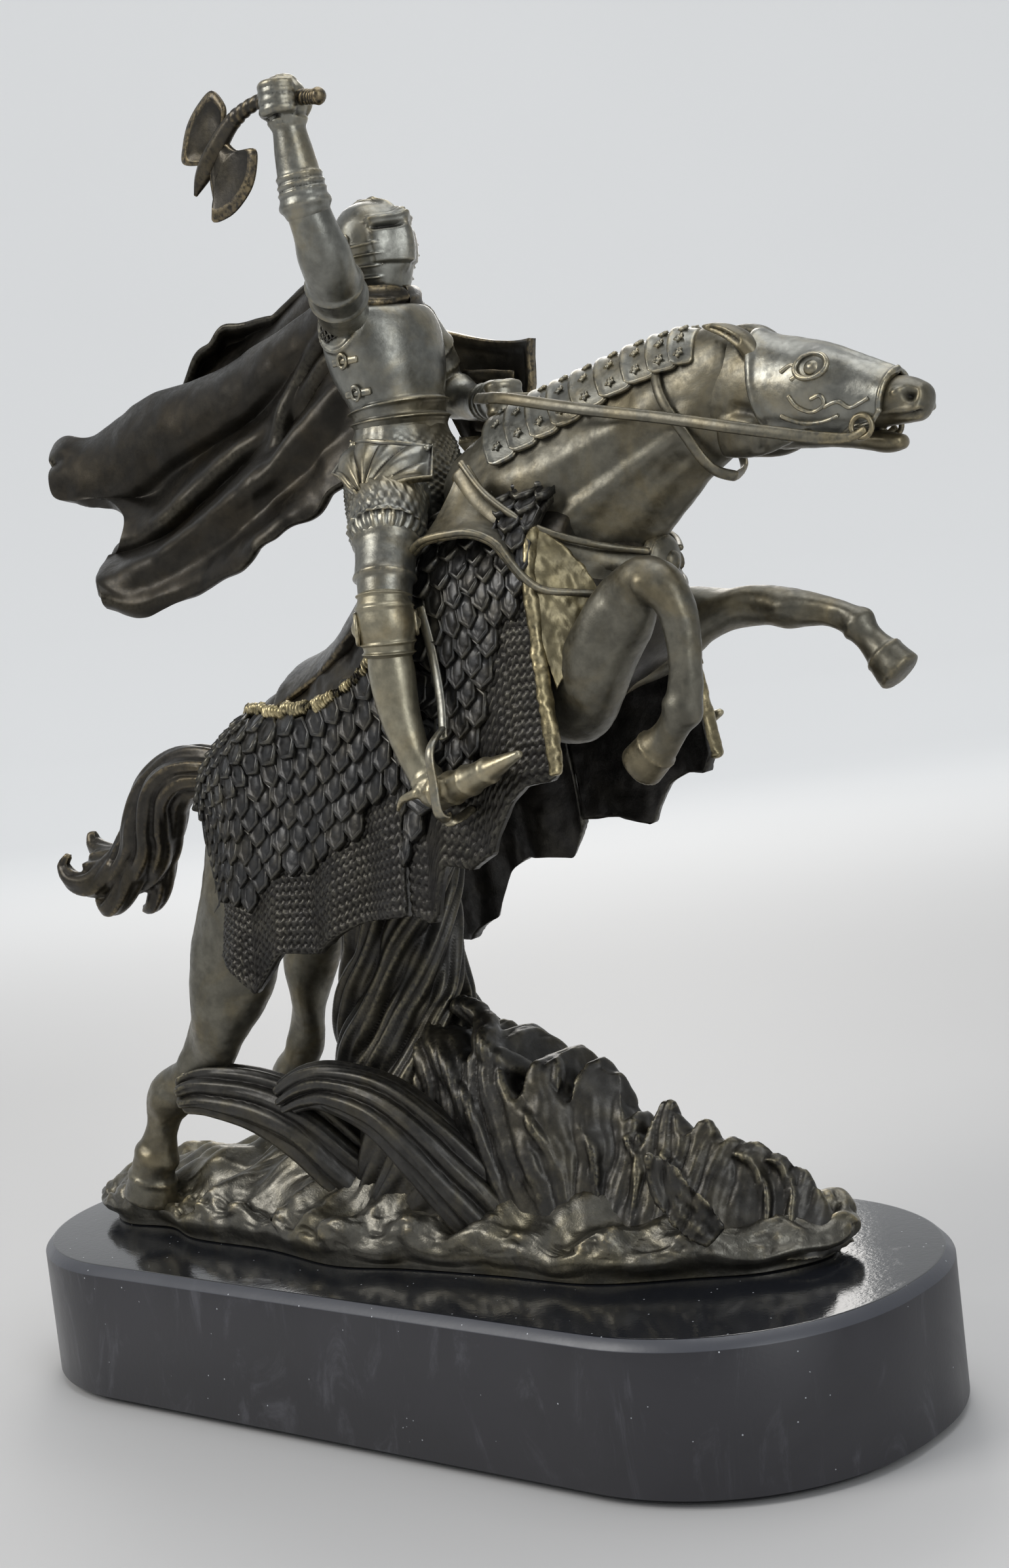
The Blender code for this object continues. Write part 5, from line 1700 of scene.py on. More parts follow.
    def build(self) -> None:
        """Makes the horse."""
        self.build_trunk()
        self.build_neck()
        self.build_head()
        self.leg("horse_foreleg_right", self.foreleg_folded, ["foreleg_right"], 4.6, 8.2, 9.9)
        self.leg("horse_foreleg_left", self.foreleg_reaching, ["foreleg_left"], 3.8, 6.2, 7.8)
        self.leg("horse_hindleg_right", self.hindleg_right, ["hindleg_right"], 5.0, 7.2, 8.2)
        self.leg("horse_hindleg_left", self.hindleg_left, ["hindleg_left"], 5.0, 7.0, 7.6)
        self.build_tail()


# ---------------------------------------------------------------- horse armour and cloth

SHEET_OUT = 3.2
SADDLE_OUT = 4.2


@dataclass
class HorseArmour:
    """Head plate, neck lames with rosettes, breast plate with its rolled band, and the saddle."""

    palette: Palette
    repeater: Repeater
    lame_count: int = 9
    plate: float = 1.1
    cheek_drop: tuple = (
        (0, 38), (0.14, 52), (0.3, 46), (0.42, 60), (0.55, 66), (0.66, 50), (0.8, 46), (0.9, 40), (1, 18)
    )
    lip: tuple = (
        (79.5, 0, 182.5), (77, -10, 183.4), (72.4, -19, 185.2), (67.6, -25.4, 186.6), (64.6, -27.6, 189.2),
        (61.8, -28.8, 193.6), (59, -30, 197.8), (53.6, -31.4, 200.6), (46, -31.6, 200.9), (40, -31.4, 200),
        (35, -30.4, 197.6),
    )
    seam: tuple = (
        (82, 0, 190), (80, -7, 190), (74.5, -14, 191.5), (66, -18.5, 194.5), (58, -20.5, 198.5),
        (51, -21, 204), (46, -20.5, 210), (43, -19.5, 215),
    )
    scrolls: tuple = (
        ((2.7, 92), (2.9, 104), (3.25, 110), (3.5, 100), (3.4, 90), (3.2, 95)),
        ((3.5, 104), (3.8, 96), (4.1, 104), (4.4, 96), (4.6, 88)),
        ((2.5, 112), (2.9, 122), (3.4, 124), (3.8, 116)),
        ((2.5, 66), (2.7, 58), (2.9, 66), (2.75, 74)),
    )

    def build_chanfron(self) -> None:
        """The head plate, with an eye rim, a scalloped cheek edge and scroll relief."""

        f, g = grid(100, 130)
        side = np.abs(2 * g - 1)
        start = 1.35 + 0.75 * side**1.6
        u = start + (5.1 - 0.1 * side - start) * f
        drop = between(self.cheek_drop, f[:, 0])[:, None]
        turn = 90 + (90 + drop) * (2 * g - 1)
        brow = hill(np.hypot((u - 3.25) / 0.42, (np.abs(turn - 90) - 52) / 26), 0.0, 1.0)
        out = 1.3 + 0.3 * ease(side, 0.93, 1.0) + 1.6 * brow + 0.4 * hill(side, 0.0, 0.06) * ease(f, 0.1, 0.3)
        out = out + 0.35 * hill(f, 0.03, 0.03) + 0.35 * hill(f, 0.975, 0.02)
        shells = [sheet_shell(HEAD.points(u, turn, out), HEAD.points(u, turn, out - self.plate))]
        for sign in (-1, 1):
            shells.append(ring_shell((126.4, sign * 8.0, 224.6), (0.12, sign, 0.5), 3.5, 0.6, 0.8, 36))
            shells.append(dome_shell((126.4, sign * 7.2, 224.2), (0.12, sign, 0.5), 2.0, 1.5, 20))
            rim = []
            for t, d in self.cheek_drop:
                rim.append((*HEAD.points(2.1 + 2.9 * t, 90 - sign * (88.5 + d), 1.5), 0.55, 0.55))
            shells.append(Loft(rim, (0.2, 0.3, 1)).solid(90, 8))
            for scroll in self.scrolls:
                line = [(*HEAD.points(a, 90 - sign * b, 1.5), 0.5, 0.42) for a, b in scroll]
                shells.append(Loft(line, (0.2, 0.3, 1)).solid(44, 8))
        piece = mesh_object("horse_head_plate", shells)
        sculpt(piece, lambda p: 0.08 * noise(p, 3, 81))
        dress(piece, self.palette.plate, ["chanfron"])

    def build_crinet(self) -> None:
        """Overlapping neck lames with rounded lower corners, each with its rosettes."""
        first, last = 0.9, 4.1
        pitch = (last - first) / self.lame_count
        for index in range(self.lame_count):
            end = last - index * pitch
            start = end - pitch * 1.25
            f, g = grid(14, 60)
            corner = 0.10 * pitch * (np.abs(2 * g - 1) ** 6)
            u = start + corner + (end - start - 2 * corner) * f
            turn = 90 + 63 * (2 * g - 1) * (1 - 0.05 * np.abs(2 * f - 1) ** 4)
            out = 0.8 + 1.35 * (1 - f) + 0.35 * hill(f, 0.04, 0.05) + 0.2 * ease(np.abs(2 * g - 1), 0.93, 1.0)
            shell = sheet_shell(NECK.points(u, turn, out), NECK.points(u, turn, out - 0.95))
            piece = mesh_object(f"neck_lame_{index + 1}", [shell])
            settings = []
            for angle in (38, 57, 76, 104, 123, 142):
                at = start + 0.42 * (end - start)
                place = NECK.points(at, angle, 1.72)
                facing = place - NECK.points(at, angle, 1.0)
                along = NECK.points(at + 0.1, angle, 2.0) - NECK.points(at, angle, 2.0)
                settings.append(Setting(place, along, facing))
            flowers = self.repeater.lay(
                f"neck_rosettes_{index + 1}", rosette_pattern(), settings, (2.7, 2.7, 0.5),
                self.palette.plate
            )
            dress(piece, self.palette.plate, [f"crinet_lame_{index + 1}"])
            dress(flowers, self.palette.plate, [])

    def build_peytral(self) -> None:
        """The breast plate: flared and scalloped below, with a rolled band above that meets at a boss."""
        rows, columns = 44, 220
        f = np.linspace(0, 1, rows)[:, None] + np.zeros((1, columns))
        g = np.linspace(-1, 1, columns)[None, :] + np.zeros((rows, 1))
        side = np.stack((np.ones_like(g), -np.sign(g), np.ones_like(g)), -1)
        lip = spline(self.lip, np.abs(g) * (len(self.lip) - 1)) * side
        seam = spline(self.seam, np.abs(g) * (len(self.seam) - 1)) * side
        places = lip + (seam - lip) * f[..., None]
        inward = unit(np.stack((places[..., 0] - 52, places[..., 1], 0 * f), -1))
        places = (
            places
            - inward
            * (1.5 * np.sin(math.pi * f**0.8) - 0.5 * np.sin(np.abs(g) * 16) * (1 - f) ** 2)[..., None]
        )
        shells = [plate_shell(places, 1.4)]
        rim = [(*place, 0.85, 0.85) for place in places[0, ::6]]
        shells.append(Loft(rim, (0.2, 0.1, 1)).solid(220, 10))
        for sign in (-1, 1):
            band_path = (
                (43, sign * 19, 214), (50, sign * 20.5, 205.5), (61, sign * 19.5, 197.5),
                (72, sign * 14, 192.5), (80, sign * 6, 190)
            )
            shells.append(band(band_path, (5.2, 5.4, 5.6, 5.4, 5.0), 3.0, (0.1, sign, 0.4), 60, 14))
            edge_path = (
                (44.5, sign * 20.4, 216), (52, sign * 21.5, 207.8), (63, sign * 20.4, 200),
                (74, sign * 14.6, 195), (81, sign * 6, 192.4)
            )
            shells.append(band(edge_path, (1.6, 1.6, 1.6, 1.6, 1.4), 1.6, (0.1, sign, 0.4), 60, 10))
        shells.append(dome_shell((80, 0, 190), (1, 0, -0.15), 6.0, 3.2, 24))
        shells.append(ring_shell((80.6, 0, 190), (1, 0, -0.15), 5.0, 0.8, 1.0, 30))
        shells.append(dome_shell((83, 0, 189.6), (1, 0, -0.15), 2.4, 1.4, 16))
        piece = mesh_object("breast_plate", shells)
        sculpt(piece, lambda p: 0.1 * noise(p, 5, 83))
        dress(piece, self.palette.warm, ["peytral"])

    def build_saddle(self) -> None:
        """Saddle with a raised pommel and cantle."""
        f, g = grid(60, 70)
        rise = 2.0 * hill(f, 0.02, 0.13) + 13 * hill(f, 0.98, 0.12)
        middle = hill(g, 0.5, 0.36)
        u = 3.75 + (5.8 - 3.75) * f
        turn = 145 - 110 * g
        out = SADDLE_OUT + 1.2 + 1.6 * ease(f, 0.3, 0.7) + rise * middle
        shells = [sheet_shell(TRUNK.points(u, turn, out), TRUNK.points(u, turn, 3.6 + 0 * f))]
        piece = fuse("saddle_seat", shells, 0.7, 1)
        sculpt(piece, lambda p: 0.15 * noise(p, 5, 87))
        dress(piece, self.palette.dark, ["saddle"])

    def build(self) -> None:
        """Makes the armour."""
        self.build_chanfron()
        self.build_crinet()
        self.build_peytral()
        self.build_saddle()


@dataclass
class Drape:
    """Cloth over the trunk that hangs plumb from its widest points down to a shaped hem."""

    span: tuple[float, float]
    hems: dict
    flare: float
    lead: float = 0.0
    pinch: float = 0.0
    lean: float = 0.0
    wave: float = 1.4
    wave_count: float = 5.0
    out: float = SHEET_OUT
    rows: int = 120
    over: int = 60
    hang: int = 60

    def __post_init__(self) -> None:
        """Works out each side's grid of points, from the top of the back down to the hem."""
        self.grids = {}
        over = np.linspace(0, 1, self.over)[None, :]
        s = np.linspace(0, 1, self.rows)[:, None]
        start = self.span[0] + self.lead * over**2
        f = np.linspace(0, 1, self.hang)[None, 1:]
        ripple = self.wave * np.sin(s * self.wave_count * 2 * math.pi + 0.6)
        outward = self.flare * f + ripple * f**1.5
        shift = self.pinch * (1 - s) ** 4 * np.sin(math.pi * f) + self.lean * s**3 * f
        for side in Side:
            top = TRUNK.points(start + (self.span[1] - start) * s, 90 - side.value * 90 * over, self.out)
            edge = top[:, -1]
            drop = np.maximum(edge[:, 2] - between(self.hems[side], edge[:, 0] + shift[:, -1]), 0.5)
            fall = np.stack(
                (
                    edge[:, None, 0] + shift,
                    edge[:, None, 1] + side.value * outward,
                    edge[:, None, 2] - drop[:, None] * f,
                ),
                -1,
            )
            line = np.concatenate((top, fall), 1)
            steps = np.linalg.norm(np.diff(line, axis=1), axis=2)
            reach = np.concatenate((np.zeros((self.rows, 1)), np.cumsum(steps, 1)), 1)
            count = 160
            even = np.empty((self.rows, count, 3))
            for row in range(self.rows):
                share = np.linspace(0, reach[row, -1], count)
                for axis in range(3):
                    even[row, :, axis] = np.interp(share, reach[row], line[row, :, axis])
            self.grids[side] = even

    def at(self, side: Side, s: Array, t: Array, out: Array = 0.0) -> Array:
        """Places on the cloth.

        Args:
            side: Which side of the horse.
            s: Share of the way from rear to front.
            t: Share of the way from the back's top to the hem.
            out: How far off the cloth.

        Returns:
            One place for each pair.
        """
        grid = self.grids[side]
        s, t, out = np.broadcast_arrays(*(np.asarray(value, float) for value in (s, t, out)))

        def read(a: Array, b: Array) -> Array:
            x = np.clip(a, 0, 1) * (grid.shape[0] - 1)
            y = np.clip(b, 0, 1) * (grid.shape[1] - 1)
            i, j = np.minimum(x.astype(int), grid.shape[0] - 2), np.minimum(y.astype(int), grid.shape[1] - 2)
            p, q = (x - i)[..., None], (y - j)[..., None]
            near = grid[i, j] * (1 - q) + grid[i, j + 1] * q
            return near * (1 - p) + (grid[i + 1, j] * (1 - q) + grid[i + 1, j + 1] * q) * p

        place = read(s, t)
        along = read(s + 0.02, t) - read(s - 0.02, t)
        down = read(s, t + 0.02) - read(s, t - 0.02)
        normal = unit(np.cross(along, down)) * side.value
        return place + normal * out[..., None]

    def frame_at(self, side: Side, s: float, t: float, out: float) -> tuple[Array, Array, Array]:
        """Place, downward direction and outward direction at one spot."""
        place = self.at(side, s, t, out)
        down = self.at(side, s, min(t + 0.03, 1), out) - self.at(side, s, t - 0.03, out)
        return place, unit(down), unit(self.at(side, s, t, out + 1.0) - place)

    def length_at(self, side: Side, s: float) -> float:
        """The cloth's length from the back's top to the hem."""
        row = self.grids[side][int(np.clip(s, 0, 1) * (self.rows - 1))]
        return float(np.linalg.norm(np.diff(row, axis=0), axis=1).sum())

    def sheet(
        self, side: Side, s: tuple[float, float], t: tuple[float, float], rows: int, columns: int,
        relief: Relief, thickness: float
    ) -> Shell:
        """Part of the cloth as a closed plate, with relief on its outer skin."""
        a = np.linspace(*s, rows)[:, None] + np.zeros((1, columns))
        b = np.linspace(*t, columns)[None, :] + np.zeros((rows, 1))
        return sheet_shell(
            self.at(side, a, b, relief(a, b)), self.at(side, a, b, relief(a, b) * 0 - thickness)
        )

    def whole(self, rows: int, columns: int, thickness: float) -> Shell:
        """The whole cloth over both sides as one plain plate."""
        a, b = grid(rows, columns)
        skins = []
        for out in (0.0, -thickness):
            right, left = self.at(Side.RIGHT, a, b, out), self.at(Side.LEFT, a, b, out)
            skins.append(np.concatenate((right[:, ::-1], left[:, 1:]), 1))
        return sheet_shell(*skins)


def dagged(low: Sequence[tuple[float, float]], sharp: float = 0.75) -> tuple:
    """A hem of points: (x, z) pairs from tip to notch, with the sides of each dag bowed."""
    rows = []
    for (x0, z0), (x1, z1) in zip(low, low[1:]):
        for f in np.linspace(0, 1, 9)[:-1]:
            g = f**sharp if z1 > z0 else 1 - (1 - f) ** sharp
            rows.append((x0 + (x1 - x0) * f, z0 + (z1 - z0) * g))
    return (*rows, low[-1])


@dataclass
class Caparison:
    """The horse's armoured cloth: rows of scales over mail that ends in points."""

    palette: Palette
    repeater: Repeater
    thickness: float = 1.6
    scale_width: float = 5.4
    scale_length: float = 9.2
    row_pitch: float = 5.3
    mail_pitch: float = 1.9
    rear_hem_right: tuple = (
        (-56, 113), (-50, 99.5), (-40, 108), (-27.5, 99.8), (-16, 110), (-6, 109.5), (10, 117), (27, 119),
    )
    rear_hem_left: tuple = (
        (-56, 112), (-47, 100), (-38, 108), (-27, 101), (-12, 101), (-3, 107), (1, 118), (10, 122),
        (21, 121), (27, 131),
    )
    front_hem_right: tuple = (
        (26, 119), (33, 117), (37, 130), (44, 128.5), (50, 132), (55, 140), (61, 146.2), (67, 146.8),
        (71, 151),
    )
    front_hem_left: tuple = ((26, 131), (38, 131), (48, 129), (53, 138), (60, 141), (66, 141), (73, 150))
    lappet: tuple = ((74.5, -15, 184), (73.5, -18.5, 178.5), (71.5, -23, 172), (69.2, -27.4, 166))
    panel_edge: tuple = (
        (0, -0.1), (0.33, 0.0), (0.42, 0.14), (0.55, 0.27), (0.65, 0.33), (0.75, 0.38), (0.87, 0.40),
        (1, 0.38),
    )

    def scales(
        self, name: str, drape: Drape, s_range: tuple[float, float], top: tuple, bottom: tuple
    ) -> None:
        """Rows of overlapping scales on both sides.

        Args:
            name: The piece's name.
            drape: The cloth.
            s_range: Where they start and end along the horse.
            top: Where they start down the cloth, as (share along, share down) pairs.
            bottom: Where they end, as such pairs.
        """
        settings = []
        lowest = max(share for _, share in bottom)
        for side in Side:
            length = drape.length_at(side, 0.5)
            wide = float(np.linalg.norm(drape.at(side, s_range[1], 0.4) - drape.at(side, s_range[0], 0.4)))
            columns = max(3, round(wide / self.scale_width))
            rows = int((lowest - 0.02) * length / self.row_pitch)
            for row in range(rows + 1):
                t = lowest - row * self.row_pitch / length
                for column in range(columns + 1):
                    s = s_range[0] + (s_range[1] - s_range[0]) * (column + 0.5 * (row % 2)) / columns
                    if s > s_range[1] or t < between(top, s) or t > between(bottom, s):
                        continue
                    place, down, facing = drape.frame_at(side, s, t, 1.0)
                    here = drape.at(side, s, t)
                    beside = (
                        drape.at(side, min(s + 0.5 / columns, 1), t)
                        - drape.at(side, max(s - 0.5 / columns, 0), t)
                    )
                    width = np.linalg.norm(beside) / self.scale_width
                    wobble = float(noise(here[None], 7, 91, 1)[0])
                    tilt = unit(down + facing * (0.16 + 0.05 * wobble))
                    face = unit(facing - tilt * (facing @ tilt))
                    size = (0.94 * width, 1.0 + 0.05 * wobble, 1.0)
                    settings.append(Setting(place, -tilt, face, size))
        piece = self.repeater.lay(
            name, scale_pattern(), settings, (self.scale_width, self.scale_length, 1.3), self.palette.scale
        )
        sculpt(piece, lambda p: 0.12 * noise(p, 3.0, 92, 2))
        dress(piece, self.palette.scale, [], gain=0.6, reach=0)

    def mail(self, s: Array, t: Array, drape: Drape) -> Array:
        """Rows of small links, as chevrons."""
        down = t * 78.0 / self.mail_pitch
        along = s * 100.0 * (drape.span[1] - drape.span[0]) / 4.35 / (self.mail_pitch * 1.15)
        wave = 0.22 * np.sin(2 * math.pi * along)
        links = (
            np.abs(np.sin(math.pi * (down + wave))) ** 0.8
            * (0.72 + 0.28 * np.abs(np.sin(math.pi * along + 0.5 * math.pi * np.floor(down))))
        )
        return 0.35 + 0.75 * links

    def mail_cloth(
        self, name: str, drape: Drape, edge: tuple, spread: tuple[float, float], rows: int
    ) -> None:
        """The mail below the scales on both sides.

        Args:
            name: The piece's name.
            drape: The cloth.
            edge: Where the scales end, as (share along, share down) pairs.
            spread: The shares along that it covers.
            rows: How finely it is cut along the horse.
        """

        def relief(s: Array, t: Array) -> Array:
            low = between(edge, s)
            return 0.15 + self.mail(s, t, drape) * ease(t, low - 0.05, low + 0.02)

        first = min(share for _, share in edge) - 0.06
        shells = [
            drape.sheet(side, spread, (first, 1.0), rows, 100, relief, self.thickness + 0.3)
            for side in Side
        ]
        piece = mesh_object(name, shells)
        sculpt(piece, lambda p: 0.3 * noise(p, 5.0, 95, 2))
        dress(piece, self.palette.mail, [], reach=1)

    def build_rear(self) -> None:
        """The rear cloth over the haunches, with the plain panel behind the saddle and its frayed trim."""
        hems = {Side.RIGHT: dagged(self.rear_hem_right), Side.LEFT: dagged(self.rear_hem_left)}
        drape = Drape((1.0, 5.45), hems, 5.0, lead=0.85, pinch=5.0, wave=1.3, wave_count=4.3)
        cloth = mesh_object("rear_cloth", [drape.whole(72, 84, self.thickness)])
        dress(cloth, self.palette.mail, ["caparison_rear"])
        top = [(s, max(0.02, t + 0.02)) for s, t in self.panel_edge]
        bottom = ((0.0, 0.80), (0.3, 0.78), (0.6, 0.76), (1.0, 0.72))
        self.scales("rear_scales", drape, (0.0, 0.985), top, bottom)
        self.mail_cloth("rear_mail", drape, bottom, (0.0, 1.0), 175)
        shells, trims = [], []
        for side in Side:
            s = np.linspace(0.335, 1.0, 80)
            rows = [(*drape.at(side, a, between(self.panel_edge, a), 1.6), 1.3, 1.0) for a in s]
            trims.append(
                Loft(rows, (0, 0, 1)).solid(300, 12, lambda u, turn: 0.3 * np.sin(u * 5 + np.radians(turn)))
            )
            a = np.linspace(0.335, 1.0, 90)[:, None] + np.zeros((1, 40))
            b = np.maximum(between(self.panel_edge, a[:, 0]), 0.0)[:, None] * np.linspace(0, 1, 40)[None, :]
            out = 1.3 + 0.7 * noise(np.stack((a * 110, b * 90, a * 0), -1), 7, 97, 3)
            shells.append(sheet_shell(drape.at(side, a, b, out), drape.at(side, a, b, out - 1.6)))
        panel = mesh_object("saddle_cloth", shells)
        sculpt(panel, lambda p: 0.15 * noise(p, 2.6, 98, 2))
        dress(panel, self.palette.dark, [])
        trim = mesh_object("frayed_trim", trims)
        sculpt(trim, lambda p: 0.9 * noise(p, 3.2, 94, 2))
        dress(trim, self.palette.gold, [])

    def build_front(self) -> None:
        """The front cloth over the shoulders, with its folded front edge."""
        hems = {Side.RIGHT: dagged(self.front_hem_right), Side.LEFT: dagged(self.front_hem_left)}
        drape = Drape((5.5, 7.55), hems, 4.0, lean=4.0, wave=0.8, wave_count=1.6, rows=60)
        cloth = mesh_object("front_cloth", [drape.whole(38, 84, self.thickness)])
        dress(cloth, self.palette.mail, ["caparison_front"])
        bottom = ((0.0, 0.84), (0.5, 0.80), (0.62, 0.66), (0.8, 0.52), (1.0, 0.50))
        self.scales("front_scales", drape, (0.0, 0.97), ((0, 0.1), (1, 0.1)), bottom)
        self.mail_cloth("front_mail", drape, bottom, (0.0, 1.0), 90)
        shells = []
        for side in Side:
            edge = [(*drape.at(side, 0.995, t, 0.4), 1.7, 1.3) for t in np.linspace(0.32, 1.0, 14)]
            shells.append(Loft(edge, (0.3, 1, 0.2)).solid(140, 16))
            f, g = grid(40, 30)
            near = drape.at(side, 0.99, 0.30 + 0.27 * f, 0.8)
            far = spline([(x, y * -side.value, z) for x, y, z in self.lappet], f * (len(self.lappet) - 1))
            places = near + (far - near) * g[..., None]
            places[..., 0] += 2.2 * np.sin(math.pi * g) * (1 - f)
            shells.append(plate_shell(places, 1.6))
        piece = mesh_object("folded_front_edge", shells)
        sculpt(piece, lambda p: 0.45 * noise(p, 2.6, 99, 2))
        dress(piece, self.palette.gold, [])

    def build(self) -> None:
        """Makes both cloths."""
        self.build_rear()
        self.build_front()


# ---------------------------------------------------------------- rider

HIPS = Loft(
    (
        (10, 0, 199, 11, 10), (10, 0, 205, 15, 12.4), (10.4, 0, 213, 16.2, 13), (10.8, 0, 220, 15, 12.2),
        (11, 0, 227, 12, 10.4)
    )
)
CUIRASS = Loft(
    (
        (11.2, 0, 227.6, 11.6, 10.2), (11, 0, 233, 11.8, 10.4), (10, 0, 240, 14, 12.2),
        (8.4, 0, 248, 15.2, 12.6), (7.4, 0, 254.5, 14.2, 11.0), (8.0, 0, 259, 9.4, 8.6),
        (9.0, 0, 262, 6.2, 6.8),
    )
)
HELMET = Loft(
    (
        (8.6, 0, 257.0, 6.0, 6.6), (9.0, 0, 262.5, 7.8, 8.8), (9.0, 0, 268.5, 8.9, 9.9),
        (8.6, 0, 274.4, 8.1, 9.2), (8.4, 0, 278.4, 5.6, 6.4), (8.4, 0, 280.2, 2.0, 2.4),
    )
)
THIGH = Loft(
    (
        (15, -9, 210, 8, 9), (21, -18, 210.5, 8.2, 8.8), (27, -26, 206, 7.6, 8.0),
        (30.4, -33, 196, 6.4, 6.7), (31.6, -36, 187, 5.4, 5.6), (31.6, -36.4, 181, 4.7, 4.9),
    )
)
GREAVE = Loft(
    (
        (31.8, -36.4, 180, 4.3, 4.6), (31.6, -36.6, 173, 4.7, 5.1), (32.8, -36.8, 164, 4.2, 4.7),
        (35.2, -36.6, 155, 3.6, 3.8), (37.8, -36.4, 149.5, 3.2, 3.6), (40.5, -36.8, 146.5, 3.8, 3.6),
        (47, -37.4, 147.6, 4, 3.4), (56, -38, 150.4, 3.4, 2.7), (65, -38, 153.6, 1.2, 1.0),
    )
)
UPPER_ARM = Loft(
    (
        (10, -14, 254.5, 5.9, 5.9), (15.5, -21, 257, 6.2, 6.3), (20, -28, 262, 5.7, 6.0),
        (21.6, -32, 268, 4.9, 5.2), (21.6, -34, 273.4, 4.7, 4.9),
    )
)
FOREARM = Loft(
    (
        (21.6, -34.4, 274, 4.8, 5), (21.3, -35, 279, 4.8, 5), (20.9, -35.6, 286, 4.2, 4.4),
        (20.6, -36, 292, 3.6, 3.7), (20.4, -36, 295.5, 4.2, 4.8), (20.3, -36, 299, 4.3, 5.0),
        (20.2, -36, 300.8, 3.2, 3.8),
    )
)
LEFT_ARM = Loft(
    (
        (8.4, 12.5, 252, 5.6, 5.6), (6.4, 19.5, 246, 5.6, 5.8), (6.0, 23.6, 238, 4.8, 5.0),
        (13, 23.4, 233.5, 4.3, 4.5), (22.5, 18.5, 232, 3.8, 4.0), (30.6, 13, 231.5, 3.9, 4.2),
        (35.5, 8, 230.5, 2.8, 3.2),
    )
)
KNEE = Loft(
    (
        (31.6, -36, 189.5, 5.2, 5.4), (31.7, -36.4, 187, 5.5, 5.8), (31.7, -36.5, 183, 5.6, 6.0),
        (31.7, -36.5, 179.4, 5.1, 5.5), (31.6, -36.5, 177, 4.8, 5.2),
    )
)


def lames(u: Array, edges: Sequence[float], step: float, pitch: float = 0.3) -> Array:
    """Overlapping plate edges along a form: each steps down after its rolled lip."""
    move = np.zeros_like(u)
    for edge in edges:
        move += (
            step * 1.1 * hill(u, edge, pitch * 0.14)
            + step * ease(u, edge - pitch, edge) * (1 - ease(u, edge, edge + 0.03))
        )
    return move


def finger(path: Sequence[Sequence[float]], size: float) -> Shell:
    """One armoured finger, swollen at its joints."""
    joints = Loft([(*place, size, size) for place in path], (0, 0, 1))
    return joints.solid(26, 12, lambda u, turn: 0.2 * np.abs(np.sin(u * math.pi)))


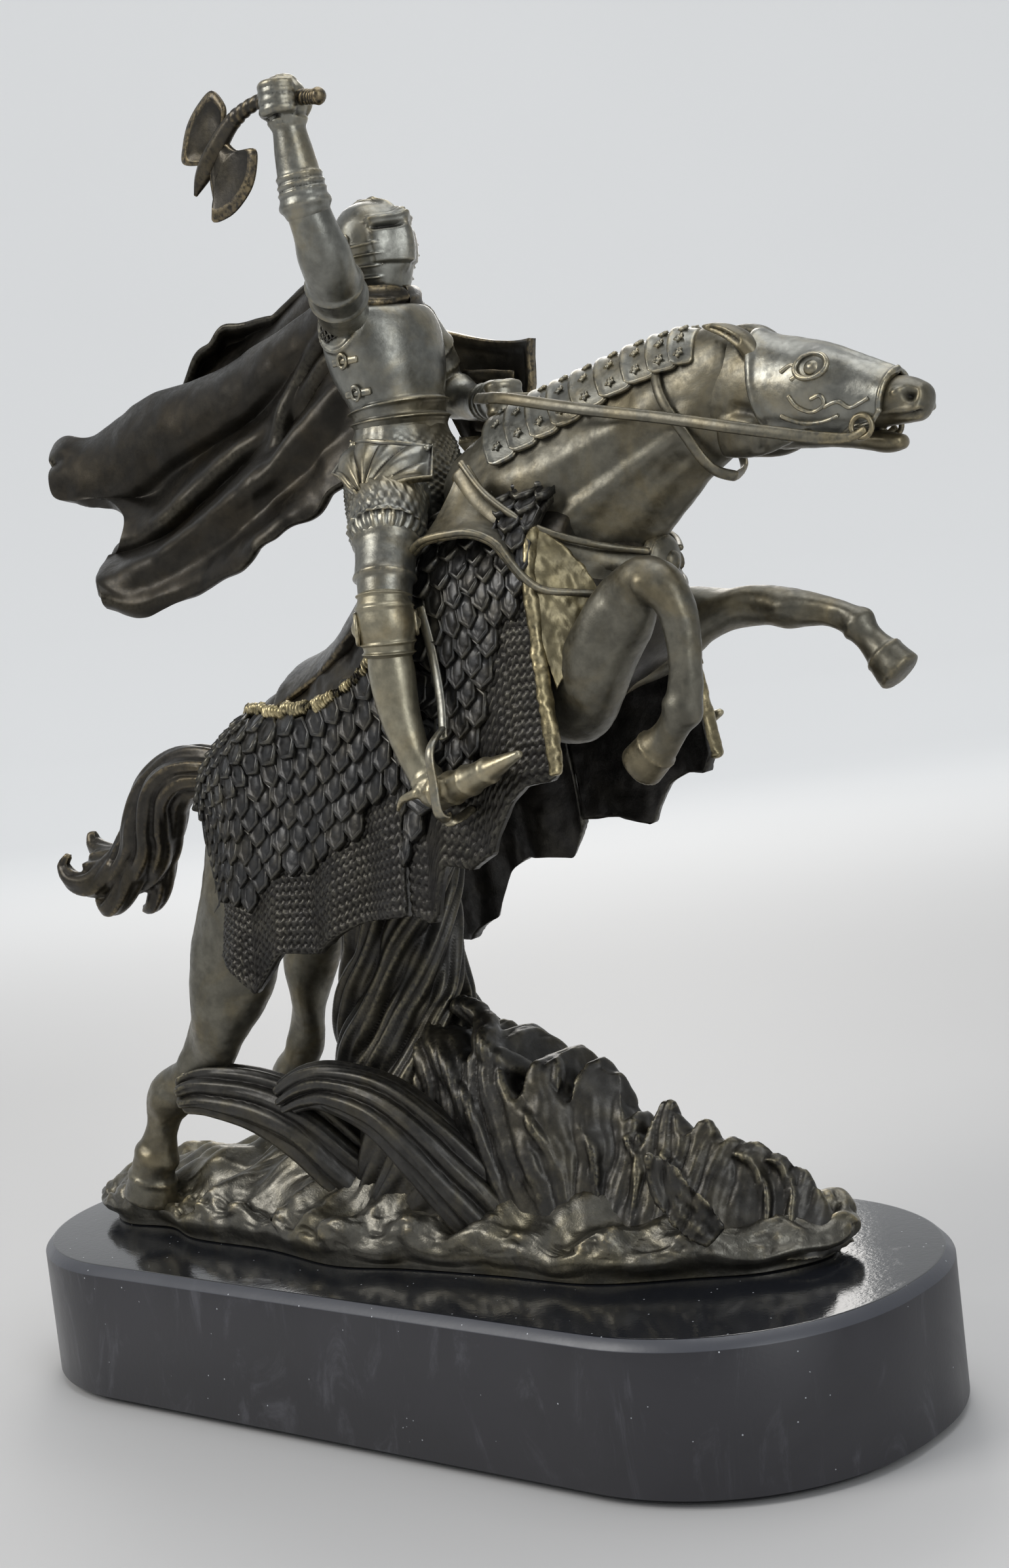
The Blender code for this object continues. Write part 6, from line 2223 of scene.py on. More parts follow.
@dataclass
class Rider:
    """The armoured figure, without helmet, axe, shield and cape."""

    palette: Palette
    repeater: Repeater
    hip_plate_top: tuple = ((12.6, -18.4, 224.2), (20, -21.4, 224), (27, -20.2, 222.6), (33, -15.6, 220.6))
    hip_plate_low: tuple = (
        (12.4, -26.4, 217.4), (16.8, -29.2, 216.2), (20.4, -30.4, 213.4), (24.6, -30.6, 210.2),
        (28.6, -29.2, 211.8), (32.6, -26, 213.6), (36, -20.6, 213.8),
    )

    def build_hips(self) -> None:
        """A quilted skirt under the tassets."""

        def relief(u: Array, turn: Array) -> Array:
            rings = np.sin(np.radians(turn) * 34) * np.sin(u * 26)
            return 0.3 * rings * (1 - ease(u, 3.4, 3.8)) + 0.5 * hill(u, 0.2, 0.2)

        shells = [HIPS.solid(72, 200, relief)]
        for side in Side:
            sleeve = Loft(
                (
                    (13, -8, 211, 7.6, 8.4), (20, -17, 211, 8.6, 9.2), (26, -25, 208, 8.5, 8.8),
                    (28.8, -29.6, 202.6, 8.0, 8.2)
                )
            ).on(side)

            def links(u: Array, turn: Array) -> Array:
                return 0.3 * np.sin(np.radians(turn) * 22) * np.sin(u * 15) + 0.6 * hill(u, 2.85, 0.12)

            shells.append(sleeve.solid(64, 130, links))
        piece = mesh_object("quilted_skirt", shells)
        sculpt(piece, lambda p: 0.2 * noise(p, 3, 101, 2))
        dress(piece, self.palette.plate, ["rider_hips"])

    def build_cuirass(self) -> None:
        """Breast and back plates with a waist of lames, side buckles and mail at the armpits."""

        def relief(u: Array, turn: Array) -> Array:
            side = hill(np.abs(((turn + 360) % 360) - 180), 0, 26) + hill((turn + 180) % 360, 180, 26)
            chest = 0.8 * hill(turn, 270, 40) * hill(u, 3.0, 1.2)
            waist = lames(u, (0.45, 0.95), 0.55, 0.4)
            arm = 0.0
            for centre in (180, 0, 360):
                arm = arm + 0.9 * hill(np.hypot((turn - centre) / 34, (u - 4.0) / 1.25), 1.0, 0.07)
            return chest + waist + arm - 0.35 * side * hill(u, 2.0, 0.7)

        shells = [CUIRASS.solid(140, 150, relief)]
        for sign in (-1, 1):
            for height, forward, out in ((236, 10.2, 12.9), (243.5, 8.8, 14.6)):
                shells.append(
                    ring_shell((forward, sign * (out + 0.6), height), (0.05, sign, -0.1), 1.2, 0.35, 1.3, 16)
                )
                strap = (
                    (forward - 3.6, sign * (out - 0.5), height), (forward, sign * out, height),
                    (forward + 3.6, sign * (out - 0.5), height)
                )
                shells.append(band(strap, (1.7, 1.7, 1.7), 0.9, (0.02, sign, 0), 20))
        piece = mesh_object("breast_and_back_plates", shells)
        sculpt(piece, lambda p: 0.1 * noise(p, 6, 103))
        dress(piece, self.palette.plate, ["cuirass"])
        settings = []
        for side in Side:
            for row in range(9):
                for column in range(11):
                    turn = (
                        (180 if side is Side.RIGHT else 0)
                        + side.value * (column - 5 + 0.5 * (row % 2)) * 6.2 * -1
                    )
                    u = 3.05 + row * 0.2
                    if math.hypot((column - 5) / 5.4, (u - 4.2) / 1.15) > 1.0:
                        continue
                    place = CUIRASS.points(u, turn, 0.35)
                    facing = CUIRASS.points(u, turn, 1.4) - place
                    along = CUIRASS.points(u + 0.1, turn, 0.4) - place
                    settings.append(Setting(place, along, facing))
        links = self.repeater.lay(
            "armpit_mail", [ring_shell((0, 0, 0), (0, 0, 1), 0.4, 0.13, 1.0, 10, 5)], settings,
            (2.1, 1.8, 2.2), self.palette.mail
        )
        dress(links, self.palette.mail, [], reach=0)

    def build_arms(self) -> None:
        """Both arms in plate, with elbow cops, ring lames and closed gauntlets."""

        def upper(u: Array, turn: Array) -> Array:
            return lames(u, (1.0, 1.5), 0.35, 0.35) + 0.5 * hill(u, 2.6, 0.5)

        piece = mesh_object("upper_arm_plates", [UPPER_ARM.solid(100, 72, upper)])
        dress(piece, self.palette.plate, ["upper_arm_right"])

        def fore(u: Array, turn: Array) -> Array:
            cop = 0.9 * hill(u, 0.35, 0.28) + 0.5 * hill(turn, 90, 40) * hill(u, 0.35, 0.4)
            rings = lames(u, (0.85, 1.1, 1.35), 0.35, 0.2)
            cuff = 0.8 * hill(u, 3.25, 0.12) + 0.5 * hill(u, 3.02, 0.06)
            fingers = ease(u, 4.1, 4.5) * hill(turn, 180, 80) * 0.5 * np.abs(np.sin(np.radians(turn) * 5))
            return cop + rings + cuff + fingers

        shells = [FOREARM.solid(150, 80, fore)]
        for index, z in enumerate((294.9, 296.8, 298.6, 300.2)):
            size = 1.15 - 0.07 * index
            knuckle = ((16.8, -37.2, z), (18.4, -40.8, z), (22.2, -41.4, z + 0.2), (24.8, -38.4, z + 0.2))
            shells.append(finger(knuckle, size))
        shells.append(
            Loft(
                ((20, -32, 294.4, 1.7, 1.7), (22.6, -32.4, 296.6, 1.9, 1.9), (24.8, -34.8, 297.8, 1.4, 1.4))
            ).solid(24, 16)
        )
        piece = fuse("forearm_and_gauntlet", shells, 0.4, 1)
        dress(piece, self.palette.plate, ["forearm_right"])

        def left(u: Array, turn: Array) -> Array:
            return (
                lames(u, (0.9, 1.4, 3.9, 4.2), 0.35, 0.3) + 0.9 * hill(u, 2.5, 0.3)
                + 0.7 * hill(u, 4.5, 0.15)
            )

        shells = [LEFT_ARM.solid(150, 64, left)]
        for index in range(4):
            z = 227.6 + index * 1.9
            knuckle = ((31.4, 9.5, z), (34.4, 5.2, z + 0.4), (37.6, 6.4, z + 0.6), (38.4, 10.6, z + 0.4))
            shells.append(finger(knuckle, 1.25))
        piece = fuse("left_arm_and_gauntlet", shells, 0.42, 1)
        dress(piece, self.palette.plate, ["arm_left"])

    def tasset(self, side: Side) -> None:
        """The fan-fluted hip plate with its corner studs."""
        f, g = grid(64, 104)
        top = spline(self.hip_plate_top, g * (len(self.hip_plate_top) - 1))
        low = spline(self.hip_plate_low, g * (len(self.hip_plate_low) - 1))
        places = top + (low - top) * f[..., None]
        outward = unit(np.cross(np.gradient(places, axis=0), np.gradient(places, axis=1)))
        outward *= -np.sign(outward[..., 1:2])
        from_tip = places - np.array(self.hip_plate_low[3], float)
        across = from_tip @ unit(np.array((0.86, 0.5, -0.05)))
        reach = np.linalg.norm(from_tip, axis=-1)
        ray = np.degrees(np.arcsin(np.clip(across / np.maximum(reach, 0.1), -1, 1)))
        inside = ease(reach, 1.2, 3.5) * ease(f, 0.06, 0.16)
        inside = (
            inside * ease(np.minimum(g, 1 - g), 0.05, 0.12) * (1 - ease(f, 0.9, 0.97) * ease(reach, 3, 5))
        )
        flutes = 1.15 * np.abs(np.cos(np.radians(ray) * 8.2)) ** 0.8 * inside
        border = 0.5 * ease(np.maximum(np.abs(2 * g - 1), f), 0.93, 0.98) + 0.6 * (1 - ease(f, 0.02, 0.07))
        crown = 1.6 * np.sin(math.pi * f) * np.sin(math.pi * g)
        outer = places + outward * (0.4 + flutes + border + crown)[..., None]
        inner = places + outward * (crown - 1.0)[..., None]
        shells = [sheet_shell(outer, inner)]
        for corner in (outer[6, 8], outer[6, -9]):
            shells.append(dome_shell(corner, outward[6, 8], 1.1, 0.9, 12))
        for shell in shells:
            shell.points = shell.points * (1, -side.value, 1)
        shells = [shell.outward() for shell in shells]
        piece = mesh_object(f"fluted_hip_plate_{side.label}", shells)
        dress(piece, self.palette.plate, [f"tasset_{side.label}"])

    def leg(self, side: Side) -> None:
        """Cuisse, knee cop, greave and pointed sabaton on one side."""

        def cuisse(u: Array, turn: Array) -> Array:
            return lames(u, (2.0, 2.6, 3.3), 0.4, 0.4) + 0.3 * hill(u, 4.2, 0.5)

        piece = mesh_object(f"thigh_plates_{side.label}", [THIGH.on(side).solid(110, 80, cuisse)])
        dress(piece, self.palette.plate, [f"thigh_{side.label}"])

        def shin(u: Array, turn: Array) -> Array:
            ankle = 0.5 * hill(u, 4.0, 0.14) + 0.35 * hill(u, 4.35, 0.1)
            toes = lames(u, (5.3, 5.9, 6.5, 7.1), 0.28, 0.4)
            keel = 0.35 * hill(turn, 270, 10) * (1 - ease(u, 3.2, 4.0))
            return (
                ankle + toes + keel + 0.5 * hill(u, 0.12, 0.1)
                + 0.5 * hill(u, 1.1, 0.6) * hill(turn, 90, 50)
            )

        loft = GREAVE.on(side)
        shells = [loft.solid(190, 72, shin, 1.2)]
        sign = side.value
        shells.append(dome_shell((45, sign * 41.2, 147.6), (0.1, sign, 0.1), 2.4, 1.3, 18))
        spur = ((38.0, sign * 40, 146.8), (33.0, sign * 39.4, 145.4), (30.0, sign * 38, 143.0))
        shells.append(Loft([(*p, r, r) for p, r in zip(spur, (1.2, 0.9, 0.5))], (0, 0, 1)).solid(20, 10))
        piece = fuse(f"greave_and_sabaton_{side.label}", shells, 0.42, 1)
        dress(piece, self.palette.greave, [f"greave_{side.label}"])

        knee = KNEE.on(side)

        def cop(u: Array, turn: Array) -> Array:
            lips = (
                0.6 * (hill(u, 0.15, 0.14) + hill(u, 3.85, 0.16))
                + 0.45 * (hill(u, 1.0, 0.12) + hill(u, 3.0, 0.12))
            )
            return 0.3 + lips + 0.5 * hill(u, 2.0, 0.9)

        shells = [knee.solid(90, 72, cop, 0.25)]
        for x, y, wide in ((-4.2, -3.8, 2.7), (4.4, 3.6, 2.0)):
            facing = (x, y * -sign, 0.0)
            centre = (31.7 + x, sign * (36.5 - y), 183.0)
            shells.append(dome_shell(centre, facing, wide, 1.9, 20))
            shells.append(
                ring_shell(
                    (centre[0] + x * 0.14, centre[1] - sign * y * 0.14, 183.0), facing, wide - 0.2, 0.5,
                    1.25, 24
                )
            )
        piece = mesh_object(f"knee_cop_{side.label}", shells)
        dress(piece, self.palette.greave, [f"poleyn_{side.label}"])

    def build(self) -> None:
        """Makes the rider."""
        self.build_hips()
        self.build_cuirass()
        self.build_arms()
        for side in Side:
            self.tasset(side)
            self.leg(side)


@dataclass
class Helmet:
    """A plain closed helmet with neck lames, a visor on pivots and a vertical ridge."""

    palette: Palette

    def build(self) -> None:
        """Makes the helmet."""

        def relief(u: Array, turn: Array) -> Array:
            front = hill(turn, 270, 52)
            back = 1 - ease(front, 0.25, 0.6)
            neck = lames(u, (0.95, 1.35, 1.75, 2.1), 0.5, 0.32) * back
            visor = 0.9 * ease(u, 1.35, 1.5) * (1 - ease(u, 3.15, 3.3)) * ease(front, 0.25, 0.4)
            keel = 1.2 * hill(turn, 270, 12) * ease(u, 0.9, 1.5) * (1 - ease(u, 3.2, 3.6))
            slit = -1.5 * hill(u, 2.62, 0.09) * ease(front, 0.3, 0.5) * (1 - hill(turn, 270, 8))
            brow = 0.7 * hill(u, 2.95, 0.09) * ease(front, 0.2, 0.4)
            comb = 0.8 * (hill(turn, 270, 8) + hill(turn, 90, 8)) * ease(u, 2.6, 3.4)
            return neck + visor + keel + slit + brow + comb

        shells = [HELMET.solid(150, 130, relief, 0.3)]
        for sign in (-1, 1):
            shells.append(dome_shell((8.2, sign * 9.1, 271.0), (-0.1, sign, 0.1), 1.5, 0.9, 16))
            for k in range(4):
                shells.append(
                    dome_shell(
                        (15.9 + 0.5 * k, sign * (5.4 - 0.9 * k), 264.6 - 0.15 * k), (0.8, sign * 0.6, 0),
                        0.45, 0.4, 8
                    )
                )
        piece = mesh_object("closed_helmet", shells)
        sculpt(piece, lambda p: 0.08 * noise(p, 4, 111))
        dress(piece, self.palette.plate, ["helmet"])


@dataclass
class Axe:
    """The raised double-bladed axe."""

    palette: Palette
    haft: tuple = (
        (30.2, -36, 296.3, 1.7, 1.7), (28.6, -36, 296.5, 1.4, 1.4), (26, -36, 297, 1.5, 1.5),
        (20.5, -36, 298, 1.5, 1.5), (14, -36, 299, 1.4, 1.4), (7.7, -36, 298, 1.5, 1.5),
        (2.4, -36, 295.4, 1.9, 2), (-3.4, -36, 290.4, 2.2, 2.4), (-7.4, -36, 286.6, 1.6, 1.8),
        (-10, -36, 283.4, 0.5, 0.5),
    )
    upper: tuple = (
        (0.6, 293.6), (1.8, 297), (2.3, 300.6), (-0.9, 304.4), (-5.4, 302.6), (-9.6, 299), (-12, 294.6),
        (-12.7, 290.8), (-7.5, 289.4), (-4, 289.6),
    )
    lower: tuple = (
        (0.2, 293), (4.5, 290.3), (9.9, 289.4), (9.6, 285.4), (7.4, 281.4), (3.2, 278.2), (-1, 276.6),
        (-5.6, 276.6), (-4.6, 280.6), (-4.4, 287),
    )
    blade: float = 2.2
    plane: float = -36.0
    around: int = 70

    def cheek(self, outline: tuple, root: tuple[float, float]) -> Shell:
        """One blade: thick at the socket and thin at its edge."""
        share_round = np.arange(self.around) * len(outline) / self.around
        closed = spline((*outline[-2:], *outline, *outline[:3]), 2 + share_round)
        rings = []
        middle = np.asarray(root, float)
        for share, thick in ((1.0, -0.12), (0.985, -0.3), (0.8, -0.62), (0.78, -0.5), (0.4, -0.8)):
            flat = middle + (closed - middle) * share
            depth = np.full(self.around, self.plane + thick * self.blade / 2 * 1.2)
            rings.append(np.column_stack((flat[:, 0], depth, flat[:, 1])))
        back = [ring + (0, 2 * (self.plane - ring[0, 1]), 0) for ring in rings]
        return tube_shell(np.array(rings[::-1] + back), 0.0, 0)

    def build(self) -> None:
        """Makes the axe."""

        def wrap(u: Array, turn: Array) -> Array:
            return 0.25 * np.abs(np.sin(u * 9 + np.radians(turn))) * (1 - ease(u, 5.4, 5.8))

        shells = [Loft(self.haft).solid(150, 28, wrap)]
        shells.append(self.cheek(self.upper, (-1.5, 293.5)))
        shells.append(self.cheek(self.lower, (-0.5, 289.5)))
        shells.append(dome_shell((30.4, -36, 296.3), (1, 0, -0.1), 1.8, 1.4, 16))
        piece = mesh_object("double_axe", shells)
        dress(piece, self.palette.dark, ["axe"])


@dataclass
class Shield:
    """A bent shield on the left arm, hollow towards the rider, with a rolled rim."""

    palette: Palette
    centre: tuple[float, float] = (13.0, 34.0)
    half_widths: tuple = (
        (210, 0.8), (213, 2.5), (219, 6.0), (229, 11.2), (239, 14.2), (245, 14.8), (249, 15.6)
    )
    tilt: float = 0.25
    thickness: float = 1.8
    bend: float = 4.0

    def build(self) -> None:
        """Makes the shield."""
        rows, columns = 60, 50
        f = np.linspace(-1, 1, columns)[None, :] + np.zeros((rows, 1))
        z = np.linspace(210, 249, rows)[:, None] + np.zeros((1, columns))
        half = between(self.half_widths, z)
        top = 1.8 * (np.abs(f) ** 2 - 0.4) * ease(z, 238, 250)
        x = self.centre[0] + half * f
        y = self.centre[1] - self.bend * f**2
        height = z - self.tilt * half * f + top
        rim = 0.5 * (ease(np.abs(f), 0.86, 0.93) + ease(z, 245.5, 247.5)).clip(0, 1)
        skins = [
            np.stack((x, y - 0.3 - rim, height), -1), np.stack((x, y + self.thickness + rim, height), -1)
        ]
        shells = [sheet_shell(*skins)]
        for height_at in (228.0, 240.0):
            path = (
                (4, 33.2, height_at + 1), (9, 30.6, height_at), (16, 30.4, height_at - 1),
                (21, 31.6, height_at - 2)
            )
            shells.append(band(path, (3.2, 3.2, 3.2, 3.2), 1.0, (0, 1, 0), 24))
        boss = dome_shell((12, 35.8, 234), (0, 1, 0), 4.0, 2.4, 24)
        shells.append(boss)
        piece = mesh_object("rolled_rim_shield", shells)
        sculpt(piece, lambda p: 0.12 * noise(p, 5, 121))
        dress(piece, self.palette.dark, ["shield"])


@dataclass
class Cape:
    """The cape: a rolled collar with a corded hem, and a sheet streaming behind in deep folds."""

    palette: Palette
    thickness: float = 2.6
    sweep: float = 0.82
    lower: tuple = (
        (2, 218), (-6, 215.2), (-11.4, 211.3), (-21.7, 207.8), (-30.5, 204.6), (-39.5, 200.7),
        (-52.3, 196.5), (-66, 193), (-78, 192.8), (-88, 196),
    )
    crown: tuple = (
        (2, 264), (-12.6, 260.1), (-26.4, 255.5), (-35.3, 252.2), (-53, 249.6), (-71.3, 247.4),
        (-92.2, 241.1), (-104.6, 241.8), (-109, 240),
    )
    end: tuple = (
        (-88, 196), (-90.7, 200), (-89.9, 207.5), (-83.6, 212.4), (-82.6, 217.4), (-88.2, 221.9),
        (-101.4, 223.9), (-109.0, 226.2), (-110, 233), (-109, 240),
    )
    turned_back: tuple = (
        (2, 270), (-10.9, 270), (-16.1, 267.5), (-24.5, 263.5), (-27.7, 262), (-35.1, 262.7), (-42, 262.1),
        (-46.8, 259.3), (-52.7, 256.1), (-58, 250),
    )

    def patch(self, s: Array, f: Array) -> Array:
        """The (x, z) outline filled in: s from the shoulders to the end, f from the lower edge to the top."""
        low = spline(self.lower, s * (len(self.lower) - 1))
        high = spline(self.crown, s * (len(self.crown) - 1))
        end = spline(self.end, f * (len(self.end) - 1))
        start = np.stack((2 + 0 * f, 218 + 46 * f), -1)
        s, f = s[..., None], f[..., None]
        corners = (
            (1 - s) * ((1 - f) * low[:1, :1] + f * high[:1, :1])
            + s * ((1 - f) * low[-1:, :1] + f * high[-1:, :1])
        )
        return (1 - f) * low + f * high + (1 - s) * start + s * end - corners

    def hang(self, flat: Array, y: Array) -> Array:
        """Places with this (x, z) as seen from the right front, at the depth y."""
        x = flat[..., 0]
        return np.stack((x - self.sweep * (y + 5.0) * np.clip(-x / 30.0, 0.0, 1.0), y, flat[..., 1]), -1)

    def folds(self, s: Array, f: Array) -> Array:
        """How far the cloth stands back from its plain curve; a fold towards the right is negative."""
        ridge = 0.52 - 0.25 * s - 0.15 * s**2
        side = f - ridge
        crease = np.where(side > 0, hill(side, 0, 0.045), hill(side, 0, 0.11))
        near = ease(s, 0.02, 0.10) * (1 - ease(s, 0.30, 0.50))
        move = -6.5 * hill(f, 0.86 + 0.03 * np.sin(3 * s), 0.19) + 1.5 * hill(f, 1.0, 0.05)
        move += (
            4.2 * hill(f, 0.80 - 0.42 * s + 0.18 * s**2, 0.07) * ease(s, 0.02, 0.12)
            * (1 - ease(s, 0.70, 0.95))
        )
        move += near * (-3.4 * hill(f, 0.90 - 1.0 * s, 0.035) + 2.2 * hill(f, 0.83 - 1.0 * s, 0.035))
        move += near * (-2.6 * hill(f, 0.77 - 0.75 * s, 0.035) + 1.6 * hill(f, 0.70 - 0.7 * s, 0.03))
        move += -5.6 * crease * ease(s, 0.03, 0.12) + 3.2 * hill(side, 0.11, 0.055) * ease(s, 0.1, 0.3)
        move += -2.2 * hill(f, ridge + 0.2, 0.045) * ease(s, 0.35, 0.55) * (1 - ease(s, 0.75, 0.9))
        move += 2.4 * hill(side, -0.24, 0.08) - 2.8 * hill(f, 0.06, 0.06) * ease(s, 0.1, 0.4)
        move += 5.0 * hill(f, 0.38, 0.2) * (1 - ease(s, 0.03, 0.16))
        return move + 1.8 * hill(np.hypot((s - 0.93) / 0.06, (f - 0.90) / 0.02), 0, 1)

    def build_sheet(self) -> None:
        """Makes the streaming sheet, and the turned-back layer behind its top."""
        s, f = grid(165, 140)
        flat = self.patch(s, f)
        flat = (
            flat
            + np.stack((0 * f, 0.5 * np.sin(19 * s) + 0.35 * np.sin(41 * s + 1)), -1)
            * (1 - ease(f, 0.0, 0.12))[..., None]
        )
        flat[..., 1] += (0.4 * np.sin(23 * s)) * ease(f, 0.9, 1.0)
        spread = np.minimum(1.0, 0.25 - flat[..., 0] / 45.0)
        y = (-15.0 + 27.0 * f + self.folds(s, f)) * spread
        middle = self.hang(flat, y)
        middle[..., 1] += 0.7 * noise(middle, 14, 131, 3)
        normals = grid_normals(middle, False)
        edge = np.maximum(ease(np.abs(2 * f - 1), 0.965, 1.0), ease(s, 0.985, 1.0))
        half = normals * (self.thickness / 2 * np.sqrt(np.clip(1.15 - edge, 0.12, 1)))[..., None]
        shells = [sheet_shell(middle + half, middle - half)]
        s, f = grid(80, 40)
        high = spline(self.turned_back, s * (len(self.turned_back) - 1))
        low_z = between(self.crown, high[..., 0]) - 3.5
        flat = np.stack((high[..., 0], low_z + (high[..., 1] - low_z) * f + 0.4 * np.sin(31 * s) * f), -1)
        spread = np.minimum(1.0, 0.25 - flat[..., 0] / 45.0)
        y = (
            (13.0 + 8.0 * np.sin(1.9 * f) + 2.6 * np.sin(7 * f + 5 * s) * f - 3.0 * ease(f, 0.9, 1.0))
            * spread
        )
        middle = self.hang(flat, y)
        normals = grid_normals(middle, False)
        half = (
            normals * (self.thickness / 2 * np.sqrt(np.clip(1.15 - ease(f, 0.94, 1.0), 0.12, 1)))[..., None]
        )
        shells.append(sheet_shell(middle + half, middle - half))
        piece = mesh_object("streaming_cape", shells)
        sculpt(piece, lambda p: 0.12 * noise(p, 5, 132, 2))
        dress(piece, self.palette.cape, ["cape"], gain=1.4, reach=6)

    def build_collar(self) -> None:
        """Makes the rolled collar, its corded hem and the clasp."""
        rings = []
        tilt = Matrix.Rotation(math.radians(17.0), 3, "Y")
        for k in range(25):
            turn = 2 * math.pi * k / 24
            out = tilt @ Vector((math.cos(turn) * 8.8, math.sin(turn) * 9.6, 0))
            rings.append((7.4 + out.x, out.y, 259 + out.z, 2.7, 2.7))

        def folds(u: Array, turn: Array) -> Array:
            return (
                0.5 * np.sin(np.radians(turn) * 3 + 1.1 * np.sin(u * 0.7))
                + 0.35 * np.sin(np.radians(turn) * 5 + u * 0.8)
            )

        shells = [Loft(rings, (0, 0, 1)).solid(200, 40, folds, 0.0)]
        hem = []
        for k in range(33):
            turn = 2 * math.pi * k / 32
            reach = 13.0 + 0.8 * math.cos(turn)
            out = (
                tilt
                @ Vector(
                    (
                        math.cos(turn) * reach * 0.86, math.sin(turn) * reach * 1.05,
                        -3.6 - 1.5 * max(0.0, math.cos(turn))
                    )
                )
            )
            hem.append((7.2 + out.x, out.y, 259 + out.z, 1.0, 1.0))
        shells.append(
            Loft(hem, (0, 0, 1)).solid(
                420, 14, lambda u, turn: 0.3 * np.sin(2 * np.radians(turn) + u * 9), 0.0
            )
        )
        shells.append(
            band(
                ((16.6, -3.2, 251.6), (17.2, 0, 251.4), (16.6, 3.2, 251.6)), (3.8, 3.8, 3.8), 1.8,
                (1, 0, 0.1), 16, 8
            )
        )
        piece = mesh_object("cape_collar_roll", shells)
        sculpt(piece, lambda p: 0.12 * noise(p, 4, 135))
        dress(piece, self.palette.dark, ["cape_collar"])

    def build(self) -> None:
        """Makes the cape."""
        self.build_sheet()
        self.build_collar()


@dataclass
class Tack:
    """Reins, bit, throat strap and stirrups."""

    palette: Palette
    rein: tuple = (
        (36, -2, 231), (44, -9, 230), (54, -14.6, 228.6), (74, -14.2, 223.5), (92, -12.6, 219.3),
        (108, -12, 215.2), (119, -10.6, 212.4), (127, -9.0, 210.4), (133, -7.2, 209.6), (136, -6.2, 210.8),
    )
    iron: tuple = (
        (44.5, -37, 160), (45.5, -43, 156), (46, -43.6, 149), (46, -43, 142.4), (46, -37.5, 140.6),
        (46, -32.4, 142)
    )

    def build(self) -> None:
        """Makes the tack on both sides."""
        for side in Side:
            sign = -side.value
            path = [(x, y * sign, z) for x, y, z in self.rein]
            shells = [band(path, [2.6] * 8 + [2.0, 1.8], 1.1, (0.1, side.value, 0.25), 110, 10)]
            shells.append(ring_shell((135.4, sign * -6.2, 211.4), (0.1, side.value, 0), 2.2, 0.6, 1.0, 24))
            throat = (
                (86, -2, 236.2), (90.4, -9.4, 225), (95.8, -9, 214.8), (99.4, -6.4, 207.8), (101, 0, 205.6)
            )
            shells.append(
                band(
                    [(x, y * sign, z) for x, y, z in throat], [2.4] * 5, 1.1, (0.1, side.value, 0.05), 50,
                    10
                )
            )
            dress(
                mesh_object(f"rein_and_bit_{side.label}", shells), self.palette.warm,
                [f"rein_{side.label}"]
            )
            iron = [(x, y * sign, z) for x, y, z in self.iron]
            shells = [band(iron, (1.8, 2.2, 2.2, 2.6, 3.6, 2.6), 1.3, (0.05, side.value, 0.2), 60, 12)]
            leather = ((36.5, -30.2, 186), (39.5, -31.6, 176), (42.6, -34.2, 166), (44.5, -37.0, 158))
            shells.append(
                band(
                    [(x, y * sign, z) for x, y, z in leather], (2.6, 2.6, 2.4, 2.2), 1.0,
                    (0.1, side.value, 0), 30, 10
                )
            )
            dress(
                mesh_object(f"stirrup_iron_{side.label}", shells), self.palette.plate,
                [f"stirrup_{side.label}"]
            )


# ---------------------------------------------------------------- studio


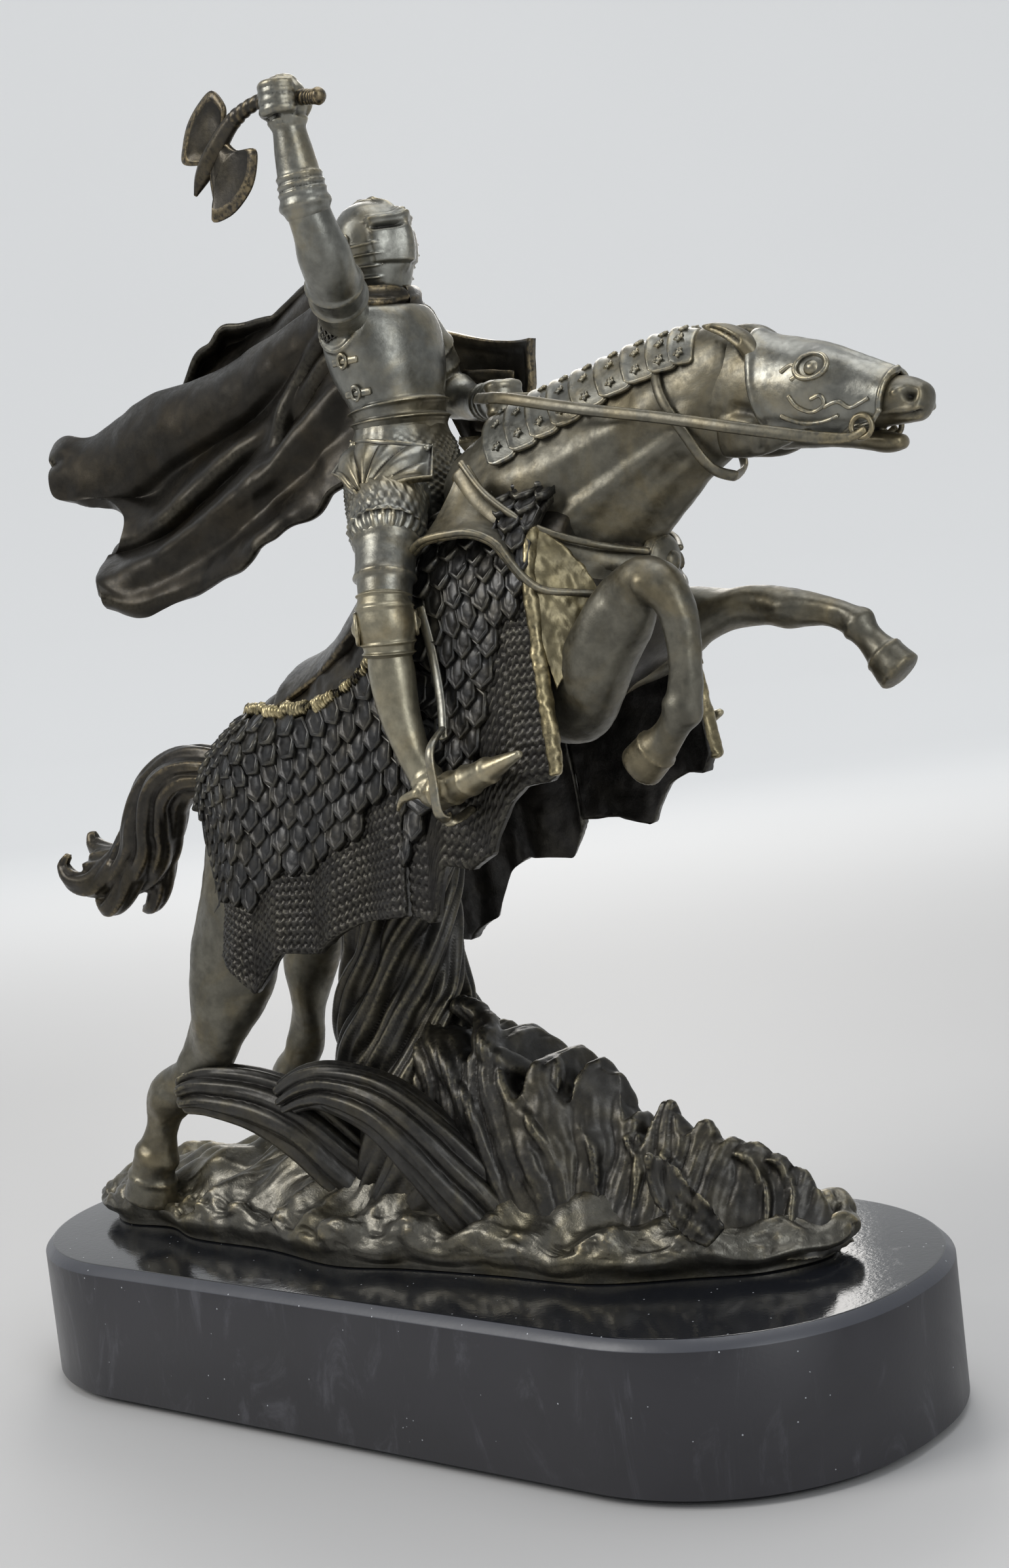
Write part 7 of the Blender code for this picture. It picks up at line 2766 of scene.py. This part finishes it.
@dataclass
class Studio:
    """Pale floor and backdrop, soft lights, and the camera."""

    lens: float = 52.69
    # glow: the strength of the painted light that the sweep gives off far from the middle
    glow: float = 0.38
    turn: float = 39.406
    rise: float = 4.799
    roll: float = -6.7094
    place: tuple[float, float, float] = (0.36391, -0.40715, 0.18774)
    near: float = -2.6
    far: float = 2.3
    curve: float = 0.9
    height: float = 2.6
    half_width: float = 3.5
    steps: int = 40

    def camera(self) -> None:
        """Makes the camera."""
        a, e, r = (math.radians(v) for v in (self.turn, self.rise, self.roll))
        back = Vector((math.sin(a) * math.cos(e), -math.cos(a) * math.cos(e), math.sin(e)))
        right = Vector((math.cos(a), math.sin(a), 0))
        up = back.cross(right)
        tilted_right = right * math.cos(r) + up * math.sin(r)
        tilted_up = up * math.cos(r) - right * math.sin(r)
        data = bpy.data.cameras.new("camera")
        data.sensor_fit = "VERTICAL"
        data.sensor_height = 36
        data.lens = self.lens
        data.clip_start = 0.01
        camera = bpy.data.objects.new("camera", data)
        camera.matrix_world = Matrix((tilted_right, tilted_up, back)).transposed().to_4x4()
        camera.matrix_world.translation = Vector(self.place)
        bpy.context.scene.collection.objects.link(camera)
        bpy.context.scene.camera = camera

    def light(
        self, name: str, place: Sequence[float], aim: Sequence[float], size: tuple[float, float],
        power: float, colour: Sequence[float]
    ) -> None:
        """One soft rectangular light."""
        data = bpy.data.lights.new(name, "AREA")
        data.shape = "RECTANGLE"
        data.size, data.size_y = size
        data.energy = power
        data.color = colour
        lamp = new_object(name, data)
        lamp.location = Vector(place)
        lamp.rotation_euler = (Vector(place) - Vector(aim)).to_track_quat("Z", "Y").to_euler()

    def surroundings(self) -> None:
        """Makes the floor that sweeps up into a backdrop and, as painted light, glows more away from the
        middle, and the even light around it.
        """
        floor, shader, bench = new_material("pale_studio_sweep")
        place = bench.here()
        tone = bench.mix(bench.noise(place, 1.5, 3.0), (0.50, 0.495, 0.49, 1), (0.57, 0.565, 0.56, 1))
        bench.put(tone, shader.inputs["Base Color"])
        shader.inputs["Roughness"].default_value = 0.6
        away_from_middle = bench.add("ShaderNodeVectorMath", operation="LENGTH")
        bench.put(place, away_from_middle.inputs[0])
        # painted light: the sweep glows, more the further it lies from the middle
        shader.inputs["Emission Color"].default_value = (0.95, 0.98, 1.0, 1)
        bench.put(
            bench.remap(away_from_middle.outputs["Value"], 0.4, 1.5, 0.0, self.glow),
            shader.inputs["Emission Strength"]
        )
        rows = []
        for f in np.linspace(0, 1, self.steps):
            bend = math.radians(90) * max(0.0, min(1.0, (f - 0.45) / 0.15))
            if f <= 0.45:
                rows.append((self.near + f / 0.45 * (self.far - self.curve - self.near), 0.0))
            elif f <= 0.6:
                rows.append((self.far + self.curve * (math.sin(bend) - 1), self.curve * (1 - math.cos(bend))))
            else:
                rows.append((self.far, self.curve + (f - 0.6) / 0.4 * self.height))
        a = math.radians(self.turn)
        away, right = Vector((-math.sin(a), math.cos(a), 0)), Vector((math.cos(a), math.sin(a), 0))
        points = [
            away * d + right * w + Vector((0, 0, z)) for d, z in rows
            for w in (-self.half_width, self.half_width)
        ]
        faces = [(2 * k, 2 * k + 1, 2 * k + 3, 2 * k + 2) for k in range(self.steps - 1)]
        mesh = bpy.data.meshes.new("studio_sweep")
        mesh.from_pydata([tuple(p) for p in points], [], faces)
        mesh.polygons.foreach_set("use_smooth", [True] * (self.steps - 1))
        mesh.materials.append(floor)
        sweep = new_object("studio_sweep", mesh)
        world = bpy.data.worlds.new("studio_air")
        world.use_nodes = True
        world.node_tree.nodes["Background"].inputs["Color"].default_value = (0.93, 0.96, 1.0, 1)
        world.node_tree.nodes["Background"].inputs["Strength"].default_value = 0.40
        bpy.context.scene.world = world
        bpy.context.scene.view_settings.view_transform = "Standard"

    def build(self) -> None:
        """Makes the studio."""
        self.camera()
        self.surroundings()
        self.light("key_left_front", (-0.55, -0.95, 0.95), (0, 0, 0.15), (0.6, 0.6), 8.6, (1.0, 0.985, 0.96))
        self.light("fill_right_front", (1.1, -0.5, 0.6), (0, 0, 0.15), (0.5, 0.9), 4.6, (0.94, 0.97, 1.0))
        self.light("top", (0.1, 0.2, 1.3), (0, 0, 0.1), (0.9, 0.9), 6.0, (0.97, 0.98, 1.0))
        self.light("rim_behind", (-0.7, 0.9, 0.7), (0, 0, 0.2), (0.5, 0.7), 3.5, (1.0, 0.97, 0.93))


def main() -> None:
    """Builds every sub-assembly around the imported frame."""
    logging.basicConfig(level=logging.INFO, format="%(name)s: %(message)s")
    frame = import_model()
    palette = Palette()
    repeater = Repeater(repeat_tree("repeat_on_points"))
    Plinth(palette).build(frame)
    Ground(palette).build()
    Grass(palette).build()
    Horse(palette).build()
    HorseArmour(palette, repeater).build()
    Caparison(palette, repeater).build()
    Rider(palette, repeater).build()
    Helmet(palette).build()
    Axe(palette).build()
    Shield(palette).build()
    Cape(palette).build()
    Tack(palette).build()
    Studio().build()


if __name__ == "__main__":
    main()
